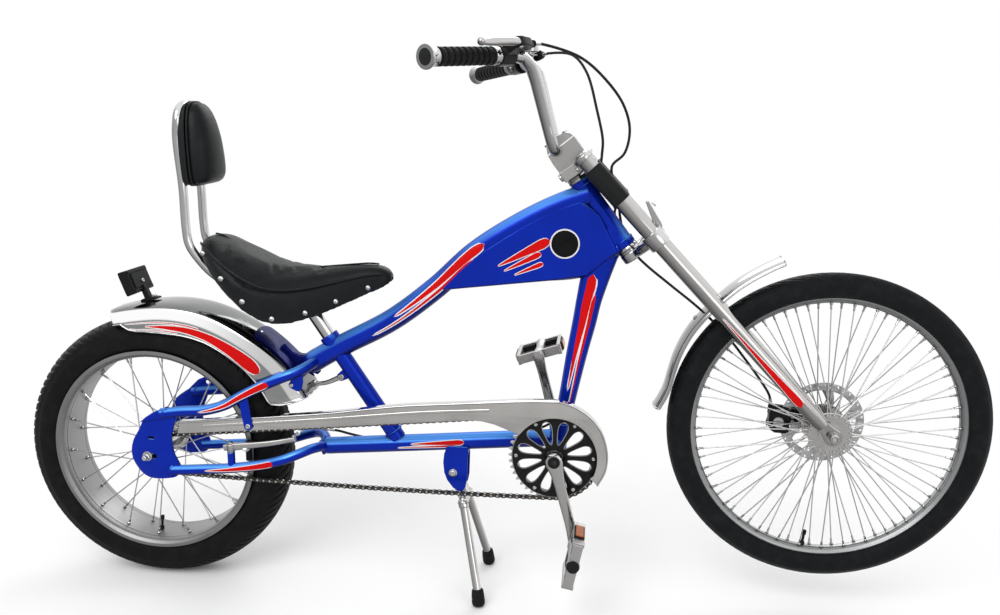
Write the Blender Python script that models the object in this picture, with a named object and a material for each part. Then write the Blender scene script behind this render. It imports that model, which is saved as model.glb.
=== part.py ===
"""Chopper bicycle with a fat rear wheel, standing on its centre stand.

The bicycle is drawn in its own side view: x runs forward from the rear axle, y runs to the
rider's left and z runs up from the ground. Every object is then moved so that the middle of
the bicycle's footprint is the origin. Sizes are in metres.
"""

import math

import bmesh
import bpy
from mathutils import Matrix, Vector

GAP = 0.0003
RUNNING_GAP = 0.0006

# Wheels
WHEELBASE = 1.331
REAR_TYRE_RADIUS = 0.276
REAR_TYRE_WIDTH = 0.1032
REAR_RIM_RADIUS = 0.209
REAR_RIM_WIDTH = 0.098
REAR_RIM_DEPTH = 0.0145
FRONT_TYRE_RADIUS = 0.3007
FRONT_TYRE_WIDTH = 0.052
FRONT_RIM_RADIUS = 0.2595
FRONT_RIM_WIDTH = 0.028
FRONT_RIM_DEPTH = 0.0150
FRONT_WHEEL_LIFT = 0.0721
RIM_WALL = 0.0025
TYRE_WALL = 0.0045
WHEEL_SIDES = 32
SPOKE_RADIUS = 0.0011
REAR_SPOKES = 24
FRONT_SPOKES = 36

# Hubs and axles
AXLE_RADIUS = 0.005
REAR_HUB_FLANGE_RADIUS = 0.031
REAR_HUB_FLANGE_Y = 0.046
REAR_HUB_END_Y = 0.0658
FRONT_HUB_FLANGE_RADIUS = 0.041
FRONT_HUB_FLANGE_Y = 0.0345
FRONT_HUB_DISC_SIDE_Y = 0.0235
FRONT_HUB_END_Y = 0.044
ROTOR_RADIUS = 0.080
ROTOR_Y = 0.033
ROTOR_THICKNESS = 0.002

# Frame
HEAD_FOOT = (0.946, 0.705)
HEAD_ANGLE = math.radians(52.9)
HEAD_LENGTH = 0.1745
HEAD_RADIUS = 0.018
HEAD_BORE_RADIUS = 0.0155
CUP_HEIGHT = 0.0115
STEERER_RADIUS = 0.0140
BRACKET_CENTRE = (0.816, 0.310)
BRACKET_SHELL_RADIUS = 0.021
BRACKET_SHELL_HALF_LENGTH = 0.050
BRACKET_BORE_RADIUS = 0.0165
TOP_TUBE_RADIUS = 0.022
BOTTOM_TUBE_RADIUS = 0.017
SEAT_TUBE_RADIUS = 0.0165
SEAT_TUBE_TOP = (0.359, 0.520)
SEAT_TUBE_ANGLE = math.radians(56.6)
SEAT_TUBE_LENGTH = 0.250
SEAT_POST_RADIUS = 0.0136
SEAT_POST_INSERT = 0.120
PANEL_HALF_WIDTH = 0.0155
STAY_Y = 0.072
SEAT_STAY_RADIUS = 0.0105
CHAIN_STAY_RADIUS = 0.0100
DROPOUT_THICKNESS = 0.006
YOKE_HALF_WIDTH = 0.030

# Fork, stem and handlebar
LEG_Y = 0.056
LEG_RADIUS = 0.015
LEG_CAP_OFFSET = 0.0309
LEG_CAP_RISE = 0.0243
CROWN_AT = 0.2025
CROWN_HEIGHT = 0.030
STEM_HEIGHT = 0.029
CLAMP_WALL = 0.0045
BAR_RADIUS = 0.0111
BAR_CLAMP_HEIGHT = 0.060
BAR_END_Y = 0.300
GRIP_RADIUS = 0.0160
GRIP_LENGTH = 0.1247
END_CAP_LENGTH = 0.030

# Drive
CHAIN_Y = -0.0575
CHAIN_PITCH = 0.0127
CHAINRING_TEETH = 42
SPROCKET_TEETH = 18
CRANK_LENGTH = 0.165
CRANK_Y = 0.085
CRANK_THICKNESS = 0.0125
CRANK_ANGLE = math.radians(-75.0)
SPINDLE_RADIUS = 0.0085
PETAL_DISC_RADIUS = 0.079
PETAL_COUNT = 12
GUARD_Y = -0.0718
GUARD_THICKNESS = 0.0015
PEDAL_INNER_Y = 0.0985
PEDAL_WIDTH = 0.092
PEDAL_LENGTH = 0.094
PEDAL_THICKNESS = 0.022
PEDAL_LEAN = math.radians(82.6)

# Stand
STAND_PIVOT = (0.612, 0.250)
STAND_FOOT_X = 0.674
STAND_FOOT_Y = 0.0885
STAND_FOOT_HEIGHT = 0.036
STAND_PLATE_Y = 0.0170
STAND_PLATE_THICKNESS = 0.0035

# Seat
SADDLE_NOSE_X = 0.490
SADDLE_TAIL_X = 0.122
PAN_THICKNESS = 0.0060
SISSY_Y = 0.040
SISSY_RADIUS = 0.008
PAD_HALF_WIDTH = 0.056
PAD_THICKNESS = 0.048

# Fenders
REAR_FENDER_HALF_WIDTH = 0.0575
REAR_FENDER_CROWN = 0.016
REAR_FENDER_EDGE = [
    (21.5, 0.3356), (28.0, 0.3323), (34.5, 0.3290), (42.0, 0.3250), (49.0, 0.3200), (55.8, 0.3153),
    (62.9, 0.3113), (70.0, 0.3076), (80.8, 0.3004), (92.0, 0.2915), (100.5, 0.2835),
]
FRONT_FENDER_HALF_WIDTH = 0.029
FRONT_FENDER_EDGE = 0.3300
FRONT_FENDER_CROWN = 0.011
FENDER_THICKNESS = 0.0016

# Cables
CABLE_DIAMETER = 0.005

REAR_HUB = (0.0, REAR_TYRE_RADIUS)
FRONT_HUB = (WHEELBASE, FRONT_WHEEL_LIFT + FRONT_TYRE_RADIUS)
MIDDLE_X = (WHEELBASE + FRONT_TYRE_RADIUS - REAR_TYRE_RADIUS) / 2
CHAINRING_PITCH_RADIUS = CHAIN_PITCH / (2 * math.sin(math.pi / CHAINRING_TEETH))
SPROCKET_PITCH_RADIUS = CHAIN_PITCH / (2 * math.sin(math.pi / SPROCKET_TEETH))

X_AXIS = Vector((1, 0, 0))
Y_AXIS = Vector((0, 1, 0))
Z_AXIS = Vector((0, 0, 1))
SIDE_VIEW = (Vector((0, 0, 0)), X_AXIS, Z_AXIS, Y_AXIS)
HEAD_UP = Vector((-math.cos(HEAD_ANGLE), 0, math.sin(HEAD_ANGLE)))
HEAD_FORWARD = Vector((math.sin(HEAD_ANGLE), 0, math.cos(HEAD_ANGLE)))
HEAD_VIEW = (Vector((HEAD_FOOT[0], 0, HEAD_FOOT[1])), HEAD_FORWARD, HEAD_UP, Y_AXIS)

bodies = {}


# Plane and space geometry

def at(place, y=0.0):
    """A point of the side view, at this distance to the left of the bicycle's middle."""
    return Vector((place[0], y, place[1]))


def polar(centre, radius, angle):
    """The point of the side view at this radius and angle about a centre."""
    return (centre[0] + radius * math.cos(angle), centre[1] + radius * math.sin(angle))


def beside(centre, offsets):
    """Side-view places at these distances ahead of and above a centre."""
    return [(centre[0] + ahead, centre[1] + above) for ahead, above in offsets]


def arc(centre, radius, first, last, steps):
    """Points along a circle of the side view, from one angle in degrees to another."""
    turn = [math.radians(first + (last - first) * k / steps) for k in range(steps + 1)]
    return [polar(centre, radius, angle) for angle in turn]


def head(forward, up, y=0.0):
    """A point measured from the head tube's foot, across and along the steering axis."""
    return HEAD_VIEW[0] + HEAD_FORWARD * forward + HEAD_UP * up + Y_AXIS * y


def smooth(points, step):
    """Points about a step apart on a smooth curve through these points."""
    points = [Vector(point) for point in points]
    padded = [2 * points[0] - points[1], *points, 2 * points[-1] - points[-2]]
    dense = []
    for a, b, c, d in zip(padded, padded[1:], padded[2:], padded[3:]):
        spans = [max((q - p).length, 1e-6) ** 0.5 for p, q in ((a, b), (b, c), (c, d))]
        out = ((b - a) / spans[0] - (c - a) / (spans[0] + spans[1]) + (c - b) / spans[1]) * spans[1]
        back = ((c - b) / spans[1] - (d - b) / (spans[1] + spans[2]) + (d - c) / spans[2]) * spans[1]
        for k in range(16):
            t = k / 16
            dense.append(
                (2 * t**3 - 3 * t**2 + 1) * b
                + (t**3 - 2 * t**2 + t) * out
                + (3 * t**2 - 2 * t**3) * c
                + (t**3 - t**2) * back
            )
    dense.append(points[-1])
    lengths = [0.0]
    for a, b in zip(dense, dense[1:]):
        lengths.append(lengths[-1] + (b - a).length)
    count = max(2, round(lengths[-1] / step))
    result = []
    place = 0
    for k in range(count + 1):
        wanted = lengths[-1] * k / count
        while place < len(dense) - 2 and lengths[place + 1] < wanted:
            place += 1
        share = (wanted - lengths[place]) / max(lengths[place + 1] - lengths[place], 1e-9)
        result.append(dense[place].lerp(dense[place + 1], share))
    return result


# Meshes

def mesh_from(vertices, faces):
    """A mesh of these vertices and faces, with its faces turned outwards."""
    mesh = bpy.data.meshes.new("shape")
    mesh.from_pydata([tuple(v) for v in vertices], [], faces)
    tidy = bmesh.new()
    tidy.from_mesh(mesh)
    bmesh.ops.recalc_face_normals(tidy, faces=tidy.faces[:])
    tidy.to_mesh(mesh)
    tidy.free()
    return mesh


def skin(rings, closed=False):
    """A closed skin over rings of as many points each, capped at both ends or joined in a loop."""
    sides = len(rings[0])
    vertices = [point for ring in rings for point in ring]
    faces = []
    for k in range(len(rings) if closed else len(rings) - 1):
        low = k * sides
        high = (k + 1) % len(rings) * sides
        for side in range(sides):
            after = (side + 1) % sides
            faces.append((low + side, low + after, high + after, high + side))
    if not closed:
        faces.append(tuple(range(sides)))
        faces.append(tuple(range(len(vertices) - sides, len(vertices))))
    return mesh_from(vertices, faces)


def lathe(centre, axis, profile, steps=24):
    """A turned solid: (radius, distance along the axis) pairs, closed over the axis or in a ring."""
    centre = Vector(centre)
    axis = Vector(axis).normalized()
    across = X_AXIS if abs(axis.x) < 0.8 else Z_AXIS
    across = (across - axis * across.dot(axis)).normalized()
    beside = axis.cross(across)
    vertices = []
    rings = []
    for radius, along in profile:
        if radius < 1e-9:
            rings.append([len(vertices)])
            vertices.append(centre + axis * along)
            continue
        rings.append(list(range(len(vertices), len(vertices) + steps)))
        for k in range(steps):
            turn = 2 * math.pi * (k + 0.5) / steps
            spoke = across * math.cos(turn) + beside * math.sin(turn)
            vertices.append(centre + axis * along + spoke * radius)
    pairs = list(zip(rings, rings[1:]))
    if len(rings[0]) > 1 and len(rings[-1]) > 1:
        pairs.append((rings[-1], rings[0]))
    faces = []
    for low, high in pairs:
        for k in range(steps):
            after = (k + 1) % steps
            if len(low) == 1:
                faces.append((low[0], high[k], high[after]))
            elif len(high) == 1:
                faces.append((low[k], low[after], high[0]))
            else:
                faces.append((low[k], low[after], high[after], high[k]))
    return mesh_from(vertices, faces)


def rod(first, last, radius, steps=12):
    """A round bar between two points."""
    return tube([first, last], radius, steps)


def wheel_ring(centre, section):
    """A ring about a wheel's axis whose flats, not corners, lie at the section's radii."""
    corner = 1 / math.cos(math.pi / WHEEL_SIDES)
    return lathe(centre, Y_AXIS, [(radius * corner, y) for radius, y in section], WHEEL_SIDES)


def tube(points, radius, sides=12, width=None):
    """A tube along these points. radius and width may each be a list, one value per point."""
    points = [Vector(point) for point in points]
    radii = radius if isinstance(radius, list) else [radius] * len(points)
    widths = radii if width is None else width if isinstance(width, list) else [width] * len(points)
    tangents = []
    for k in range(len(points)):
        before = points[max(k - 1, 0)]
        after = points[min(k + 1, len(points) - 1)]
        tangents.append((after - before).normalized())
    side = Y_AXIS if abs(tangents[0].y) < 0.9 else X_AXIS
    side = (side - tangents[0] * side.dot(tangents[0])).normalized()
    rings = []
    for k, point in enumerate(points):
        if k:
            side = tangents[k - 1].rotation_difference(tangents[k]) @ side
            side = (side - tangents[k] * side.dot(tangents[k])).normalized()
        up = tangents[k].cross(side)
        turns = [2 * math.pi * (n + 0.5) / sides for n in range(sides)]
        rings.append(
            [point + side * widths[k] * math.cos(a) + up * radii[k] * math.sin(a) for a in turns]
        )
    return skin(rings)


def prism(outline, low, high, view=SIDE_VIEW):
    """A plate with this outline in a view, between two distances along the view's own axis."""
    origin, right, up, out = view
    flat = [origin + right * a + up * b for a, b in outline]
    return skin([[point + out * low for point in flat], [point + out * high for point in flat]])


def block(low, high):
    """A box between two corners."""
    outline = [(low[0], low[2]), (high[0], low[2]), (high[0], high[2]), (low[0], high[2])]
    return prism(outline, low[1], high[1])


def joined(meshes):
    """One mesh of several shapes that don't touch each other."""
    together = bmesh.new()
    for mesh in meshes:
        together.from_mesh(mesh)
    result = bpy.data.meshes.new("shapes")
    together.to_mesh(result)
    together.free()
    return result


def weld(pieces, cutters=()):
    """The union of the pieces, less the cutters."""
    scene = bpy.context.scene.collection
    helpers = []
    for mesh in [*pieces, *cutters]:
        helper = bpy.data.objects.new("helper", mesh)
        scene.objects.link(helper)
        helpers.append(helper)
    base = helpers[0]
    for k, helper in enumerate(helpers[1:], start=1):
        modifier = base.modifiers.new(f"step_{k}", "BOOLEAN")
        modifier.operation = "UNION" if k < len(pieces) else "DIFFERENCE"
        modifier.object = helper
    bpy.context.view_layer.update()
    graph = bpy.context.evaluated_depsgraph_get()
    result = bpy.data.meshes.new_from_object(base.evaluated_get(graph))
    for helper in helpers:
        bpy.data.objects.remove(helper)
    return result


# Materials and objects

def material(name, colour, roughness, metallic=0.0, coat=0.0):
    """A plain finish."""
    made = bpy.data.materials.new(name)
    made.use_nodes = True
    shader = made.node_tree.nodes["Principled BSDF"]
    shader.inputs["Base Color"].default_value = (*colour, 1)
    shader.inputs["Roughness"].default_value = roughness
    shader.inputs["Metallic"].default_value = metallic
    shader.inputs["Coat Weight"].default_value = coat
    made.diffuse_color = (*colour, 1)
    return made


def add_body(name, pivot, parent=None):
    """An empty at a moving body's joint, under the body that carries it."""
    empty = bpy.data.objects.new(f"{name}_pivot", None)
    empty.empty_display_size = 0.03
    bpy.context.scene.collection.objects.link(empty)
    world = Vector(pivot) - Vector((MIDDLE_X, 0, 0))
    empty.location = world
    if parent:
        empty.parent = bodies[parent][0]
        empty.location = world - bodies[parent][1]
    bodies[name] = (empty, world)


def place(name, data, finish, body):
    """Put a shape drawn in the side view's coordinates on its body."""
    empty, world = bodies[body]
    shift = Vector((MIDDLE_X, 0, 0)) + world
    obj = bpy.data.objects.new(name, data)
    if isinstance(data, bpy.types.Mesh):
        data.name = name
        data.transform(Matrix.Translation(-shift))
        data.materials.clear()
        data.shade_smooth()
        data.set_sharp_from_angle(angle=math.radians(35))
    else:
        for point in data.splines[0].points:
            point.co = (Vector(point.co[:3]) - shift).to_4d()
    data.materials.append(finish)
    bpy.context.scene.collection.objects.link(obj)
    obj.parent = empty
    return obj


def cable(name, controls, finish, body, diameter=CABLE_DIAMETER, step=0.0185):
    """A cable's outer casing, as a round curve through hand-chosen points."""
    points = smooth(controls, step)
    curve = bpy.data.curves.new(name, "CURVE")
    curve.dimensions = "3D"
    curve.bevel_depth = diameter / 2
    curve.bevel_resolution = 1
    curve.use_fill_caps = True
    spline = curve.splines.new("POLY")
    spline.points.add(len(points) - 1)
    for spot, point in zip(spline.points, points):
        spot.co = point.to_4d()
    return place(name, curve, finish, body)


# Places that several pieces share

LEG_CAP = head(LEG_CAP_OFFSET, HEAD_LENGTH + LEG_CAP_RISE)
LEG_DOWN = (at(FRONT_HUB) - LEG_CAP).normalized()
LEG_FORWARD = Vector((-LEG_DOWN.z, 0, LEG_DOWN.x))
LEG_LENGTH = (at(FRONT_HUB) - LEG_CAP).length
SEAT_UP = Vector((-math.cos(SEAT_TUBE_ANGLE), 0, math.sin(SEAT_TUBE_ANGLE)))
SEAT_BACK = Vector((-SEAT_UP.z, 0, SEAT_UP.x))
BAR_CENTRE = head(-0.002, HEAD_LENGTH + BAR_CLAMP_HEIGHT)


def leg(along, forward=0.0, y=0.0):
    """A point measured down a fork leg from its cap, and forward of the legs' plane."""
    return LEG_CAP + LEG_DOWN * along + LEG_FORWARD * forward + Y_AXIS * y


def seat_line(up, back=0.0, y=0.0):
    """A point measured up the seat tube's axis from its top, and back from that axis."""
    return at(SEAT_TUBE_TOP) + SEAT_UP * up + SEAT_BACK * back + Y_AXIS * y


def bar_path(side):
    """The handlebar's middle line from the stem to one end."""
    half = [
        (0, 0.034, 0), (-0.0008, 0.0420, 0.0022), (-0.0040, 0.0475, 0.0110),
        (-0.0152, 0.0550, 0.0503), (-0.0272, 0.0655, 0.0943), (-0.0362, 0.0750, 0.1263),
        (-0.0442, 0.0850, 0.1453), (-0.0567, 0.1000, 0.1573), (-0.0722, 0.1220, 0.1600),
        (-0.1870, BAR_END_Y - 0.001, 0.1464),
    ]
    return [BAR_CENTRE + Vector((x, side * y, z)) for x, y, z in half]


def bar_line():
    """The whole handlebar's middle line, with its bends rounded and its ends straight."""
    left = bar_path(1)
    bend = smooth(left[:-1], 0.019)
    half = bend[:-1] + [left[-2], left[-2].lerp(left[-1], 0.08), left[-1]]
    return [Vector((p.x, -p.y, p.z)) for p in reversed(half)] + half


def bar_frame(side):
    """The grip end of the bar: its end point and its inward, outward-facing and lever-pin axes."""
    bend, tip = bar_path(side)[-2:]
    inward = (bend - tip).normalized()
    facing = Vector((0.754, side * 0.489, 0.44))
    facing = (facing - inward * facing.dot(inward)).normalized()
    return tip, inward, facing, inward.cross(facing)


def bar_point(side, inward, facing, across=0.0):
    """A point measured from the bar's end along the grip, towards the lever and along its pin."""
    tip, along, out, pin = bar_frame(side)
    return tip + along * inward + out * facing + pin * across


def fender_crest(station, lift):
    """A place above the rear fender's crest at one of its stations."""
    angle, edge = REAR_FENDER_EDGE[station]
    return polar(REAR_HUB, edge + REAR_FENDER_CROWN + lift, math.radians(angle))


def sides():
    """Both sides of the bicycle, as a name and the sign of y."""
    return (("right", -1), ("left", 1))


for stray in list(bpy.data.objects):
    bpy.data.objects.remove(stray)

BLUE = material("blue_paint", (0.012, 0.03, 0.55), 0.25, coat=1.0)
CHROME = material("chrome", (0.8, 0.8, 0.8), 0.08, 1.0)
ALLOY = material("brushed_alloy", (0.62, 0.62, 0.60), 0.32, 1.0)
STEEL = material("steel", (0.45, 0.45, 0.44), 0.35, 1.0)
DARK_STEEL = material("dark_steel", (0.10, 0.095, 0.09), 0.4, 1.0)
BLACK_METAL = material("black_metal", (0.012, 0.012, 0.012), 0.3, 0.3)
BLACK_PLASTIC = material("black_plastic", (0.02, 0.02, 0.02), 0.45)
RUBBER = material("rubber", (0.015, 0.015, 0.015), 0.7)
TYRE_RUBBER = material("tyre_rubber", (0.02, 0.02, 0.022), 0.75)
LEATHER = material("black_leather", (0.02, 0.022, 0.025), 0.4)

CRANK_PIN = {
    -1: polar(BRACKET_CENTRE, CRANK_LENGTH, CRANK_ANGLE),
    1: polar(BRACKET_CENTRE, CRANK_LENGTH, CRANK_ANGLE + math.pi),
}
BRAKE_PIVOT = (0.174, 0.300)
CALIPER_PIVOT = beside(FRONT_HUB, [(-0.0830, -0.0028)])[0]
LEVER_PIN_INWARD = 0.179
LEVER_PIN_FACING = 0.045
BELL_CENTRE = bar_point(1, 0.2245, 0.0)
BELL_FOOT = BELL_CENTRE + Vector((0.006, 0, 0.0145))
SEAT_LEVER_AT = (-0.083, 0.0245)
SEAT_LEVER_PIVOT = (seat_line(*SEAT_LEVER_AT).x, seat_line(*SEAT_LEVER_AT).z)

add_body("frame", (MIDDLE_X, 0, 0))
add_body("steering", head(0, 0), "frame")
add_body("front_wheel", at(FRONT_HUB), "steering")
add_body("rear_wheel", at(REAR_HUB), "frame")
add_body("freewheel", at(REAR_HUB, CHAIN_Y), "frame")
add_body("crank", at(BRACKET_CENTRE), "frame")
add_body("stand", at(STAND_PIVOT), "frame")
add_body("seat", at(SEAT_TUBE_TOP), "frame")
add_body("seat_lever", at(SEAT_LEVER_PIVOT), "frame")
add_body("caliper_arm", at(CALIPER_PIVOT, 0.049), "steering")
add_body("bell_lever", BELL_FOOT, "steering")
for side_name, sign in sides():
    add_body(f"pedal_{side_name}", at(CRANK_PIN[sign], sign * (CRANK_Y + 0.05)), "crank")
    add_body(f"lever_{side_name}", bar_point(sign, LEVER_PIN_INWARD, LEVER_PIN_FACING), "steering")
    add_body(f"brake_arm_{side_name}", at(BRAKE_PIVOT, sign * STAY_Y), "frame")


# Wheels

def tyre_section(outer, half_width, rim_radius, rim_half_width, shape):
    """A tyre's open section. shape pairs a share of the height above the rim with one of the width."""
    foot = rim_radius - 0.0056
    inside = rim_half_width - RIM_WALL - GAP - 0.0001
    height = outer - rim_radius
    outside = [(foot, inside), (rim_radius + 0.0008, inside)]
    outside += [(rim_radius + height * a, half_width * b) for a, b in shape]
    hollow = [(foot, inside - TYRE_WALL), (rim_radius + 0.0015, inside - TYRE_WALL),
              (rim_radius + height * 0.82, half_width * 0.45)]
    loop = [(r, y) for r, y in outside] + [(r, -y) for r, y in reversed(outside)]
    return loop + [(r, -y) for r, y in hollow] + [(r, y) for r, y in reversed(hollow)]


def rim_section(radius, half_width, depth):
    """A rim's section: side flanges round a well that the tyre's beads sit in."""
    half = [(radius, half_width), (radius - depth * 0.6, half_width - 0.0003), (radius - depth, half_width * 0.65)]
    seat = [(radius, half_width - RIM_WALL), (radius - 0.006, half_width - RIM_WALL)]
    loop = half + [(r, -y) for r, y in reversed(half)]
    return loop + [(r, -y) for r, y in seat] + [(r, y) for r, y in reversed(seat)]


def spokes(hub, count, flange_radius, flanges, tip_radius, tip_offset, crossing):
    """All of a wheel's spokes, as bars that never touch each other."""
    bars = []
    per_flange = count // 2
    for flange_y, tip_sign in flanges:
        for k in range(per_flange):
            step = 2 * math.pi / per_flange
            outward = 1 if k % 2 else -1
            lean = crossing * step * outward
            foot_turn = step * k + (0.25 * step if tip_sign > 0 else -0.25 * step)
            foot = polar(hub, flange_radius - 0.0045, foot_turn)
            tip = polar(hub, tip_radius, foot_turn + lean)
            start = at(foot, flange_y + outward * 0.0017)
            bars.append(rod(start, at(tip, tip_sign * tip_offset + outward * 0.0013), SPOKE_RADIUS, 3))
    return joined(bars)


def build_rear_wheel():
    """Rim, tyre and the hub with its spokes."""
    shape = [(0.24, 1.0), (0.66, 0.90), (1.0, 0.26)]
    half_rim = REAR_RIM_WIDTH / 2
    tyre = tyre_section(REAR_TYRE_RADIUS, REAR_TYRE_WIDTH / 2, REAR_RIM_RADIUS, half_rim, shape)
    place("rear_tyre", wheel_ring(at(REAR_HUB), tyre), TYRE_RUBBER, "rear_wheel")
    rim = rim_section(REAR_RIM_RADIUS, half_rim, REAR_RIM_DEPTH)
    place("rear_rim", wheel_ring(at(REAR_HUB), rim), ALLOY, "rear_wheel")

    flange = REAR_HUB_FLANGE_Y
    half = [
        (0.0155, REAR_HUB_END_Y), (0.0155, flange + 0.003), (REAR_HUB_FLANGE_RADIUS, flange + 0.0018),
        (REAR_HUB_FLANGE_RADIUS, flange - 0.0018), (0.019, flange - 0.006),
    ]
    outside = half + [(r, -y) for r, y in reversed(half)]
    bore = [(AXLE_RADIUS + RUNNING_GAP, -REAR_HUB_END_Y), (AXLE_RADIUS + RUNNING_GAP, REAR_HUB_END_Y)]
    shell = lathe(at(REAR_HUB), Y_AXIS, outside + bore, 18)
    bars = spokes(
        REAR_HUB, REAR_SPOKES, REAR_HUB_FLANGE_RADIUS, ((-flange, -1), (flange, 1)),
        REAR_RIM_RADIUS - REAR_RIM_DEPTH - 0.0005, 0.020, 1.45,
    )
    place("rear_hub_spokes", weld([shell, bars]), STEEL, "rear_wheel")

    outer = STAY_Y + DROPOUT_THICKNESS / 2 + GAP
    inner = STAY_Y - DROPOUT_THICKNESS / 2 - GAP
    half = [
        (0, outer + 0.0150), (AXLE_RADIUS, outer + 0.0150), (AXLE_RADIUS, outer + 0.0080),
        (0.0085, outer + 0.0080), (0.0085, outer), (AXLE_RADIUS, outer), (AXLE_RADIUS, inner),
        (0.0080, inner), (0.0080, REAR_HUB_END_Y + GAP), (AXLE_RADIUS, REAR_HUB_END_Y + GAP),
    ]
    profile = half + [(r, -y) for r, y in reversed(half)]
    place("rear_axle", lathe(at(REAR_HUB), Y_AXIS, profile, 8), STEEL, "frame")


def build_front_wheel():
    """Rim, tyre, the hub with its spokes, and the brake rotor."""
    shape = [(0.30, 1.0), (0.72, 0.83), (1.0, 0.22)]
    half_rim = FRONT_RIM_WIDTH / 2
    tyre = tyre_section(FRONT_TYRE_RADIUS, FRONT_TYRE_WIDTH / 2, FRONT_RIM_RADIUS, half_rim, shape)
    place("front_tyre", wheel_ring(at(FRONT_HUB), tyre), TYRE_RUBBER, "front_wheel")
    rim = rim_section(FRONT_RIM_RADIUS, half_rim, FRONT_RIM_DEPTH)
    place("front_rim", wheel_ring(at(FRONT_HUB), rim), ALLOY, "front_wheel")

    near = FRONT_HUB_FLANGE_Y
    far = FRONT_HUB_DISC_SIDE_Y
    seat = ROTOR_Y - ROTOR_THICKNESS / 2 - GAP
    wide = FRONT_HUB_FLANGE_RADIUS
    profile = [
        (AXLE_RADIUS + RUNNING_GAP, -FRONT_HUB_END_Y), (0.0115, -FRONT_HUB_END_Y),
        (0.0125, -near - 0.0045), (wide * 0.55, -near - 0.003), (wide, -near - 0.0015),
        (wide, -near + 0.0015), (0.020, -near + 0.008), (0.020, far - 0.008),
        (wide, far - 0.0015), (wide, far + 0.0015), (0.022, far + 0.003), (0.022, seat),
        (0.0115, seat), (0.0115, FRONT_HUB_END_Y), (AXLE_RADIUS + RUNNING_GAP, FRONT_HUB_END_Y),
    ]
    shell = lathe(at(FRONT_HUB), Y_AXIS, profile, 18)
    bars = spokes(
        FRONT_HUB, FRONT_SPOKES, wide, ((-near, -1), (far, 1)),
        FRONT_RIM_RADIUS - FRONT_RIM_DEPTH - 0.0005, 0.0045, 1.1,
    )
    place("front_hub_spokes", weld([shell, bars]), STEEL, "front_wheel")

    low = ROTOR_Y - ROTOR_THICKNESS / 2
    high = ROTOR_Y + ROTOR_THICKNESS / 2
    band = lathe(at(FRONT_HUB), Y_AXIS, [
        (ROTOR_RADIUS - 0.015, low), (ROTOR_RADIUS, low), (ROTOR_RADIUS, high), (ROTOR_RADIUS - 0.015, high),
    ], 24)
    bore = 0.0115 + 0.0006
    boss = lathe(at(FRONT_HUB), Y_AXIS, [(bore, low), (0.024, low), (0.024, high), (bore, high)], 14)
    arms = []
    for k in range(5):
        turn = 2 * math.pi * k / 5
        foot = polar(FRONT_HUB, 0.020, turn)
        knee = polar(FRONT_HUB, 0.045, turn + math.radians(22))
        tip = polar(FRONT_HUB, ROTOR_RADIUS - 0.010, turn + math.radians(52))
        arms.append(tube([at(foot, ROTOR_Y), at(knee, ROTOR_Y), at(tip, ROTOR_Y)], 0.004, 4, 0.0009))
    place("brake_rotor", weld([band, boss, joined(arms)]), STEEL, "front_wheel")

    lug = LEG_Y + 0.0028
    half = [
        (0, lug + 0.0115), (AXLE_RADIUS, lug + 0.0110), (AXLE_RADIUS, lug + 0.0072),
        (0.0095, lug + 0.0068), (0.0100, lug + GAP), (AXLE_RADIUS, lug + GAP),
        (AXLE_RADIUS, LEG_Y - 0.0060 - GAP), (0.0085, LEG_Y - 0.0060 - GAP),
        (0.0085, FRONT_HUB_END_Y + GAP), (AXLE_RADIUS, FRONT_HUB_END_Y + GAP),
    ]
    profile = half + [(r, -y) for r, y in reversed(half)]
    place("front_axle", lathe(at(FRONT_HUB), Y_AXIS, profile, 8), STEEL, "steering")


# Frame

def seat_stay_path(sign):
    """A seat stay's middle line, from the dropout to the frame's middle."""
    side = [(0.034, 0.3665), (0.080, 0.373), (0.1235, 0.377), (0.167, 0.390), (0.200, 0.409),
            (0.241, 0.4305), (0.284, 0.4500)]
    points = [at(place_, sign * STAY_Y) for place_ in side]
    points += [at((0.306, 0.4580), sign * 0.066), at((0.322, 0.4640), sign * 0.048),
               at((0.333, 0.4685), sign * 0.022), at((0.336, 0.4700), 0.0)]
    return points


def chain_stay_path(sign):
    """A chain stay's middle line, from the dropout to the frame's middle."""
    side = [(0.048, 0.2475), (0.104, 0.252), (0.174, 0.2585), (0.247, 0.271), (0.285, 0.283)]
    points = [at(place_, sign * STAY_Y) for place_ in side]
    points += [at((0.310, 0.2915), sign * 0.062), at((0.329, 0.2950), sign * 0.042),
               at((0.341, 0.2925), sign * 0.020), at((0.346, 0.2905), 0.0)]
    return points


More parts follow.
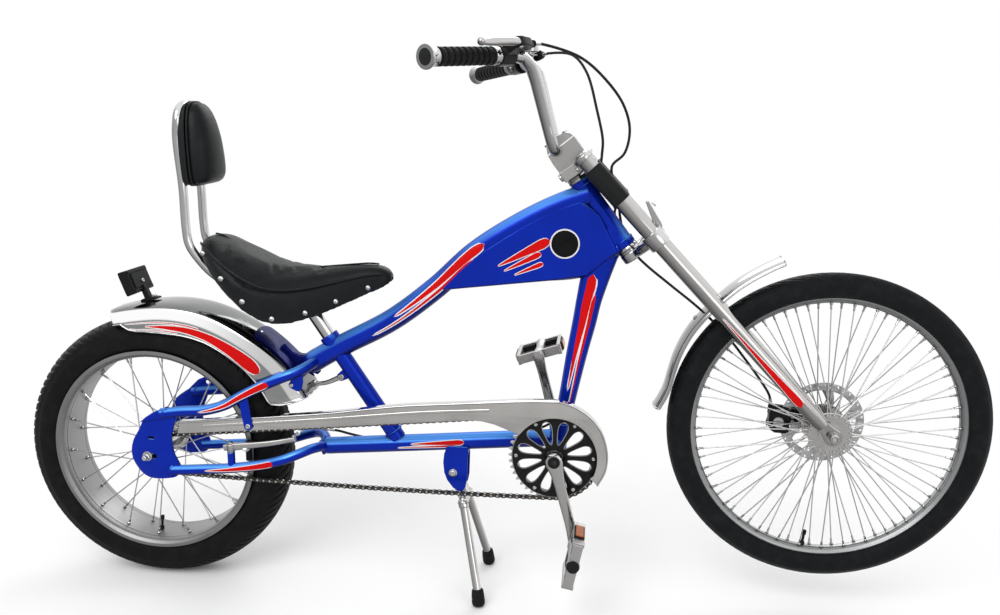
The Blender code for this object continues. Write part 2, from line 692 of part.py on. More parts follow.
def build_main_frame():
    """Head tube, main tubes, gusset panel, bracket shell, stand plates and fender strap."""
    low = CUP_HEIGHT + GAP
    high = HEAD_LENGTH - CUP_HEIGHT - GAP
    head_tube = rod(head(0, low), head(0, high), HEAD_RADIUS, 14)
    rear_top = (0.326, 0.4655)
    top_line = smooth(
        [at(rear_top), at((0.3916, 0.5056)), at((0.4875, 0.562)), at((0.575, 0.6330)),
         at((0.6545, 0.6995)), at((0.748, 0.7505)), at((0.822, 0.787)), head(0, 0.130)],
        0.055,
    )
    top_tube = tube(top_line, TOP_TUBE_RADIUS, 10)
    down_line = [at(BRACKET_CENTRE), at((0.834, 0.400)), at((0.853, 0.506)), at((0.8655, 0.568)),
                 at((0.8725, 0.608)), at((0.8835, 0.655)), at((0.899, 0.705)), head(0, 0.048)]
    down_radii = [0.0165, 0.0168, 0.0205, 0.0230, 0.0243, 0.0275, 0.0290, 0.0240]
    down_tube = tube(down_line, down_radii, 10, 0.0190)
    yoke_end = at((0.346, 0.2885))
    bottom_tube = rod(yoke_end, at((0.820, 0.3330)), BOTTOM_TUBE_RADIUS, 10)
    seat_foot = at(SEAT_TUBE_TOP) - SEAT_UP * SEAT_TUBE_LENGTH
    seat_tube = rod(seat_foot, at(SEAT_TUBE_TOP), SEAT_TUBE_RADIUS, 12)
    shell = rod(at(BRACKET_CENTRE, -BRACKET_SHELL_HALF_LENGTH),
                at(BRACKET_CENTRE, BRACKET_SHELL_HALF_LENGTH), BRACKET_SHELL_RADIUS, 16)
    panel_outline = [(0.584, 0.632), (0.640, 0.634), (0.759, 0.637), (0.868, 0.660), (0.925, 0.705),
                     (0.888, 0.775), (0.850, 0.800), (0.748, 0.748), (0.655, 0.698)]
    panel = prism(panel_outline, -PANEL_HALF_WIDTH, PANEL_HALF_WIDTH)
    bridges = [
        tube([seat_stay_path(-1)[k] for k in (-3, -2, -1)] + [seat_stay_path(1)[k] for k in (-2, -3)],
             SEAT_STAY_RADIUS, 10),
        tube([chain_stay_path(-1)[k] for k in (-3, -2, -1)] + [chain_stay_path(1)[k] for k in (-2, -3)],
             CHAIN_STAY_RADIUS, 10),
    ]
    plate_outline = [(0.600, 0.306), (0.592, 0.272), (0.600, 0.234), (0.630, 0.210),
                     (0.640, 0.236), (0.642, 0.306)]
    plates = [
        prism(plate_outline, sign * STAND_PLATE_Y, sign * (STAND_PLATE_Y + STAND_PLATE_THICKNESS))
        for _, sign in sides()
    ]
    saddle_plate = block((0.597, -STAND_PLATE_Y - 0.002, 0.291), (0.643, STAND_PLATE_Y + 0.002, 0.300))
    seated = [fender_crest(k, GAP + 0.0001) for k in (1, 2, 3, 4)]
    outside = [fender_crest(4, 0.0040), fender_crest(3, 0.0042), (0.2960, 0.4840), (0.3260, 0.4830),
               (0.3410, 0.4700), (0.3350, 0.4590), fender_crest(1, 0.0046)]
    strap = prism(seated + outside, -0.010, 0.010)
    seat_view = (at(SEAT_TUBE_TOP), SEAT_BACK, SEAT_UP, Y_AXIS)
    ears = [
        prism([(0.0100, -0.0720), (0.0310, -0.0760), (0.0310, -0.0900), (0.0100, -0.0940)],
              sign * 0.0046, sign * 0.0086, seat_view)
        for _, sign in sides()
    ]
    cutters = [
        rod(head(0, -0.02), head(0, HEAD_LENGTH + 0.02), HEAD_BORE_RADIUS, 12),
        rod(head(0, -0.05), head(0, CUP_HEIGHT + GAP / 2), 0.0215, 12),
        rod(at(BRACKET_CENTRE, -0.06), at(BRACKET_CENTRE, 0.06), BRACKET_BORE_RADIUS, 16),
        rod(seat_line(-SEAT_POST_INSERT - 0.01), seat_line(0.02), SEAT_POST_RADIUS + 0.0009, 12),
        block((0.25, YOKE_HALF_WIDTH, 0.25), (0.40, 0.09, 0.50)),
        block((0.25, -0.09, 0.25), (0.40, -YOKE_HALF_WIDTH, 0.50)),
        rod(at(STAND_PIVOT, -0.03), at(STAND_PIVOT, 0.03), 0.0044, 10),
        rod(at(SEAT_LEVER_PIVOT, -0.02), at(SEAT_LEVER_PIVOT, 0.02), 0.0036, 10),
    ]
    pieces = [top_tube, head_tube, down_tube, bottom_tube, seat_tube, shell, panel, *bridges,
              saddle_plate, *plates, strap, *ears]
    place("main_frame", weld(pieces, cutters), BLUE, "frame")


def build_stays(side_name, sign):
    """One side's chain stay, seat stay and dropout, up to the yokes."""
    seat_stay = tube(smooth(seat_stay_path(sign), 0.036), SEAT_STAY_RADIUS, 8)
    chain_stay = tube(smooth(chain_stay_path(sign), 0.040), CHAIN_STAY_RADIUS, 8)
    outline = [(-0.005, 0.350), (0.018, 0.366), (0.034, 0.3745), (0.066, 0.366), (0.052, 0.315),
               (0.066, 0.257), (0.060, 0.237), (0.036, 0.230), (0.005, 0.230), (-0.020, 0.248),
               (-0.033, 0.281), (-0.026, 0.312), (-0.014, 0.332)]
    half = DROPOUT_THICKNESS / 2
    dropout = prism(outline, sign * STAY_Y - half, sign * STAY_Y + half)
    boss_y = sign * STAY_Y
    boss = rod(at((0.174, 0.262), boss_y), at((0.174, 0.2925), boss_y), 0.0075, 10)
    pin = rod(at((0.174, 0.290), boss_y), at((0.174, 0.3110), boss_y), 0.0036, 8)
    pieces = [dropout, seat_stay, chain_stay, boss, pin]
    if side_name == "right":
        tab = [(0.196, 0.400), (0.2125, 0.404), (0.2235, 0.352), (0.2200, 0.3425), (0.2090, 0.3425)]
        near = GUARD_Y - GUARD_THICKNESS / 2 - GAP
        pieces.append(prism(tab, near - 0.003, near))
    else:
        lug = [(0.0050, 0.345), (0.0271, 0.3751), (0.0472, 0.3948), (0.0726, 0.4021), (0.0871, 0.388),
               (0.0830, 0.372), (0.0400, 0.3600)]
        pieces.append(prism(lug, boss_y - 0.0025, boss_y + 0.0025))
    slot = AXLE_RADIUS + RUNNING_GAP
    centre = REAR_HUB
    slot_outline = arc(centre, slot, 90, 270, 6) + arc((centre[0] + 0.014, centre[1]), slot, -90, 90, 6)
    cutters = [
        prism(slot_outline, boss_y - 0.02, boss_y + 0.02),
        prism(arc((0.006, 0.315), 0.003, 90, 270, 4) + arc((0.014, 0.315), 0.003, -90, 90, 4),
              boss_y - 0.02, boss_y + 0.02),
        block((0.25, -YOKE_HALF_WIDTH - GAP, 0.24), (0.40, YOKE_HALF_WIDTH + GAP, 0.50)),
    ]
    place(f"stays_{side_name}", weld(pieces, cutters), BLUE, "frame")


def build_bearings():
    """Headset cups and the bottom bracket's cups."""
    inner = STEERER_RADIUS + RUNNING_GAP
    for name, foot in (("headset_lower", 0.0), ("headset_upper", HEAD_LENGTH - CUP_HEIGHT)):
        outline = [(inner, 0), (0.0205, 0), (0.0205, 0.0085), (0.0190, CUP_HEIGHT), (inner, CUP_HEIGHT)]
        place(name, lathe(head(0, foot), HEAD_UP, outline, 16), CHROME, "frame")
    end = BRACKET_SHELL_HALF_LENGTH
    bore = SPINDLE_RADIUS + RUNNING_GAP
    tube_radius = BRACKET_BORE_RADIUS - 0.0006
    half = [(tube_radius, end + GAP), (0.0195, end + GAP), (0.0195, end + 0.0035), (bore, end + 0.0040)]
    profile = [(r, -y) for r, y in reversed(half)] + half
    place("bottom_bracket", lathe(at(BRACKET_CENTRE), Y_AXIS, profile, 14), STEEL, "frame")


# Steering

def build_fork_leg(side_name, sign):
    """A fork leg with its flattened end, and on the left the brake's mount."""
    y = sign * LEG_Y
    bottom = LEG_LENGTH - 0.032
    shaft = lathe(leg(0, 0, y), LEG_DOWN, [
        (0, -0.003), (0.0105, -0.0015), (LEG_RADIUS, 0.002), (LEG_RADIUS, bottom - 0.010),
        (0.0115, bottom - 0.001), (0, bottom + 0.002),
    ], 14)
    lug_view = (leg(LEG_LENGTH), LEG_DOWN, LEG_FORWARD, Y_AXIS)
    lug_outline = arc((0, 0), 0.0165, -100, 100, 8) + [(-0.060, 0.0105), (-0.060, -0.0105)]
    inner = sign * (LEG_Y - 0.0060)
    outer = sign * (LEG_Y + 0.0028)
    lug = prism(lug_outline, min(inner, outer), max(inner, outer), lug_view)
    pieces = [shaft, lug]
    if side_name == "left":
        mount = beside(FRONT_HUB, [(-0.0250, 0.0192), (-0.0320, 0.0392), (-0.0610, 0.0272),
                                   (-0.0610, -0.0168), (-0.0410, -0.0168), (-0.0060, -0.0128)])
        pieces.append(prism(mount, 0.0510, 0.0555))
    hole = rod(at(FRONT_HUB, y - 0.03), at(FRONT_HUB, y + 0.03), AXLE_RADIUS + GAP * 2, 12)
    place(f"fork_leg_{side_name}", weld(pieces, [hole]), CHROME, "steering")


def leg_clamp(sign, first, last, wall):
    """The solid collar of a crown or stem round one fork leg."""
    start = leg(first, 0, sign * LEG_Y)
    return rod(start, leg(last, 0, sign * LEG_Y), LEG_RADIUS + 0.0009 + wall, 14)


def leg_bore(sign, first, last):
    """The hole of a crown or stem for one fork leg."""
    return rod(leg(first, 0, sign * LEG_Y), leg(last, 0, sign * LEG_Y), LEG_RADIUS + 0.0009, 14)


def build_crown_and_stem():
    """The lower crown with the steerer, and the forged stem that holds legs and handlebar."""
    crown_low = CROWN_AT - CROWN_HEIGHT / 2
    crown_high = CROWN_AT + CROWN_HEIGHT / 2
    crown_leg = leg(CROWN_AT) - HEAD_VIEW[0]
    reach = crown_leg.dot(HEAD_FORWARD)
    boss = rod(head(0, -0.0170), head(0, -GAP), 0.0215, 14)
    steerer = rod(head(0, -0.010), head(0, HEAD_LENGTH + 0.0200), STEERER_RADIUS, 14)
    line = [head(reach, -0.0060, -LEG_Y), head(reach * 0.55, -0.0102, -LEG_Y * 0.62), head(0.004, -0.0095, 0),
            head(reach * 0.55, -0.0102, LEG_Y * 0.62), head(reach, -0.0060, LEG_Y)]
    arms = [tube(line, [0.0085, 0.0080, 0.0072, 0.0080, 0.0085], 8, [0.0115, 0.0115, 0.0135, 0.0115, 0.0115])]
    clamps = [leg_clamp(sign, crown_low, crown_high, CLAMP_WALL) for _, sign in sides()]
    foot = leg(crown_low + 0.004, LEG_RADIUS + CLAMP_WALL - 0.004)
    reflector_arm = prism(
        [(foot.x - 0.012, foot.z - 0.004), (foot.x + 0.010, foot.z - 0.004), (foot.x + 0.008, foot.z + 0.008),
         (foot.x - 0.016, foot.z + 0.046), (foot.x - 0.022, foot.z + 0.044), (foot.x - 0.008, foot.z + 0.010)],
        -0.012, 0.012)
    bridge = rod(leg(CROWN_AT - 0.004, 0.012, -LEG_Y), leg(CROWN_AT - 0.004, 0.012, LEG_Y), 0.0055, 8)
    bores = [leg_bore(sign, crown_low - 0.01, crown_high + 0.01) for _, sign in sides()]
    place("lower_crown", weld([boss, steerer, *arms, *clamps, bridge, reflector_arm], bores),
          CHROME, "steering")

    top = HEAD_LENGTH
    plate_outline = [(-0.0200, top + 0.0006), (0.0130, top + 0.0006), (0.0400, top + 0.0060),
                     (0.0400, top + 0.0220), (-0.0200, top + 0.0220)]
    plate = prism(plate_outline, -LEG_Y + 0.006, LEG_Y - 0.006, HEAD_VIEW)
    block_outline = [(-0.0200, top + 0.018), (-0.0190, top + 0.060), (-0.0120, top + 0.0735),
                     (0.0040, top + 0.0780), (0.0300, top + 0.0755), (0.0400, top + 0.0600),
                     (0.0400, top + 0.018)]
    bar_block = prism(block_outline, -0.030, 0.030, HEAD_VIEW)
    clamps = [leg_clamp(sign, 0.0, STEM_HEIGHT, CLAMP_WALL) for _, sign in sides()]
    bolts = [rod(head(-0.014, top + 0.0120, y), head(-0.0290, top + 0.0120, y), 0.0042, 8)
             for y in (-0.020, 0.020)]
    bores = [leg_bore(sign, -0.02, STEM_HEIGHT + 0.02) for _, sign in sides()]
    bores.append(rod(head(0, top - 0.01), head(0, top + 0.0206), STEERER_RADIUS + 0.0008, 14))
    bores.append(rod(BAR_CENTRE - Y_AXIS * 0.05, BAR_CENTRE + Y_AXIS * 0.05, BAR_RADIUS + 0.0008, 10))
    place("stem", weld([plate, bar_block, *clamps, *bolts], bores), ALLOY, "steering")


def build_cable_sleeve():
    """The black wrap round both fork legs that the cables dive into."""
    first = STEM_HEIGHT + 0.0008
    last = 0.110
    inner = LEG_RADIUS + 0.0009
    outer = inner + 0.0020
    view = (leg(0), LEG_FORWARD, Y_AXIS, LEG_DOWN)
    turns = [math.radians(a) for a in range(90, -136, -25)]

    def outline(radius):
        half = [(radius * math.sin(a), LEG_Y + radius * math.cos(a)) for a in turns]
        return half + [(x, -y) for x, y in reversed(half)]

    wrap = prism(outline(outer), first, last, view)
    hollow = prism(outline(inner), first - 0.01, last + 0.01, view)
    notches = []
    for along, y, length in ((first + 0.006, 0.004, 0.022), (0.064, -0.018, 0.020)):
        notches.append(block_in(leg(along, outer, y), 0.016, 0.0085, length))
    place("cable_sleeve", weld([wrap], [hollow, *notches]), BLACK_PLASTIC, "steering")


def block_in(centre, depth, width, length):
    """A box at a point of the fork legs' front, square to them."""
    view = (centre, LEG_FORWARD, LEG_DOWN, Y_AXIS)
    a = depth / 2
    b = length / 2
    return prism([(-a, -b), (a, -b), (a, b), (-a, b)], -width / 2, width / 2, view)


def build_handlebar():
    """The bent bar with grips, end caps, inner rings and lever perches."""
    place("handlebar", tube(bar_line(), BAR_RADIUS, 8), CHROME, "steering")
    for side_name, sign in sides():
        _, inward, facing, _ = bar_frame(sign)
        inner = BAR_RADIUS + 0.0008
        cap = lathe(bar_point(sign, 0, 0), inward, [
            (0, -0.002), (0.0205, -0.002), (0.0200, 0.006), (0.0172, 0.016),
            (GRIP_RADIUS + 0.0010, END_CAP_LENGTH), (inner, END_CAP_LENGTH), (inner, -0.0006), (0, -0.0006),
        ], 12)
        place(f"bar_end_{side_name}", cap, CHROME, "steering")
        start = END_CAP_LENGTH + GAP
        grip_profile = [(inner, start), (GRIP_RADIUS, start), (GRIP_RADIUS, start + GRIP_LENGTH),
                        (inner, start + GRIP_LENGTH)]
        place(f"grip_{side_name}", lathe(bar_point(sign, 0, 0), inward, grip_profile, 12), RUBBER,
              "steering")
        build_perch(side_name, sign, start + GRIP_LENGTH + GAP)


def build_perch(side_name, sign, first):
    """A lever's clamp on the bar, with its pin, cable barrel and the grip's inner ring."""
    tip, inward, facing, pin = bar_frame(sign)
    view = (tip, inward, facing, pin)
    ring = lathe(tip, inward, [(0, first), (0.0150, first), (0.0150, first + 0.014),
                               (0, first + 0.014)], 12)
    collar = lathe(tip, inward, [(0, first + 0.012), (0.0175, first + 0.013), (0.0175, 0.2068), (0, 0.2068)], 12)
    body = prism([(0.1700, 0.012), (0.2055, 0.012), (0.2055, 0.030), (0.2160, 0.034), (0.2160, 0.046),
                  (0.1960, 0.0505), (0.1790, 0.0530), (0.1710, 0.0500), (0.1710, 0.030)],
                 -0.0085, 0.0085, view)
    barrel = rod(bar_point(sign, 0.210, 0.040), bar_point(sign, 0.2270, 0.040), 0.0052, 8)
    slot = prism([(0.150, 0.0345), (0.1905, 0.0345), (0.1905, 0.070), (0.150, 0.070)],
                 -0.0045, 0.0045, view)
    bore = rod(bar_point(sign, 0.10, 0), bar_point(sign, 0.2126, 0), BAR_RADIUS + 0.0009, 12)
    solid = weld([collar, ring, body, barrel], [slot, bore])
    hinge = rod(bar_point(sign, LEVER_PIN_INWARD, LEVER_PIN_FACING, -0.0095),
                bar_point(sign, LEVER_PIN_INWARD, LEVER_PIN_FACING, 0.0095), 0.0024, 8)
    place(f"brake_perch_{side_name}", weld([solid, hinge]), BLACK_METAL, "steering")

    blade = arc((LEVER_PIN_INWARD, LEVER_PIN_FACING), 0.0072, -60, 90, 5)
    blade += [(0.160, 0.0535), (0.125, 0.0535), (0.085, 0.0520), (0.068, 0.0535)]
    blade += arc((0.061, 0.0486), 0.0062, 60, 300, 6)
    blade += [(0.070, 0.0430), (0.085, 0.0430), (0.125, 0.0445), (0.160, 0.0410)]
    lever = prism(blade, -0.0040, 0.0040, view)
    hole = rod(bar_point(sign, LEVER_PIN_INWARD, LEVER_PIN_FACING, -0.02),
               bar_point(sign, LEVER_PIN_INWARD, LEVER_PIN_FACING, 0.02), 0.0030, 8)
    place(f"brake_lever_{side_name}", weld([lever], [hole]), ALLOY, f"lever_{side_name}")


def build_bell():
    """A small bell on the left of the bar: base with its post, dome and thumb lever."""
    foot = BELL_FOOT
    saddle_block = lathe(BELL_CENTRE - Z_AXIS * 0.004, Z_AXIS,
                         [(0, 0), (0.0060, 0), (0.0060, 0.0200), (0, 0.0200)], 8)
    plate = lathe(foot, Z_AXIS, [(0, 0), (0.0150, 0), (0.0150, 0.0030), (0.0030, 0.0030),
                                 (0.0030, 0.0230), (0, 0.0230)], 10)
    bar = tube(bar_line(), BAR_RADIUS + 0.0008, 10)
    place("bell_base", weld([saddle_block, plate], [bar]), CHROME, "steering")
    dome = lathe(foot, Z_AXIS, [
        (0.0036, 0.0185), (0.0130, 0.0160), (0.0150, 0.0075), (0.0165, 0.0075), (0.0155, 0.0175),
        (0.0036, 0.0215),
    ], 12)
    place("bell_dome", dome, CHROME, "steering")
    arm_foot = foot + Vector((0, 0, 0.0036))
    arm = prism([(-0.0050, -0.0045), (-0.0050, 0.0045), (-0.0240, 0.0035), (-0.0240, -0.0035)],
                0.0, 0.0022, (arm_foot, X_AXIS, Y_AXIS, Z_AXIS))
    hub = lathe(arm_foot, Z_AXIS, [(0.0038, 0), (0.0070, 0), (0.0070, 0.0022), (0.0038, 0.0022)], 10)
    place("bell_thumb_lever", weld([hub, arm]), CHROME, "bell_lever")


# Drive

def toothed_outline(centre, teeth, pitch_radius):
    """A sprocket's outline: a tip and a valley for each tooth."""
    outline = []
    for k in range(teeth):
        turn = 2 * math.pi * (k + 0.5) / teeth
        outline.append(polar(centre, pitch_radius + 0.0034, turn))
        outline.append(polar(centre, pitch_radius - 0.0040, turn + math.pi / teeth))
    return outline


def build_drive():
    """Cranks, chainring, petal disc, freewheel sprocket and chain."""
    half_ring = 0.0011
    ring = prism(toothed_outline(BRACKET_CENTRE, CHAINRING_TEETH, CHAINRING_PITCH_RADIUS),
                 CHAIN_Y - half_ring, CHAIN_Y + half_ring)
    face = CHAIN_Y - half_ring - 0.0034
    back = CHAIN_Y - half_ring - 0.0004
    disc = lathe(at(BRACKET_CENTRE), Y_AXIS, [
        (SPINDLE_RADIUS + 0.0008, face), (PETAL_DISC_RADIUS, face), (PETAL_DISC_RADIUS, CHAIN_Y),
        (0.070, CHAIN_Y), (0.070, back), (SPINDLE_RADIUS + 0.0008, back),
    ], 30)
    ring = weld([ring], [rod(at(BRACKET_CENTRE, -0.1), at(BRACKET_CENTRE, 0), 0.0735, 30)])
    petals = []
    for k in range(PETAL_COUNT):
        turn = 2 * math.pi * (k + 0.5) / PETAL_COUNT + CRANK_ANGLE
        view = (at(BRACKET_CENTRE), X_AXIS * math.cos(turn) + Z_AXIS * math.sin(turn),
                Z_AXIS * math.cos(turn) - X_AXIS * math.sin(turn), Y_AXIS)
        outline = [(0.027, 0.0014), (0.0600, 0.0088), (0.0690, 0.0050)]
        outline += [(x, -y) for x, y in reversed(outline)]
        petals.append(prism(outline, face - 0.01, back + 0.002, view))
    place("chainring", weld([disc, ring], [joined(petals)]), BLACK_METAL, "crank")

    build_crank("right", -1, face - GAP)
    build_crank("left", 1, None)

    sprocket = prism(toothed_outline(REAR_HUB, SPROCKET_TEETH, SPROCKET_PITCH_RADIUS),
                     CHAIN_Y - half_ring, CHAIN_Y + half_ring)
    body = lathe(at(REAR_HUB, CHAIN_Y), Y_AXIS, [
        (0.0, -0.0034), (0.0225, -0.0034), (0.0225, 0.0080), (0.0, 0.0080)], 16)
    bore = rod(at(REAR_HUB, CHAIN_Y - 0.02), at(REAR_HUB, CHAIN_Y + 0.02), 0.0155 + RUNNING_GAP, 18)
    place("freewheel_sprocket", weld([body, sprocket], [bore]), DARK_STEEL, "freewheel")


def build_crank(side_name, sign, boss_face):
    """A crank arm with its pedal axle; the right one carries the spindle."""
    inner = sign * (CRANK_Y - CRANK_THICKNESS / 2)
    outer = sign * (CRANK_Y + CRANK_THICKNESS / 2)
    pin = CRANK_PIN[sign]
    along = (at(pin) - at(BRACKET_CENTRE)).normalized()
    view = (at(BRACKET_CENTRE), along, along.cross(Y_AXIS), Y_AXIS)
    outline = arc((0, 0), 0.0165, 100, 260, 8) + arc((CRANK_LENGTH, 0), 0.0115, -90, 90, 8)
    arm = prism(outline, min(inner, outer), max(inner, outer), view)
    axle_start = sign * (CRANK_Y - 0.002)
    axle_end = sign * (PEDAL_INNER_Y + PEDAL_WIDTH - 0.004)
    axle = rod(at(pin, axle_start), at(pin, axle_end), 0.0050, 10)
    cap = rod(at(BRACKET_CENTRE, sign * CRANK_Y), at(BRACKET_CENTRE, outer + sign * 0.0025), 0.0110, 12)
    pieces = [arm, axle, cap]
    if side_name == "right":
        pieces.append(rod(at(BRACKET_CENTRE, boss_face), at(BRACKET_CENTRE, -CRANK_Y), 0.0150, 16))
        pieces.append(rod(at(BRACKET_CENTRE, -CRANK_Y), at(BRACKET_CENTRE, CRANK_Y + 0.004),
                          SPINDLE_RADIUS, 12))
        place("crank_right", weld(pieces), ALLOY, "crank")
        return
    hole = rod(at(BRACKET_CENTRE, CRANK_Y - 0.02), at(BRACKET_CENTRE, CRANK_Y + 0.0044),
               SPINDLE_RADIUS + 0.0006, 12)
    place("crank_left", weld(pieces, [hole]), ALLOY, "crank")


def build_pedal(side_name, sign):
    """A platform pedal on its axle, with a reflector at each end."""
    pin = CRANK_PIN[sign]
    lean = PEDAL_LEAN if sign < 0 else math.radians(12.0)
    view = (at(pin), X_AXIS * math.cos(lean) + Z_AXIS * math.sin(lean),
            Z_AXIS * math.cos(lean) - X_AXIS * math.sin(lean), Y_AXIS)
    inner = PEDAL_INNER_Y
    outer = PEDAL_INNER_Y + PEDAL_WIDTH
    low, high = sorted((sign * inner, sign * outer))
    a = PEDAL_LENGTH / 2
    b = PEDAL_THICKNESS / 2
    cage_outline = [(-a, -b * 0.7), (-a * 0.4, -b), (a * 0.4, -b), (a, -b * 0.7), (a, b * 0.7),
                    (a * 0.4, b), (-a * 0.4, b), (-a, b * 0.7)]
    cage = prism(cage_outline, low, high, view)
    barrel = rod(at(pin, sign * (inner - 0.003)), at(pin, sign * (outer + 0.004)), 0.0125, 12)
    windows = []
    for end in (-1, 1):
        near, far = sorted((end * 0.0135, end * (a - 0.008)))
        windows.append(prism([(near, -0.05), (far, -0.05), (far, 0.05), (near, 0.05)],
                             low + 0.009, high - 0.009, view))
    lenses = []
    for end in (-1, 1):
        near, far = sorted((end * (a - 0.0030), end * (a + 0.0035)))
        lenses.append(prism([(near, -0.0051), (far, -0.0051), (far, 0.0051), (near, 0.0051)],
                            low + 0.0184, high - 0.0184, view))
    bore = rod(at(pin, sign * (inner - 0.01)), at(pin, sign * (outer - 0.002)), 0.0058, 12)
    place(f"pedal_{side_name}", weld([cage, barrel, *lenses], [*windows, bore]), ALLOY,
          f"pedal_{side_name}")


def chain_line():
    """The chain's pitch line: two arcs and the two straight runs, as points and flags for runs."""
    span = at(BRACKET_CENTRE) - at(REAR_HUB)
    tilt = math.atan2(span.z, span.x)
    spread = math.acos((SPROCKET_PITCH_RADIUS - CHAINRING_PITCH_RADIUS) / span.length)
    up = tilt + spread
    down = tilt - spread
    return up, down


def chain_loop(offset):
    """The closed outline of the chain at a distance outside its pitch line."""
    up, down = chain_line()
    front = arc(BRACKET_CENTRE, CHAINRING_PITCH_RADIUS + offset, math.degrees(up), math.degrees(down), 14)
    rear = arc(REAR_HUB, SPROCKET_PITCH_RADIUS + offset, math.degrees(down),
               math.degrees(up) - 360, 9)
    return front + rear


def build_chain():
    """The chain as two rows of plates joined by its rollers along the straight runs."""
    height = 0.0042
    plates = []
    for low, high in ((-0.0034, -0.0018), (0.0018, 0.0034)):
        outside = chain_loop(height)
        inside = chain_loop(-height)
        rings = [
            [at(outside[k], CHAIN_Y + low), at(outside[k], CHAIN_Y + high),
             at(inside[k], CHAIN_Y + high), at(inside[k], CHAIN_Y + low)]
            for k in range(len(outside))
        ]
        plates.append(skin(rings, closed=True))
    up, down = chain_line()
    rollers = []
    for angle in (up, down):
        first = at(polar(REAR_HUB, SPROCKET_PITCH_RADIUS, angle), CHAIN_Y)
        last = at(polar(BRACKET_CENTRE, CHAINRING_PITCH_RADIUS, angle), CHAIN_Y)
        run = (last - first).normalized()
        length = (last - first).length
        count = int((length - 0.070) / (8 * CHAIN_PITCH))
        for k in range(count + 1):
            spot = first + run * (0.030 + 8 * CHAIN_PITCH * k)
            rollers.append(rod(spot - Y_AXIS * 0.0026, spot + Y_AXIS * 0.0026, 0.0039, 6))
    place("chain", weld([plates[0], joined(rollers), plates[1]]), DARK_STEEL, "frame")


def build_chain_guard():
    """The polished guard over the chain's upper run, with a turned-in top edge."""
    top = [(0.071, 0.350), (0.519, 0.4035), (0.690, 0.4180), (0.790, 0.4245)]
    over = [(0.828, 0.4235), (0.856, 0.4140), (0.884, 0.3950), (0.905, 0.3660), (0.916, 0.3260),
            (0.913, 0.2900), (0.899, 0.261)]
    inner = [(0.885, 0.274)] + arc(BRACKET_CENTRE, 0.0815, -22, 146, 14)
    low = [(0.6994, 0.3745), (0.6521, 0.3805), (0.3172, 0.3482), (0.065, 0.326)]
    outline = top + over + inner + low
    half = GUARD_THICKNESS / 2
    plate = prism(outline, GUARD_Y - half, GUARD_Y + half)
    rim = top + over
    depth = 0.0150
    strip = []
    for k, point in enumerate(rim):
        before = Vector(rim[max(k - 1, 0)])
        after = Vector(rim[min(k + 1, len(rim) - 1)])
        inward = (after - before).normalized()
        inward = Vector((inward.y, -inward.x))
        strip.append((point, (point[0] + inward.x * 0.0018, point[1] + inward.y * 0.0018)))
    rings = [
        [at(a, GUARD_Y - half), at(a, GUARD_Y + depth), at(b, GUARD_Y + depth), at(b, GUARD_Y - half)]
        for a, b in strip
    ]
    place("chain_guard", weld([plate, skin(rings)]), CHROME, "frame")


# Stand

def build_stand():
    """Stand head, splayed legs, rubber feet and the pivot bolt."""
    pivot = STAND_PIVOT
    head_width = STAND_PLATE_Y - 0.0008
    head_outline = arc(pivot, 0.0120, -20, 200, 8) + [(0.6200, 0.1900), (0.6440, 0.1900)]
    stand_head = prism(head_outline, -head_width, head_width)
    cross = block((0.6220, -0.034, 0.1885), (0.6440, 0.034, 0.1990))
    legs = []
    for _, sign in sides():
        start = Vector((0.6330, sign * 0.0270, 0.1960))
        end = Vector((STAND_FOOT_X, sign * STAND_FOOT_Y, STAND_FOOT_HEIGHT - 0.012))
        legs.append(tube([start, end], 0.0075, 8, 0.0045))
    end = STAND_PLATE_Y + STAND_PLATE_THICKNESS + GAP
    half = [(0, end + 0.0040), (0.0060, end + 0.0034), (0.0065, end), (0.0038, end)]
    bolt = lathe(at(pivot), Y_AXIS, half + [(r, -y) for r, y in reversed(half)], 10)
    floor = block((0.60, -0.12, -0.02), (0.72, 0.12, STAND_FOOT_HEIGHT + GAP))
    place("stand_legs", weld([stand_head, cross, *legs, bolt], [floor]), ALLOY, "stand")
    for side_name, sign in sides():
        foot = lathe((STAND_FOOT_X, sign * STAND_FOOT_Y, 0), Z_AXIS, [
            (0, 0), (0.0125, 0), (0.0145, 0.006), (0.0135, 0.026), (0.0115, STAND_FOOT_HEIGHT),
            (0, STAND_FOOT_HEIGHT)], 12)
        place(f"stand_foot_{side_name}", foot, RUBBER, "stand")


# Seat

def saddle_underside(x):
    """The height of the saddle's flat underside at a distance ahead of the rear axle."""
    line = [(0.10, 0.700), (0.150, 0.676), (0.200, 0.645), (0.260, 0.613), (0.300, 0.606),
            (0.360, 0.612), (0.440, 0.634), (0.50, 0.650)]
    for (x0, z0), (x1, z1) in zip(line, line[1:]):
        if x <= x1:
            return z0 + (z1 - z0) * (x - x0) / (x1 - x0)
    return line[-1][1]


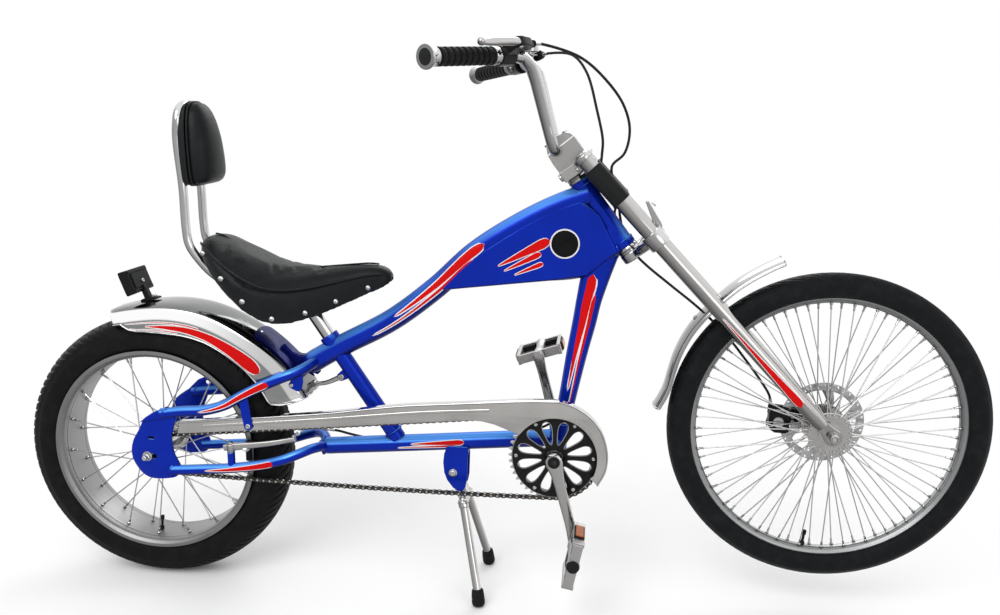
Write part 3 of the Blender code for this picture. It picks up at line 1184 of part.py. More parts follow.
def build_saddle():
    """The long padded saddle: a crowned top, drawn-in sides and skirts that hang below its pan."""
    stations = [
        (SADDLE_TAIL_X, 0.7100, 0.6960, 0.032), (0.130, 0.7200, 0.6820, 0.058),
        (0.150, 0.7190, 0.6600, 0.084), (0.185, 0.7030, 0.6240, 0.104),
        (0.225, 0.6850, 0.5900, 0.112), (0.262, 0.6690, 0.5690, 0.108),
        (0.300, 0.6605, 0.5640, 0.096), (0.340, 0.6605, 0.5710, 0.077),
        (0.380, 0.6620, 0.5830, 0.057), (0.420, 0.6660, 0.5990, 0.041),
        (0.452, 0.6685, 0.6130, 0.033), (0.476, 0.6640, 0.6240, 0.026),
        (SADDLE_NOSE_X - 0.002, 0.6520, 0.6330, 0.014),
    ]
    rings = []
    for x, top, low, half in stations:
        drop = top - low
        skirt = min(0.012, half * 0.45)
        under = max(min(saddle_underside(x), top - 0.010), low + 0.002)
        right = [(0.0, top), (half * 0.42, top - drop * 0.035), (half * 0.74, top - drop * 0.14),
                 (half * 0.93, top - drop * 0.34), (half, top - drop * 0.62), (half * 0.985, low),
                 (half * 0.985 - skirt, low + 0.001), (half * 0.90 - skirt, under), (half * 0.40, under)]
        left = [(-y, z) for y, z in reversed(right[1:])]
        rings.append([Vector((x, y, z)) for y, z in right + left])
    place("saddle", skin(rings), LEATHER, "seat")


def build_saddle_pan():
    """The seat post with its clamp and the steel pan that carries the saddle."""
    spots = [0.160, 0.200, 0.260, 0.300, 0.360, 0.430]
    upper = [(x, saddle_underside(x) - GAP) for x in spots]
    lower = [(x, z - PAN_THICKNESS) for x, z in reversed(upper)]
    pan = prism(upper + lower, -0.020, 0.020)
    wide = prism(upper[:4] + lower[2:], -0.052, 0.052)
    top = 0.0940
    post = rod(seat_line(-SEAT_POST_INSERT), seat_line(top), SEAT_POST_RADIUS, 12)
    clamp_centre = seat_line(top - 0.008)
    x0 = clamp_centre.x - 0.020
    x1 = clamp_centre.x + 0.020
    under = saddle_underside(0.300) - 0.0050
    clamp = block((x0, -0.0175, under - 0.016), (x1, 0.0175, under + 0.001))
    trim = prism([(x, z - 0.0004) for x, z in upper] + [(0.430, 0.75), (0.160, 0.75)], -0.06, 0.06)
    place("seat_post", weld([weld([post, clamp], [trim]), pan, wide]), CHROME, "seat")


def build_backrest():
    """The hooped sissy bar with its back shell, and the pad in front of it."""
    half = [(0.093, 0.000, 0.9670), (0.0925, 0.022, 0.9640), (0.0915, 0.0345, 0.9535),
            (0.0905, SISSY_Y, 0.9370), (0.088, SISSY_Y, 0.908), (0.095, SISSY_Y, 0.810),
            (0.0975, SISSY_Y, 0.735), (0.102, SISSY_Y, 0.703), (0.118, SISSY_Y, 0.675),
            (0.146, SISSY_Y, 0.6440), (0.176, SISSY_Y, 0.6275), (0.210, SISSY_Y, 0.6155),
            (0.236, SISSY_Y, 0.6065), (0.262, SISSY_Y, 0.5987), (0.297, SISSY_Y, 0.5926)]
    line = smooth([Vector(p) for p in half], 0.034)
    mirrored = [Vector((p.x, -p.y, p.z)) for p in reversed(line[1:])]
    bar = tube(mirrored + line, SISSY_RADIUS, 8)
    spots = [0.130, 0.160, 0.200, 0.260, 0.300, 0.360, 0.430]
    under = [(x, saddle_underside(x) - PAN_THICKNESS - 3 * GAP) for x in spots]
    trim = prism(under + [(0.430, 0.72), (0.130, 0.72)], -0.06, 0.06)
    tilt = math.radians(-3.0)
    foot = Vector((0.1035, 0, 0.812))
    view_up = Vector((math.sin(tilt), 0, math.cos(tilt)))
    view_out = Vector((math.cos(tilt), 0, -math.sin(tilt)))
    heights = [0.0, 0.010, 0.040, 0.090, 0.125, 0.148, 0.158]
    widths = [0.80, 0.97, 1.0, 0.93, 0.80, 0.60, 0.38]
    plate_outline = [(w * PAD_HALF_WIDTH * 0.96, h) for w, h in zip(widths, heights)]
    plate_outline += [(-y, h) for y, h in reversed(plate_outline)]
    shell = prism(plate_outline, -0.004, 0.0075, (foot, Y_AXIS, view_up, view_out))
    place("sissy_bar", weld([weld([bar], [trim]), shell]), CHROME, "seat")

    depths = [0.78, 0.97, 1.0, 0.92, 0.74, 0.52, 0.30]
    rings = []
    for w, h, depth in zip(widths, heights, depths):
        half_width = w * PAD_HALF_WIDTH
        thick = depth * PAD_THICKNESS
        centre = foot + view_up * h + view_out * (0.0075 + GAP)
        right = [(0, thick), (half_width * 0.45, thick * 0.96), (half_width * 0.80, thick * 0.78),
                 (half_width * 0.98, thick * 0.42), (half_width * 0.93, 0.0)]
        loop = right + [(-y, t) for y, t in reversed(right[1:])]
        rings.append([centre + Y_AXIS * y + view_out * t for y, t in loop])
    place("backrest_pad", skin(rings), LEATHER, "seat")


def build_seat_lever():
    """The quick-release lever behind the seat tube."""
    pivot = SEAT_LEVER_PIVOT
    blade = tube([at(pivot), at((0.3700, 0.4300)), at((0.3560, 0.4245)), at((0.3430, 0.4220))],
                 [0.0042, 0.0048, 0.0048, 0.0042], 6, [0.0034, 0.0036, 0.0036, 0.0034])
    hub = rod(at(pivot, -0.0040), at(pivot, 0.0040), 0.0062, 10)
    pin = rod(at(pivot, -0.0110), at(pivot, 0.0110), 0.0030, 8)
    place("seat_clamp_lever", weld([blade, hub, pin]), ALLOY, "seat_lever")


# Fenders

def fender(hub, stations, half_width, crown, section):
    """A fender's thin shell. stations pair an angle in degrees with its edge's radius."""
    rings = []
    for angle, edge in stations:
        turn = math.radians(angle)
        outside = [(edge + crown * rise, half_width * share) for share, rise in section]
        loop = outside + [(r - FENDER_THICKNESS, y) for r, y in reversed(outside)]
        rings.append([at(polar(hub, r, turn), y) for r, y in loop])
    return skin(rings)


def build_rear_fender():
    """The wide rear fender and the reflector on its bracket."""
    section = [(-1, 0), (-0.95, 0.45), (-0.72, 0.84), (-0.25, 1.0), (0.25, 1.0), (0.72, 0.84), (0.95, 0.45),
               (1, 0)]
    shell = fender(REAR_HUB, REAR_FENDER_EDGE, REAR_FENDER_HALF_WIDTH, REAR_FENDER_CROWN, section)
    place("rear_fender", shell, CHROME, "frame")

    turn = math.radians(92.0)
    seat_radius = 0.2915 + REAR_FENDER_CROWN + GAP + 0.0004
    out = X_AXIS * math.cos(turn) + Z_AXIS * math.sin(turn)
    aft = X_AXIS * -math.sin(turn) + Z_AXIS * math.cos(turn)
    aft = (aft - out * 0.175).normalized()
    out = Vector((aft.z, 0, -aft.x))
    base = at(polar(REAR_HUB, seat_radius, turn))
    foot = prism([(-0.012, 0.0), (0.014, 0.0), (0.014, 0.0022), (-0.012, 0.0022)], -0.010, 0.010,
                 (base, aft, out, Y_AXIS))
    stalk = prism([(0.004, 0.001), (0.012, 0.001), (0.030, 0.026), (0.022, 0.026)], -0.008, 0.008,
                  (base, aft, out, Y_AXIS))
    housing_view = (base + out * 0.0360 + aft * 0.0300, (aft + out * 0.42).normalized(),
                    (out - aft * 0.42).normalized(), Y_AXIS)
    housing = prism([(-0.012, -0.022), (0.010, -0.022), (0.010, 0.022), (-0.012, 0.022)],
                    -0.038, 0.038, housing_view)
    place("rear_reflector", weld([foot, stalk, housing]), BLACK_PLASTIC, "frame")


def build_front_fender():
    """The narrow front fender with its strap between the fork legs."""
    stations = [(108.2 + 7.2 * k, FRONT_FENDER_EDGE) for k in range(10)]
    section = [(-1, 0), (-0.80, 0.65), (-0.28, 1.0), (0.28, 1.0), (0.80, 0.65), (1, 0)]
    shell = fender(FRONT_HUB, stations, FRONT_FENDER_HALF_WIDTH, FRONT_FENDER_CROWN, section)
    strap_reach = LEG_Y - LEG_RADIUS - GAP - 0.0002
    strap_view = (at(FRONT_HUB), -LEG_DOWN, LEG_FORWARD, Y_AXIS)
    crest = FRONT_FENDER_EDGE + FRONT_FENDER_CROWN
    strap = prism([(crest - 0.0012, -0.010), (crest + 0.0022, -0.010), (crest + 0.0022, 0.010),
                   (crest - 0.0012, 0.010)], -strap_reach, strap_reach, strap_view)
    place("front_fender", weld([shell, strap]), CHROME, "steering")


# Brakes and cables

def build_rim_brake(side_name, sign):
    """A rim brake arm on its boss, with its pad."""
    y = sign * STAY_Y
    line = [Vector((0.158, sign * 0.0715, 0.3010)), Vector((0.176, sign * 0.0705, 0.3030)),
            Vector((0.215, sign * 0.0690, 0.3075)), Vector((0.255, sign * 0.0650, 0.3125)),
            Vector((0.298, sign * 0.0530, 0.3180))]
    arm = tube(line, [0.0066, 0.0072, 0.0068, 0.0060, 0.0052], 6, [0.0048, 0.0050, 0.0046, 0.0042, 0.0040])
    hub = rod(at((0.174, 0.2930), y), at((0.174, 0.3090), y), 0.0078, 10)
    post = rod(Vector((0.2030, sign * 0.0690, 0.3010)), Vector((0.2030, sign * 0.0590, 0.2960)), 0.0036, 8)
    post_arm = rod(Vector((0.2030, sign * 0.0690, 0.3070)), Vector((0.2030, sign * 0.0680, 0.2975)), 0.0042, 8)
    hole = rod(at((0.174, 0.28), y), at((0.174, 0.33), y), 0.0042, 8)
    low, high = sorted((sign * 0.0509, sign * 0.0597))
    pad = block((0.1990, low, 0.2700), (0.2080, high, 0.3120))
    place(f"rim_brake_arm_{side_name}", weld([weld([arm, hub, post_arm], [hole]), post, pad]), ALLOY,
          f"brake_arm_{side_name}")


def build_brakes():
    """Both rim brake arms, the noodle with the inner wire, and the disc caliper."""
    for side_name, sign in sides():
        build_rim_brake(side_name, sign)
    noodle_line = smooth([
        Vector((0.3040, -0.0480, 0.3285)), Vector((0.3040, -0.0330, 0.3290)), Vector((0.3080, -0.0180, 0.3290)),
        Vector((0.3200, -0.0080, 0.3290)), Vector((0.3380, -0.0050, 0.3270)), Vector((0.3550, -0.0040, 0.3242)),
    ], 0.010)
    noodle = tube(noodle_line, 0.0030, 8)
    hook = rod(Vector((0.3005, -0.0500, 0.3295)), Vector((0.2990, -0.0520, 0.3238)), 0.0040, 8)
    wire = rod(Vector((0.3040, -0.0490, 0.3285)), Vector((0.3040, 0.0640, 0.3285)), 0.0010, 6)
    joint = rod(Vector((0.2990, -0.0510, 0.3285)), Vector((0.3050, -0.0470, 0.3285)), 0.0040, 8)
    place("brake_noodle", weld([noodle, joint, hook, wire]), STEEL, "brake_arm_right")

    inner = 0.0262
    outer = 0.0480
    body_outline = beside(FRONT_HUB, [(-0.1010, -0.0168), (-0.0890, -0.0248), (-0.0620, -0.0248),
                                      (-0.0620, 0.0252), (-0.0890, 0.0292), (-0.1010, 0.0172)])
    body = prism(body_outline, inner, outer)
    ear_outline = beside(FRONT_HUB, [(-0.0720, -0.0128), (-0.0410, -0.0128), (-0.0410, 0.0132),
                                     (-0.0720, 0.0222)])
    ear = prism(ear_outline, 0.0440, 0.0507)
    stop_low, stop_high = beside(FRONT_HUB, [(-0.0975, 0.0132), (-0.0965, 0.0292)])
    stop = rod(at(stop_low, 0.0440), at(stop_high, 0.0440), 0.0042, 8)
    slot = wheel_slot()
    boss = rod(at(CALIPER_PIVOT, outer - 0.002), at(CALIPER_PIVOT, outer + 0.0055), 0.0045, 10)
    place("disc_caliper", weld([body, ear, stop, boss], [slot]), BLACK_METAL, "steering")
    arm_low = outer + GAP
    arm_end = beside(FRONT_HUB, [(-0.1020, -0.0088), (-0.1010, -0.0188)])
    arm = prism(arc(CALIPER_PIVOT, 0.0085, -40, 140, 6) + arm_end, arm_low, arm_low + 0.0035)
    bore = rod(at(CALIPER_PIVOT, 0.03), at(CALIPER_PIVOT, 0.07), 0.0051, 10)
    place("caliper_arm", weld([arm], [bore]), BLACK_METAL, "caliper_arm")


def wheel_slot():
    """The caliper's slot for the rotor."""
    return lathe(at(FRONT_HUB), Y_AXIS, [
        (0.0, ROTOR_Y - 0.0026), (ROTOR_RADIUS + 0.0025, ROTOR_Y - 0.0026),
        (ROTOR_RADIUS + 0.0025, ROTOR_Y + 0.0026), (0.0, ROTOR_Y + 0.0026)], 36)


def build_cables():
    """The brake cables: one to the front caliper, and the rear one in two lengths at the head tube."""
    front = [
        bar_point(1, 0.2274, 0.040), bar_point(1, 0.2420, 0.0405), Vector((0.8280, 0.0660, 1.0640)),
        Vector((0.8560, 0.0360, 1.0300)), Vector((0.8765, 0.0180, 0.9630)), Vector((0.8890, 0.0060, 0.9080)),
        leg(0.026, 0.0270, 0.0040), leg(0.040, 0.0130, 0.0040), leg(0.056, 0.0060, 0.0080),
        leg(0.085, -0.0020, 0.0230), leg(0.110, -0.0060, 0.0300),
        head(0.022, 0.062, 0.0370), head(0.008, 0.030, 0.0400), head(0.003, 0.000, 0.0400),
        head(0.003, -0.020, 0.0380), Vector((0.9830, 0.0370, 0.6700)), Vector((1.0300, 0.0390, 0.6330)),
        Vector((1.0860, 0.0410, 0.5890)), Vector((1.1400, 0.0420, 0.5380)), Vector((1.1800, 0.0420, 0.4900)),
        Vector((1.2120, 0.0430, 0.4480)), Vector((1.2300, 0.0438, 0.4200)), Vector((1.2344, 0.0440, 0.4032)),
    ]
    cable("front_brake_cable", front, BLACK_PLASTIC, "steering")
    upper = [
        bar_point(-1, 0.2274, 0.040), bar_point(-1, 0.2420, 0.0405), Vector((0.8450, -0.0620, 1.0520)),
        Vector((0.8880, -0.0380, 1.0180)), Vector((0.9240, -0.0180, 0.9720)), Vector((0.9370, -0.0100, 0.9280)),
        Vector((0.9290, -0.0130, 0.8860)), leg(0.052, 0.0290, -0.0180), leg(0.066, 0.0160, -0.0180),
        leg(0.082, 0.0070, -0.0130), leg(0.098, 0.0000, 0.0020), leg(0.112, -0.0060, 0.0160),
        head(0.0200, 0.0760, 0.0255), head(0.0100, 0.0620, 0.0285),
    ]
    cable("rear_brake_cable_upper", upper, BLACK_PLASTIC, "steering")
    start = head(0.0100, 0.0620, 0.0285) + (upper[-1] - upper[-2]).normalized() * GAP * 2
    lower = [
        start, head(0.0020, 0.0480, 0.0300), head(-0.0060, 0.0280, 0.0300), head(-0.0200, 0.0050, 0.0285),
        Vector((0.9150, 0.0260, 0.6700)), Vector((0.8900, 0.0240, 0.6000)), Vector((0.8680, 0.0235, 0.5300)),
        Vector((0.8500, 0.0232, 0.4500)), Vector((0.8340, 0.0232, 0.3950)), Vector((0.8080, 0.0232, 0.3530)),
        Vector((0.7600, 0.0220, 0.3300)), Vector((0.7000, 0.0212, 0.3240)), Vector((0.6000, 0.0210, 0.3140)),
        Vector((0.5000, 0.0210, 0.3050)), Vector((0.4300, 0.0205, 0.3010)), Vector((0.3950, 0.0150, 0.3090)),
        Vector((0.3740, 0.0000, 0.3205)), Vector((0.3560, -0.0039, 0.3240)),
    ]
    cable("rear_brake_cable_lower", lower, BLACK_PLASTIC, "frame")


def main():
    """Build every sub-assembly of the bicycle."""
    build_rear_wheel()
    build_front_wheel()
    build_main_frame()
    build_bearings()
    for side_name, sign in sides():
        build_stays(side_name, sign)
        build_fork_leg(side_name, sign)
        build_pedal(side_name, sign)
    build_crown_and_stem()
    build_cable_sleeve()
    build_handlebar()
    build_bell()
    build_drive()
    build_chain()
    build_chain_guard()
    build_stand()
    build_saddle()
    build_saddle_pan()
    build_backrest()
    build_seat_lever()
    build_rear_fender()
    build_front_fender()
    build_brakes()
    build_cables()


main()
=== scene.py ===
"""Dressed model of a chopper bicycle with a fat rear wheel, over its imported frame.

The bicycle is drawn in its own side view: x runs forward from the rear axle, y to the rider's
left and z up from the ground, in metres. Tables inside mm() are in millimetres. Every piece's
object is moved back by MIDDLE_X, so that object coordinates in a material are side-view coordinates.
Each sub-assembly is a dataclass with a build method, which adds its pieces to the shared Workshop.
"""

import logging
import math
from collections.abc import Callable, Iterable, Sequence
from dataclasses import dataclass, field, replace
from enum import Enum

import bmesh
import bpy
import numpy as np
from mathutils import Matrix, Vector


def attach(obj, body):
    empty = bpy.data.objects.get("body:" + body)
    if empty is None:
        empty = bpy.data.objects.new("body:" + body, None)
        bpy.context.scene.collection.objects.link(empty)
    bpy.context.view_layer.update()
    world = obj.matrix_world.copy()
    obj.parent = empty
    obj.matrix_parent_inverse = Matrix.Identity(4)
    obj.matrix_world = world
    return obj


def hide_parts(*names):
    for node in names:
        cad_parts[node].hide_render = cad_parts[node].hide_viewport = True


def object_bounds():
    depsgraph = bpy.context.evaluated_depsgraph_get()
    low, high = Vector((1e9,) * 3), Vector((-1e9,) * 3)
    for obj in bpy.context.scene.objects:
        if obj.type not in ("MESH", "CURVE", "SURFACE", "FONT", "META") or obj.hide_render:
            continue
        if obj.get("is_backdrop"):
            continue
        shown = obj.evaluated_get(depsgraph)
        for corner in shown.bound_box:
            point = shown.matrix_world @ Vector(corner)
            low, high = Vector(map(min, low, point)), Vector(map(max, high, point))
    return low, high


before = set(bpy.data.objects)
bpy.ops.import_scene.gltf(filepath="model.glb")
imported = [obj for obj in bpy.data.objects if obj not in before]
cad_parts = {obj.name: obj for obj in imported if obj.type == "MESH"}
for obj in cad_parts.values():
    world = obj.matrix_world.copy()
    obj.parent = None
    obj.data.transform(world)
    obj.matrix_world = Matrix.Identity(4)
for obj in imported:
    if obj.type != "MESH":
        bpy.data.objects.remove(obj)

log = logging.getLogger("bicycle")

Place = tuple[float, float]
Colour = tuple[float, float, float]
Rows = tuple[tuple[float, ...], ...]
View = tuple[Vector, Vector, Vector, Vector]

X_AXIS = Vector((1, 0, 0))
Y_AXIS = Vector((0, 1, 0))
Z_AXIS = Vector((0, 0, 1))
SIDE_VIEW: View = (Vector((0, 0, 0)), X_AXIS, Z_AXIS, Y_AXIS)
SIDES = (("right", -1), ("left", 1))

REAR_HUB = (0.0, 0.276)
FRONT_HUB = (1.331, 0.3728)
MIDDLE_X = (1.331 + 0.3007 - 0.276) / 2
BRACKET = (0.816, 0.31)
HEAD_FOOT = Vector((0.946, 0, 0.705))
HEAD_ANGLE = math.radians(52.9)
HEAD_UP = Vector((-math.cos(HEAD_ANGLE), 0, math.sin(HEAD_ANGLE)))
HEAD_FORWARD = Vector((math.sin(HEAD_ANGLE), 0, math.cos(HEAD_ANGLE)))
HEAD_VIEW: View = (HEAD_FOOT, HEAD_FORWARD, HEAD_UP, Y_AXIS)
HEAD_LENGTH = 0.1745
STAY_Y = 0.072
CHAIN_PITCH = 0.0127
CHAIN_Y = -0.0575
CHAINRING_RADIUS = CHAIN_PITCH / (2 * math.sin(math.pi / 42))
SPROCKET_RADIUS = CHAIN_PITCH / (2 * math.sin(math.pi / 18))


def mm(*rows: Sequence[float]) -> Rows:
    """Turn rows of millimetres into metres.

    Args:
        rows: the rows.

    Returns:
        The same rows in metres.
    """
    return tuple(tuple(round(value / 1000, 7) for value in row) for row in rows)


def at(place: Place, y: float = 0.0) -> Vector:
    """Turn a side-view place into a point.

    Args:
        place: distance ahead of the rear axle and height.
        y: distance to the rider's left.

    Returns:
        The point.
    """
    return Vector((place[0], y, place[1]))


def polar(centre: Place, radius: float, degrees: float) -> Place:
    """Give the side-view place at a radius and an angle about a centre.

    Args:
        centre: the place turned about.
        radius: distance from it.
        degrees: angle from straight ahead, upwards.

    Returns:
        The place.
    """
    turn = math.radians(degrees)
    return (centre[0] + radius * math.cos(turn), centre[1] + radius * math.sin(turn))


def arc(centre: Place, radius: float, first: float, last: float, steps: int) -> list[Place]:
    """List places along a circle.

    Args:
        centre: the circle's middle.
        radius: its radius.
        first: angle of the first place, in degrees.
        last: angle of the last place.
        steps: number of chords.

    Returns:
        The places, both ends included.
    """
    return [polar(centre, radius, first + (last - first) * k / steps) for k in range(steps + 1)]


def head(forward: float, up: float, y: float = 0.0) -> Vector:
    """Give a point measured across and along the steering axis from the head tube's foot.

    Args:
        forward: distance ahead of the axis.
        up: distance along it.
        y: distance to the left.

    Returns:
        The point.
    """
    return HEAD_FOOT + HEAD_FORWARD * forward + HEAD_UP * up + Y_AXIS * y


LEG_CAP = head(0.0309, HEAD_LENGTH + 0.0243)
LEG_DOWN = (at(FRONT_HUB) - LEG_CAP).normalized()
LEG_FORWARD = Vector((-LEG_DOWN.z, 0, LEG_DOWN.x))
LEG_LENGTH = (at(FRONT_HUB) - LEG_CAP).length
LEG_Y = 0.056
SEAT_TOP = (0.359, 0.52)
SEAT_UP = Vector((-math.cos(math.radians(56.6)), 0, math.sin(math.radians(56.6))))
SEAT_BACK = Vector((-SEAT_UP.z, 0, SEAT_UP.x))
BAR_CENTRE = head(-0.002, HEAD_LENGTH + 0.06)


def leg(along: float, forward: float = 0.0, y: float = 0.0) -> Vector:
    """Give a point measured down a fork leg from its cap and ahead of the legs' plane.

    Args:
        along: distance down the leg.
        forward: distance ahead of it.
        y: distance to the left.

    Returns:
        The point.
    """
    return LEG_CAP + LEG_DOWN * along + LEG_FORWARD * forward + Y_AXIS * y


def seat_line(up: float, back: float = 0.0, y: float = 0.0) -> Vector:
    """Give a point measured up and behind the seat tube's axis from its top.

    Args:
        up: distance up the axis.
        back: distance behind it.
        y: distance to the left.

    Returns:
        The point.
    """
    return at(SEAT_TOP) + SEAT_UP * up + SEAT_BACK * back + Y_AXIS * y


def smooth(points: Iterable[Sequence[float]], step: float) -> np.ndarray:
    """Run a smooth curve through control points.

    Args:
        points: rows that start with x, y and z; further columns are carried along.
        step: distance between the curve's points.

    Returns:
        One row for each point of the curve.
    """
    rows = np.array([tuple(p) for p in points], float)
    rows = np.vstack([2 * rows[0] - rows[1], rows, 2 * rows[-1] - rows[-2]])
    dense = []
    for a, b, c, d in zip(rows, rows[1:], rows[2:], rows[3:]):
        gaps = [max(np.linalg.norm((q - p)[:3]), 1e-6) ** 0.5 for p, q in ((a, b), (b, c), (c, d))]
        leave = ((b - a) / gaps[0] - (c - a) / (gaps[0] + gaps[1]) + (c - b) / gaps[1]) * gaps[1]
        reach = ((c - b) / gaps[1] - (d - b) / (gaps[1] + gaps[2]) + (d - c) / gaps[2]) * gaps[1]
        for t in np.arange(16) / 16:
            dense.append((2 * t**3 - 3 * t**2 + 1) * b + (t**3 - 2 * t**2 + t) * leave + (3 * t**2 - 2 * t**3) * c
                + (t**3 - t**2) * reach)
    dense.append(rows[-2])
    dense = np.array(dense)
    lengths = np.concatenate([[0], np.cumsum(np.linalg.norm(np.diff(dense[:, :3], axis=0), axis=1))])
    wanted = np.linspace(0, lengths[-1], max(2, round(lengths[-1] / step)) + 1)
    return np.stack([np.interp(wanted, lengths, dense[:, k]) for k in range(dense.shape[1])], axis=1)


class Path:
    """A line through space with a cross-section frame at each of its points."""

    def __init__(self, rows: Iterable[Sequence[float]], radius: float = 0.01, side: Vector = Y_AXIS):
        """Set up the frames along the line.

        Args:
            rows: x, y, z and, where they vary, the half-height and half-width at each point.
            radius: both halves where the rows don't give them.
            side: rough direction of the section's width.
        """
        rows = np.array([tuple(row) for row in rows], float)
        self.points = rows[:, :3]
        self.heights = rows[:, 3] if rows.shape[1] > 3 else np.full(len(rows), radius)
        self.widths = rows[:, 4] if rows.shape[1] > 4 else self.heights
        tangents = np.gradient(self.points, axis=0)
        self.tangents = tangents / np.linalg.norm(tangents, axis=1)[:, None]
        across = np.array(side, float)
        if abs(self.tangents[0] @ across) > 0.9:
            across = np.array((1.0, 0, 0))
        self.across = []
        for tangent in self.tangents:
            across = across - tangent * (tangent @ across)
            across = across / np.linalg.norm(across)
            self.across.append(across)
        self.across = np.array(self.across)
        self.up = np.cross(self.tangents, self.across)

    def spot(self, share: float, turn: float, lift: float = 0.0) -> np.ndarray:
        """Give a point on the tube's skin.

        Args:
            share: place along the line, from 0 to 1.
            turn: angle round the section in radians, 0 on its width side.
            lift: distance outside the skin.

        Returns:
            The point.
        """
        place = share * (len(self.points) - 1)
        k = min(int(place), len(self.points) - 2)
        part = place - k

        def between(values: np.ndarray) -> np.ndarray:
            """Interpolate between two rows."""
            return values[k] * (1 - part) + values[k + 1] * part

        wide = between(self.widths) + lift
        high = between(self.heights) + lift
        return (between(self.points) + between(self.across) * wide * math.cos(turn) + between(self.up) * high
            * math.sin(turn))


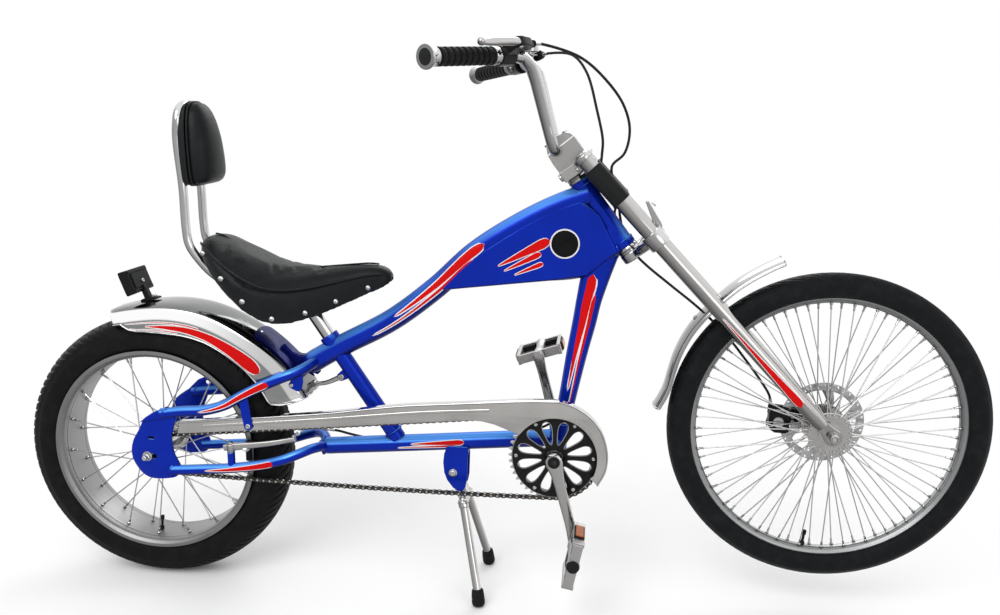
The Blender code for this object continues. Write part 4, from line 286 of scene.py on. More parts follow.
class Shape:
    """Vertices and faces in side-view coordinates, which add up into larger shapes."""

    def __init__(self, vertices: Iterable[Sequence[float]] = (), faces: Iterable[tuple[int, ...]] = ()):
        """Take the geometry.

        Args:
            vertices: points.
            faces: rings of vertex numbers.
        """
        self.vertices = np.array([tuple(v) for v in vertices], float).reshape(-1, 3)
        self.faces = list(faces)

    def __add__(self, other: "Shape") -> "Shape":
        """Put two shapes together.

        Args:
            other: the second shape.

        Returns:
            A shape with the faces of both.
        """
        result = Shape()
        result.vertices = np.vstack([self.vertices, other.vertices])
        first = len(self.vertices)
        result.faces = self.faces + [tuple(k + first for k in face) for face in other.faces]
        return result

    @classmethod
    def union(cls, shapes: Iterable["Shape"]) -> "Shape":
        """Put any number of shapes together.

        Args:
            shapes: the shapes.

        Returns:
            One shape.
        """
        result = cls()
        for shape in shapes:
            result = result + shape
        return result

    @classmethod
    def skin(cls, rings: Sequence[Sequence[Sequence[float]]], closed: bool = False, caps: bool = True) -> "Shape":
        """Stretch a skin over rings of as many points each.

        Args:
            rings: the rings in order.
            closed: whether the last ring joins the first.
            caps: whether the open ends are filled.

        Returns:
            The skin.
        """
        sides = len(rings[0])
        vertices = [point for ring in rings for point in ring]
        faces = []
        for k in range(len(rings) if closed else len(rings) - 1):
            low = k * sides
            high = (k + 1) % len(rings) * sides
            for side in range(sides):
                after = (side + 1) % sides
                faces.append((low + side, low + after, high + after, high + side))
        if caps and not closed:
            faces.append(tuple(reversed(range(sides))))
            faces.append(tuple(range(len(vertices) - sides, len(vertices))))
        return cls(vertices, faces)

    @classmethod
    def lathe(cls, centre: Vector, axis: Vector, profile: Sequence[Place], steps: int = 48) -> "Shape":
        """Turn a profile about an axis.

        Args:
            centre: a point of the axis.
            axis: its direction.
            profile: radius and distance along the axis; where neither end lies on the axis it closes on itself.
            steps: sides of the turned solid.

        Returns:
            The turned solid.
        """
        axis = Vector(axis).normalized()
        across = X_AXIS if abs(axis.x) < 0.8 else Z_AXIS
        across = (across - axis * across.dot(axis)).normalized()
        beside = axis.cross(across)
        turns = 2 * np.pi * np.arange(steps) / steps
        spokes = np.outer(np.cos(turns), across) + np.outer(np.sin(turns), beside)
        rings = [np.array(centre) + np.array(axis) * s + spokes * max(r, 1e-5) for r, s in profile]
        ends_open = profile[0][0] > 1e-6 and profile[-1][0] > 1e-6
        return cls.skin(rings, closed=ends_open, caps=not ends_open)

    @classmethod
    def rod(cls, first: Vector, last: Vector, radius: float, steps: int = 20, rounding: float = 0.0) -> "Shape":
        """Make a round bar with rounded rims.

        Args:
            first: one end.
            last: the other end.
            radius: the bar's radius.
            steps: its sides.
            rounding: radius of the rims.

        Returns:
            The bar.
        """
        first, last = Vector(first), Vector(last)
        length = (last - first).length
        e = rounding
        profile = [(0, 0), (radius - e, 0), (radius, e), (radius, length - e), (radius - e, length), (0, length)]
        return cls.lathe(first, last - first, profile, steps)

    @classmethod
    def tube(cls, path: Path, sides: int = 28, power: float = 2.0, wall: float = 0.0) -> "Shape":
        """Sweep a section along a path.

        Args:
            path: the line and its frames.
            sides: points of the section.
            power: 2 for an ellipse, more for a squarer section.
            wall: wall thickness of a tube with open ends, or 0 for a filled bar.

        Returns:
            The tube.
        """
        turns = 2 * np.pi * (np.arange(sides) + 0.5) / sides
        c, s = np.cos(turns), np.sin(turns)
        c = np.sign(c) * np.abs(c) ** (2 / power)
        s = np.sign(s) * np.abs(s) ** (2 / power)

        def rings(less: float) -> list[np.ndarray]:
            """Give the tube's rings, smaller by an amount."""
            return [p + np.outer(c, a) * (w - less) + np.outer(s, u) * (h - less)
                for p, a, u, w, h in zip(path.points, path.across, path.up, path.widths, path.heights)]

        if wall:
            return cls.skin(rings(0) + rings(wall)[::-1], closed=True)
        return cls.skin(rings(0))

    @classmethod
    def prism(cls, outline: Sequence[Place], low: float, high: float, view: View = SIDE_VIEW) -> "Shape":
        """Raise an outline into a plate.

        Args:
            outline: places of the view.
            low: distance of one face along the view's own axis.
            high: distance of the other.
            view: origin, right, up and own axis.

        Returns:
            The plate.
        """
        origin, right, up, out = view
        flat = [origin + right * a + up * b for a, b in outline]
        return cls.skin([[point + out * low for point in flat], [point + out * high for point in flat]])

    @classmethod
    def plate(cls, loops: Sequence[Sequence[Place]], low: float, high: float, view: View = SIDE_VIEW,
            bevel: float = 0.0004) -> "Shape":
        """Make a plate with holes and softened rims.

        Args:
            loops: the outline, then each hole.
            low: distance of one face along the view's own axis.
            high: distance of the other.
            view: origin, right, up and own axis.
            bevel: size of the softened rims.

        Returns:
            The plate.
        """
        curve = bpy.data.curves.new("plate", "CURVE")
        curve.dimensions = "2D"
        curve.fill_mode = "BOTH"
        curve.extrude = (high - low) / 2 - bevel
        curve.bevel_depth = bevel
        curve.bevel_resolution = 1
        curve.offset = -bevel
        for loop in loops:
            spline = curve.splines.new("POLY")
            spline.points.add(len(loop) - 1)
            spline.points.foreach_set("co", [x for a, b in loop for x in (a, b, 0.0, 1.0)])
            spline.use_cyclic_u = True
        holder = bpy.data.objects.new("plate", curve)
        mesh = bpy.data.meshes.new_from_object(holder)
        bpy.data.objects.remove(holder)
        flat = np.array([v.co for v in mesh.vertices], float)
        origin, right, up, out = (np.array(v, float) for v in view)
        middle = (low + high) / 2
        points = origin + np.outer(flat[:, 0], right) + np.outer(flat[:, 1], up) + np.outer(flat[:, 2] + middle, out)
        return cls(points, [tuple(p.vertices) for p in mesh.polygons])

    @classmethod
    def patch(cls, spot: Callable[[float, float], Sequence[float]], rows: int, columns: int) -> "Shape":
        """Lay a thin sheet over a surface.

        Args:
            spot: gives the point at two shares from 0 to 1.
            rows: steps of the first share.
            columns: steps of the second.

        Returns:
            The sheet.
        """
        points = [spot(a / rows, b / columns) for a in range(rows + 1) for b in range(columns + 1)]
        wide = columns + 1
        faces = [(a * wide + b, a * wide + b + 1, (a + 1) * wide + b + 1, (a + 1) * wide + b) for a in range(rows)
            for b in range(columns)]
        return cls(points, faces)

    def to_mesh(self, name: str) -> bpy.types.Mesh:
        """Make a mesh of the shape, with its faces turned outwards.

        Args:
            name: the mesh's name.

        Returns:
            The mesh.
        """
        mesh = bpy.data.meshes.new(name)
        mesh.from_pydata(self.vertices.tolist(), [], self.faces)
        tidy = bmesh.new()
        tidy.from_mesh(mesh)
        bmesh.ops.remove_doubles(tidy, verts=tidy.verts[:], dist=2e-6)
        bmesh.ops.recalc_face_normals(tidy, faces=tidy.faces[:])
        tidy.to_mesh(mesh)
        tidy.free()
        return mesh


class Socket:
    """A node's output whose operators add Math nodes."""

    def __init__(self, graph: "Graph", output: bpy.types.NodeSocket):
        """Wrap the output.

        Args:
            graph: the graph it belongs to.
            output: the node's output.
        """
        self.graph = graph
        self.output = output

    def __add__(self, other: "Socket | float") -> "Socket":
        """Add."""
        return self.graph.math("ADD", self, other)

    def __sub__(self, other: "Socket | float") -> "Socket":
        """Subtract."""
        return self.graph.math("SUBTRACT", self, other)

    def __rsub__(self, other: "Socket | float") -> "Socket":
        """Subtract from a value."""
        return self.graph.math("SUBTRACT", other, self)

    def __mul__(self, other: "Socket | float") -> "Socket":
        """Multiply."""
        return self.graph.math("MULTIPLY", self, other)

    def __truediv__(self, other: "Socket | float") -> "Socket":
        """Divide."""
        return self.graph.math("DIVIDE", self, other)

    def __abs__(self) -> "Socket":
        """Drop the sign."""
        return self.graph.math("ABSOLUTE", self)

    __radd__ = __add__
    __rmul__ = __mul__


class Graph:
    """A node tree with short ways to add what the finishes use."""

    def __init__(self, tree: bpy.types.NodeTree):
        """Empty the tree.

        Args:
            tree: the tree of a material or of the world.
        """
        self.tree = tree
        tree.nodes.clear()

    def node(self, kind: str, inputs: dict | None = None, pick: str | int = 0, **settings: object) -> Socket:
        """Add a node.

        Args:
            kind: its type.
            inputs: value or Socket for each input, by name or number.
            pick: the output to return.
            settings: properties of the node.

        Returns:
            The chosen output.
        """
        made = self.tree.nodes.new(kind)
        for name, value in settings.items():
            setattr(made, name, value)
        for name, value in (inputs or {}).items():
            self.feed(made.inputs[name], value)
        return Socket(self, made.outputs[pick]) if made.outputs else Socket(self, None)

    def feed(self, target: bpy.types.NodeSocket, value: object) -> None:
        """Link or set an input.

        Args:
            target: the input.
            value: a Socket, or a plain value.
        """
        if isinstance(value, Socket):
            self.tree.links.new(value.output, target)
        else:
            target.default_value = value

    def math(self, operation: str, first: "Socket | float", second: "Socket | float | None" = None,
            clamp: bool = False) -> Socket:
        """Add a Math node.

        Args:
            operation: its operation.
            first: first operand.
            second: second operand.
            clamp: whether the result stays within 0 and 1.

        Returns:
            The result.
        """
        inputs = {0: first} if second is None else {0: first, 1: second}
        return self.node("ShaderNodeMath", inputs, operation=operation, use_clamp=clamp)

    def place(self) -> Socket:
        """Give side-view coordinates.

        Returns:
            The object coordinates.
        """
        return self.node("ShaderNodeTexCoord", pick="Object")

    def axis(self, vector: Socket, number: int) -> Socket:
        """Split a vector.

        Args:
            vector: the vector.
            number: 0, 1 or 2.

        Returns:
            That component.
        """
        return self.node("ShaderNodeSeparateXYZ", {0: vector}, pick=number)

    def noise(self, scale: float, detail: float = 2.0, stretch: Sequence[float] = (1, 1, 1)) -> Socket:
        """Add noise in side-view coordinates.

        Args:
            scale: cells in a metre.
            detail: octaves.
            stretch: factor on each axis.

        Returns:
            Noise from 0 to 1.
        """
        spot = self.node("ShaderNodeMapping", {0: self.place(), "Scale": tuple(stretch)})
        return self.node("ShaderNodeTexNoise", {"Vector": spot, "Scale": scale, "Detail": detail})

    def ramp(self, value: Socket, low: float, high: float, first: float = 0.0, last: float = 1.0) -> Socket:
        """Map a span of values smoothly onto another.

        Args:
            value: the input.
            low: its value that gives first.
            high: its value that gives last.
            first: lowest result.
            last: highest result.

        Returns:
            The mapped value.
        """
        inputs = {"Value": value, "From Min": low, "From Max": high, "To Min": first, "To Max": last}
        return self.node("ShaderNodeMapRange", inputs, interpolation_type="SMOOTHSTEP")

    def mix(self, share: Socket, first: object, second: object) -> Socket:
        """Mix two colours.

        Args:
            share: 0 for the first and 1 for the second.
            first: a colour or a Socket.
            second: a colour or a Socket.

        Returns:
            The mixed colour.
        """
        return self.node("ShaderNodeMix", {0: share, 6: first, 7: second}, pick=2, data_type="RGBA")


class Motif(Enum):
    """What a finish's surface detail looks like."""

    PAINT = "paint"
    CHROME = "chrome"
    CAST = "cast"
    TURNED = "turned"
    RUBBER = "rubber"
    TYRE = "tyre"
    LEATHER = "leather"
    OILY = "oily"
    LENS = "lens"


@dataclass(frozen=True)
class Finish:
    """One surface finish and the record's slot that it belongs to.

    The crest colour is a painted highlight on faces that look up, and the under colour is painted shade on faces that
    look down. The shoulder colour is a painted highlight on a mudguard's shoulders, between its crown and its sides.
    """

    name: str
    slot: str
    colour: Colour
    shade: Colour
    roughness: float
    motif: Motif
    metallic: float = 0.0
    coat: float = 0.0
    gloss: float = 0.5
    centre: Place = (0.0, 0.0)
    bed: float = 0.0
    # painted highlight, painted shade and painted shoulder highlight colours
    crest: Colour | None = None
    under: Colour | None = None
    painted_highlight_band: Colour | None = None


def metal(name: str, slot: str, level: float, roughness: float, motif: Motif, warmth: float = 0.0,
        contrast: float = 1.0, centre: Place = (0.0, 0.0), bed: float = 0.0) -> Finish:
    """Make a grey metal's finish, with a painted highlight on faces that look up and painted shade on faces that look
    down.

    Args:
        name: its name.
        slot: the record's slot.
        level: its brightness.
        roughness: its roughness.
        motif: its surface detail.
        warmth: share by which red rises and blue falls.
        contrast: how far its painted highlight and its painted shade differ from its level.
        centre: middle of a wheel, for turned metal.
        bed: radius inside which a rim takes a painted highlight.

    Returns:
        The finish.
    """
    def tone(factor: float) -> Colour:
        """Scale the level and keep its warmth."""
        return (level * factor * (1 + warmth), level * factor, level * factor * (1 - warmth))

    # the last two colours are the painted highlight and the painted shade; the second is the tone of random patches
    return Finish(name, slot, tone(1.0), tone(0.74), roughness, motif, 1.0, 0.0, 0.5, centre, bed,
        tone(1 + 0.95 * contrast), tone(1 - 0.55 * contrast))


# the blue paint's crest colour is a painted azure highlight on faces that look up, and its under colour is painted
# shade on faces that look down
PAINT = Finish("blue_paint", "paint", (0.0015, 0.02, 0.35), (0.0015, 0.014, 0.26), 0.3, Motif.PAINT, 0.45, 0.08, 0.06,
    crest=(0.11, 0.37, 1.0), under=(0.004, 0.007, 0.095))
# a darker copy of the blue paint, which is painted shade on the mudguard's plate and strap
SHADED_PAINT = replace(PAINT, name="blue_paint_painted_shade", colour=(0.006, 0.0105, 0.135), shade=(0.005, 0.008, 0.1),
    crest=(0.01, 0.02, 0.19))
RED = Finish("red_stripe", "paint", (0.6, 0.003, 0.003), (0.5, 0.0025, 0.0028), 0.3, Motif.PAINT, 0.0, 0.06, 0.05)
WHITE = Finish("white_stripe", "paint", (0.76, 0.76, 0.76), (0.64, 0.64, 0.66), 0.3, Motif.PAINT, 0.0, 0.3, 0.2)
# every metal made by metal() has a painted highlight on faces that look up and painted shade on faces that look down
CHROME = metal("chrome", "chrome", 0.34, 0.09, Motif.CHROME, contrast=1.15)
SATIN = metal("satin_chrome", "chrome", 0.37, 0.2, Motif.CHROME, 0.03, 0.8)
# the mudguard has no up and down tints; its white shoulder colour is a painted highlight along its shoulders
FENDER = replace(metal("mudguard_chrome", "chrome", 0.25, 0.11, Motif.CHROME, -0.01), crest=None, under=None,
    centre=REAR_HUB, painted_highlight_band=(0.97, 0.97, 0.97))
CAST = metal("cast_alloy", "alloy", 0.3, 0.33, Motif.CAST, 0.02, 0.8)
POLISHED = metal("polished_alloy", "polished_alloy", 0.29, 0.15, Motif.CHROME, 0.02, 1.1)
# each rim also takes a painted highlight on its inner face inside the given radius
REAR_RIM = metal("rear_rim_alloy", "alloy", 0.2, 0.34, Motif.TURNED, 0.0, 0.6, REAR_HUB, 0.1972)
FRONT_RIM = metal("front_rim_alloy", "alloy", 0.27, 0.32, Motif.TURNED, -0.01, 0.6, FRONT_HUB, 0.2468)
STEEL = metal("bright_steel", "steel", 0.4, 0.26, Motif.CAST, 0.0, 0.7)
DARK_STEEL = Finish("oiled_steel", "dark", (0.075, 0.07, 0.062), (0.026, 0.023, 0.021), 0.38, Motif.OILY, 1.0)
BLACK = Finish("black_alloy", "black", (0.005, 0.005, 0.0056), (0.01, 0.01, 0.011), 0.26, Motif.CAST, 0.0, 0.05, 0.1)
BADGE = replace(BLACK, name="badge_black", coat=0.0, gloss=0.05)
PLASTIC = Finish("black_plastic", "plastic", (0.0075, 0.008, 0.0085), (0.012, 0.013, 0.014), 0.4, Motif.RUBBER,
    gloss=0.12)
GRIP = Finish("grip_rubber", "rubber", (0.006, 0.0063, 0.007), (0.01, 0.01, 0.011), 0.5, Motif.RUBBER, gloss=0.1)
# the rear tyre's crest colour is a painted highlight on the tread where it faces up and back
REAR_TYRE = Finish("rear_tyre_rubber", "tyre", (0.0052, 0.0052, 0.0058), (0.01, 0.01, 0.011), 0.48, Motif.TYRE,
    gloss=0.07, centre=REAR_HUB, crest=(0.06, 0.064, 0.066))
FRONT_TYRE = Finish("front_tyre_rubber", "tyre", (0.0056, 0.0062, 0.0072), (0.011, 0.012, 0.013), 0.44, Motif.TYRE,
    gloss=0.08, centre=FRONT_HUB)
LEATHER = Finish("black_leather", "leather", (0.004, 0.0052, 0.0058), (0.007, 0.009, 0.01), 0.36, Motif.LEATHER,
    gloss=0.14)
RED_LENS = Finish("red_lens", "plastic", (0.42, 0.008, 0.009), (0.22, 0.004, 0.005), 0.12, Motif.LENS, 0.0, 0.4, 0.2)
AMBER_LENS = Finish("amber_lens", "plastic", (0.55, 0.13, 0.01), (0.3, 0.06, 0.005), 0.14, Motif.LENS, 0.0, 0.4, 0.2)


class Palette:
    """Makes each finish's material once."""

    def __init__(self) -> None:
        """Start with no materials."""
        self.made: dict[str, bpy.types.Material] = {}

    def __getitem__(self, finish: Finish) -> bpy.types.Material:
        """Give a finish's material.

        Args:
            finish: the finish.

        Returns:
            Its material.
        """
        if finish.name not in self.made:
            self.made[finish.name] = self.build(finish)
        return self.made[finish.name]

    def build(self, finish: Finish) -> bpy.types.Material:
        """Make a finish's material, with painted highlights and painted shade set by the way each face turns.

        Args:
            finish: the finish.

        Returns:
            The new material.
        """
        material = bpy.data.materials.new(finish.name)
        material.use_nodes = True
        material.diffuse_color = (*finish.colour, 1)
        graph = Graph(material.node_tree)
        output = graph.tree.nodes.new("ShaderNodeOutputMaterial")
        shader = graph.tree.nodes.new("ShaderNodeBsdfPrincipled")
        graph.tree.links.new(shader.outputs[0], output.inputs[0])
        shader.inputs["Metallic"].default_value = finish.metallic
        shader.inputs["Coat Weight"].default_value = finish.coat
        shader.inputs["Coat Roughness"].default_value = 0.04
        shader.inputs["Specular IOR Level"].default_value = finish.gloss
        shade, rough, height, distance = self.detail(graph, finish)
        colour = graph.mix(shade, (*finish.colour, 1), (*finish.shade, 1))
        normal = graph.node("ShaderNodeNewGeometry", pick="Normal")
        metal_like = finish.metallic == 1.0
        # lit says how far a face turns towards the light: up and ahead for metals, up and back for tyres, up and to
        # either side for the rest
        if metal_like:
            lit = graph.axis(normal, 2) * 0.894 + graph.axis(normal, 0) * 0.447
        elif finish.motif is Motif.TYRE:
            lit = graph.axis(normal, 2) * 0.8 - graph.axis(normal, 0) * 0.6
        else:
            lit = graph.axis(normal, 2) * 0.83 + abs(graph.axis(normal, 1)) * 0.55
        # painted highlight: the crest colour where a face turns towards the light, and on a rim's inner face inside
        # its given radius
        if finish.crest:
            low, high = (0.08, 0.62) if metal_like else (0.74, 0.995)
            share = graph.ramp(lit, low, high)
            if finish.bed:
                inside = graph.ramp(self.radius(graph, finish.centre), finish.bed + 0.0015, finish.bed)
                share = graph.math("MAXIMUM", share * 0.5, inside)
            colour = graph.mix(share, colour, (*finish.crest, 1))
        # painted shade: the under colour where a face turns away from the light
        if finish.under:
            low, high = (-0.55, 0.05) if metal_like else (-0.3, 0.44)
            colour = graph.mix(graph.ramp(lit, high, low), colour, (*finish.under, 1))
        # painted highlight along a mudguard's shoulders, weaker towards its front end
        if finish.painted_highlight_band:
            spot = graph.place()
            turn = graph.axis(normal, 0) * (graph.axis(spot, 0) - finish.centre[0])
            turn = turn + graph.axis(normal, 2) * (graph.axis(spot, 2) - finish.centre[1])
            outward = turn / self.radius(graph, finish.centre)
            share = graph.ramp(outward, 0.04, 0.12) * graph.ramp(outward, 0.78, 0.55)
            share = share * graph.ramp(graph.axis(spot, 0), 0.08, 0.26, 1.0, 0.45)
            colour = graph.mix(share, colour, (*finish.painted_highlight_band, 1))
        graph.feed(shader.inputs["Base Color"], colour)
        graph.feed(shader.inputs["Roughness"], rough)
        bump = graph.node("ShaderNodeBump", {"Height": height, "Distance": distance, "Strength": 1.0})
        graph.feed(shader.inputs["Normal"], bump)
        return material

    def detail(self, graph: Graph, finish: Finish) -> tuple[Socket, Socket, Socket, float]:
        """Give a finish's variation.

        Args:
            graph: the material's graph.
            finish: the finish.

        Returns:
            Share of the second colour, roughness, bump height and the bump's depth in metres.
        """
        base = finish.roughness
        patch = graph.ramp(graph.noise(9.0, 3.0), 0.35, 0.72)
        if finish.motif is Motif.PAINT:
            flake = graph.noise(2600.0, 0.0)
            shade = graph.ramp(graph.noise(14.0), 0.3, 0.8, 0.0, 0.55) + flake * 0.1
            return shade, patch * 0.06 + base, graph.noise(160.0, 1.0) + flake * 0.2, 0.00003
        if finish.motif is Motif.CHROME:
            smear = graph.noise(38.0, 4.0, (1.0, 1.0, 0.35))
            rough = graph.ramp(smear, 0.45, 0.8, base * 0.8, base * 1.9)
            return patch * 0.6 + graph.ramp(smear, 0.55, 0.8) * 0.3, rough, graph.noise(22.0, 1.0), 0.0001
        if finish.motif is Motif.CAST:
            grain = graph.noise(900.0, 2.0)
            worn = graph.ramp(graph.node("ShaderNodeNewGeometry", pick="Pointiness"), 0.5, 0.56)
            shade = graph.ramp(graph.noise(60.0, 4.0), 0.35, 0.75) * 0.7
            return shade * (1 - worn), grain * 0.12 + base, grain + graph.noise(120.0) * 0.8, 0.00012
        if finish.motif is Motif.TURNED:
            radius = self.radius(graph, finish.centre)
            rings = graph.node("ShaderNodeTexNoise", {"W": radius, "Scale": 1400.0, "Detail": 2.0},
                noise_dimensions="1D")
            return patch * 0.8, rings * 0.16 + base, rings, 0.00005
        if finish.motif is Motif.TYRE:
            radius = self.radius(graph, finish.centre)
            ribs = graph.math("SINE", radius * (2 * math.pi / 0.0021))
            dust = graph.ramp(graph.noise(45.0, 5.0), 0.42, 0.78)
            height = graph.ramp(ribs, 0.2, 1.0) * 0.5 + graph.noise(700.0, 2.0)
            return dust, dust * 0.12 + base, height, 0.00022
        if finish.motif is Motif.LEATHER:
            grain = graph.node("ShaderNodeTexVoronoi", {"Vector": graph.place(), "Scale": 620.0}, feature="SMOOTH_F1")
            fold = graph.noise(26.0, 3.0)
            shade = graph.ramp(fold, 0.4, 0.75) * 0.8
            height = graph.ramp(grain, 0.1, 0.75) * -0.5 + fold * 1.6 + graph.noise(1500.0) * 0.2
            return shade, graph.ramp(grain, 0.2, 0.8, base - 0.06, base + 0.1), height, 0.0003
        if finish.motif is Motif.OILY:
            film = graph.ramp(graph.noise(240.0, 4.0), 0.38, 0.66)
            return film, film * 0.25 + base, graph.noise(800.0, 2.0), 0.00012
        if finish.motif is Motif.LENS:
            spot = graph.place()
            facets = graph.math("SINE", (graph.axis(spot, 0) + graph.axis(spot, 2)) * 1900.0)
            facets = facets * graph.math("SINE", graph.axis(spot, 1) * 1900.0)
            return facets * 0.5 + 0.5, patch * 0.05 + base, facets, 0.00025
        grain = graph.noise(520.0, 3.0)
        return patch, grain * 0.16 + base, grain + graph.noise(1900.0) * 0.5, 0.00016

    @staticmethod
    def radius(graph: Graph, centre: Place) -> Socket:
        """Measure the distance from a wheel's axis.

        Args:
            graph: the material's graph.
            centre: the wheel's centre.

        Returns:
            The distance.
        """
        spot = graph.place()
        x = graph.axis(spot, 0) - centre[0]
        z = graph.axis(spot, 2) - centre[1]
        return graph.math("SQRT", x * x + z * z)


@dataclass
class Workshop:
    """Turns shapes into pieces and seats them on the frame's bodies."""

    palette: Palette = field(default_factory=Palette)
    count: int = 0

    def add(self, name: str, shape: "Shape | list[Shape] | bpy.types.Mesh", finish: Finish, body: str = "frame",
            replaces: Sequence[str] = (), bevel: float = 0.0, segments: int = 2, subdivide: int = 0,
            angle: float = 38.0) -> bpy.types.Object:
        """Make a piece.

        Args:
            name: the piece's name.
            shape: its geometry, or the shapes to join.
            finish: its finish.
            body: the body that carries it, the frame unless it is given.
            replaces: frame nodes that it stands for.
            bevel: width of the rounded edges.
            segments: steps of a rounded edge.
            subdivide: levels of subdivision.
            angle: edges sharper than this stay crisp, or are rounded.

        Returns:
            The new object.
        """
        if isinstance(shape, list):
            shape = Shape.union(shape)
        mesh = shape.to_mesh(name) if isinstance(shape, Shape) else shape
        piece = bpy.data.objects.new(name, mesh)
        bpy.context.scene.collection.objects.link(piece)
        piece.location = (-MIDDLE_X, 0, 0)
        mesh.materials.clear()
        mesh.materials.append(self.palette[finish])
        mesh.shade_smooth()
        if bevel:
            rounding = piece.modifiers.new("rounding", "BEVEL")
            rounding.width = bevel
            rounding.segments = segments
            rounding.limit_method = "ANGLE"
            rounding.angle_limit = math.radians(angle)
            rounding.harden_normals = True
        elif not subdivide:
            mesh.set_sharp_from_angle(angle=math.radians(angle))
        if subdivide:
            finer = piece.modifiers.new("finer", "SUBSURF")
            finer.levels = finer.render_levels = subdivide
        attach(piece, body)
        if replaces:
            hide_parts(*replaces)
        self.count += 1
        return piece


class Assembly:
    """A sub-assembly of the bicycle. All of them share one workshop and add their pieces to it."""

    shop = Workshop()
    add = shop.add


def both(outline: Sequence[Place], inner: float, outer: float, view: View = SIDE_VIEW) -> list[Shape]:
    """Raise an outline into a plate on the right and one on the left.

    Args:
        outline: places of the view.
        inner: distance of the faces nearer the middle.
        outer: distance of the faces further out.
        view: origin, right, up and own axis.

    Returns:
        The two plates.
    """
    return [Shape.prism(outline, *sorted((sign * inner, sign * outer)), view) for _, sign in SIDES]


def cut(shape: Shape, tools: Sequence[Shape]) -> bpy.types.Mesh:
    """Cut tools out of a shape.

    Args:
        shape: what is cut.
        tools: closed shapes to take away.

    Returns:
        The cut mesh.
    """
    scene = bpy.context.scene.collection
    holders = [bpy.data.objects.new("helper", s.to_mesh("helper")) for s in (shape, *tools)]
    for holder in holders:
        scene.objects.link(holder)
    for k, holder in enumerate(holders[1:]):
        step = holders[0].modifiers.new(f"cut_{k}", "BOOLEAN")
        step.operation = "DIFFERENCE"
        step.object = holder
    bpy.context.view_layer.update()
    graph = bpy.context.evaluated_depsgraph_get()
    result = bpy.data.meshes.new_from_object(holders[0].evaluated_get(graph))
    for holder in holders:
        bpy.data.objects.remove(holder)
    return result


def hexagon(centre: Vector, axis: Vector, across_flats: float, thickness: float, hole: float = 0.0) -> Shape:
    """Make a nut or a bolt's head.

    Args:
        centre: middle of the face that bears on the part.
        axis: outward direction.
        across_flats: its size.
        thickness: its height.
        hole: radius of a bore, or 0.

    Returns:
        The nut.
    """
    corner = across_flats / math.sqrt(3)
    e = thickness * 0.14
    inner = max(hole, 0.0)
    profile = [(inner, 0), (corner * 0.94, 0), (corner, e), (corner, thickness - e), (corner * 0.88, thickness),
        (inner, thickness)]
    return Shape.lathe(centre, axis, profile, 6)


def socket_bolt(centre: Vector, axis: Vector, radius: float, height: float) -> Shape:
    """Make a round bolt head with a sunk socket.

    Args:
        centre: middle of the face that bears on the part.
        axis: outward direction.
        radius: the head's radius.
        height: its height.

    Returns:
        The head.
    """
    e = radius * 0.18
    profile = [(0, 0), (radius, 0), (radius, height - e), (radius - e, height), (radius * 0.5, height),
        (radius * 0.45, height * 0.35), (0, height * 0.35)]
    return Shape.lathe(centre, axis, profile, 18)


def teardrop(share: float, front: float = 0.12) -> float:
    """Give the half-width of a stripe that starts blunt and tapers off.

    Args:
        share: place along it, from 0 to 1.
        front: share taken by the blunt end.

    Returns:
        Half-width from 0 to 1.
    """
    if share < front:
        return math.sqrt(max(0.0, 1 - (1 - share / front) ** 2))
    return max(0.0, 1 - (share - front) / (1 - front)) ** 0.75


def tube_stripes(shop: Workshop, name: str, path: Path, first: float, last: float, body: str,
        half: float = 0.62) -> None:
    """Lay tapering red stripes with white borders on both sides of a tube.

    Args:
        shop: where the pieces are made.
        name: start of the pieces' names.
        path: the tube's path.
        first: share of the path at the blunt end.
        last: share at the thin end.
        body: the body that carries the tube.
        half: half-width of the main stripe in radians.
    """
    for finish, more, lift in ((WHITE, 0.11, 0.00025), (RED, 0.0, 0.00045)):
        patches = []
        for middle in (0.0, math.pi):
            for offset, wide, start, stop in ((0.3, 0.62, 0.0, 0.8), (-0.55, 0.26, 0.12, 1.0)):
                turn = middle + offset * half * (1 if middle == 0.0 else -1)

                def spot(a: float, b: float) -> np.ndarray:
                    """Place a corner of the stripe, a along it and b across it."""
                    share = start + (stop - start) * a
                    width = wide * half * teardrop(a) + (more if 0 < a < 1 else 0.0)
                    return path.spot(first + (last - first) * share, turn + width * (2 * b - 1), lift)

                patches.append(Shape.patch(spot, 26, 6))
        shop.add(f"{name}_{finish.name}", patches, finish, body)


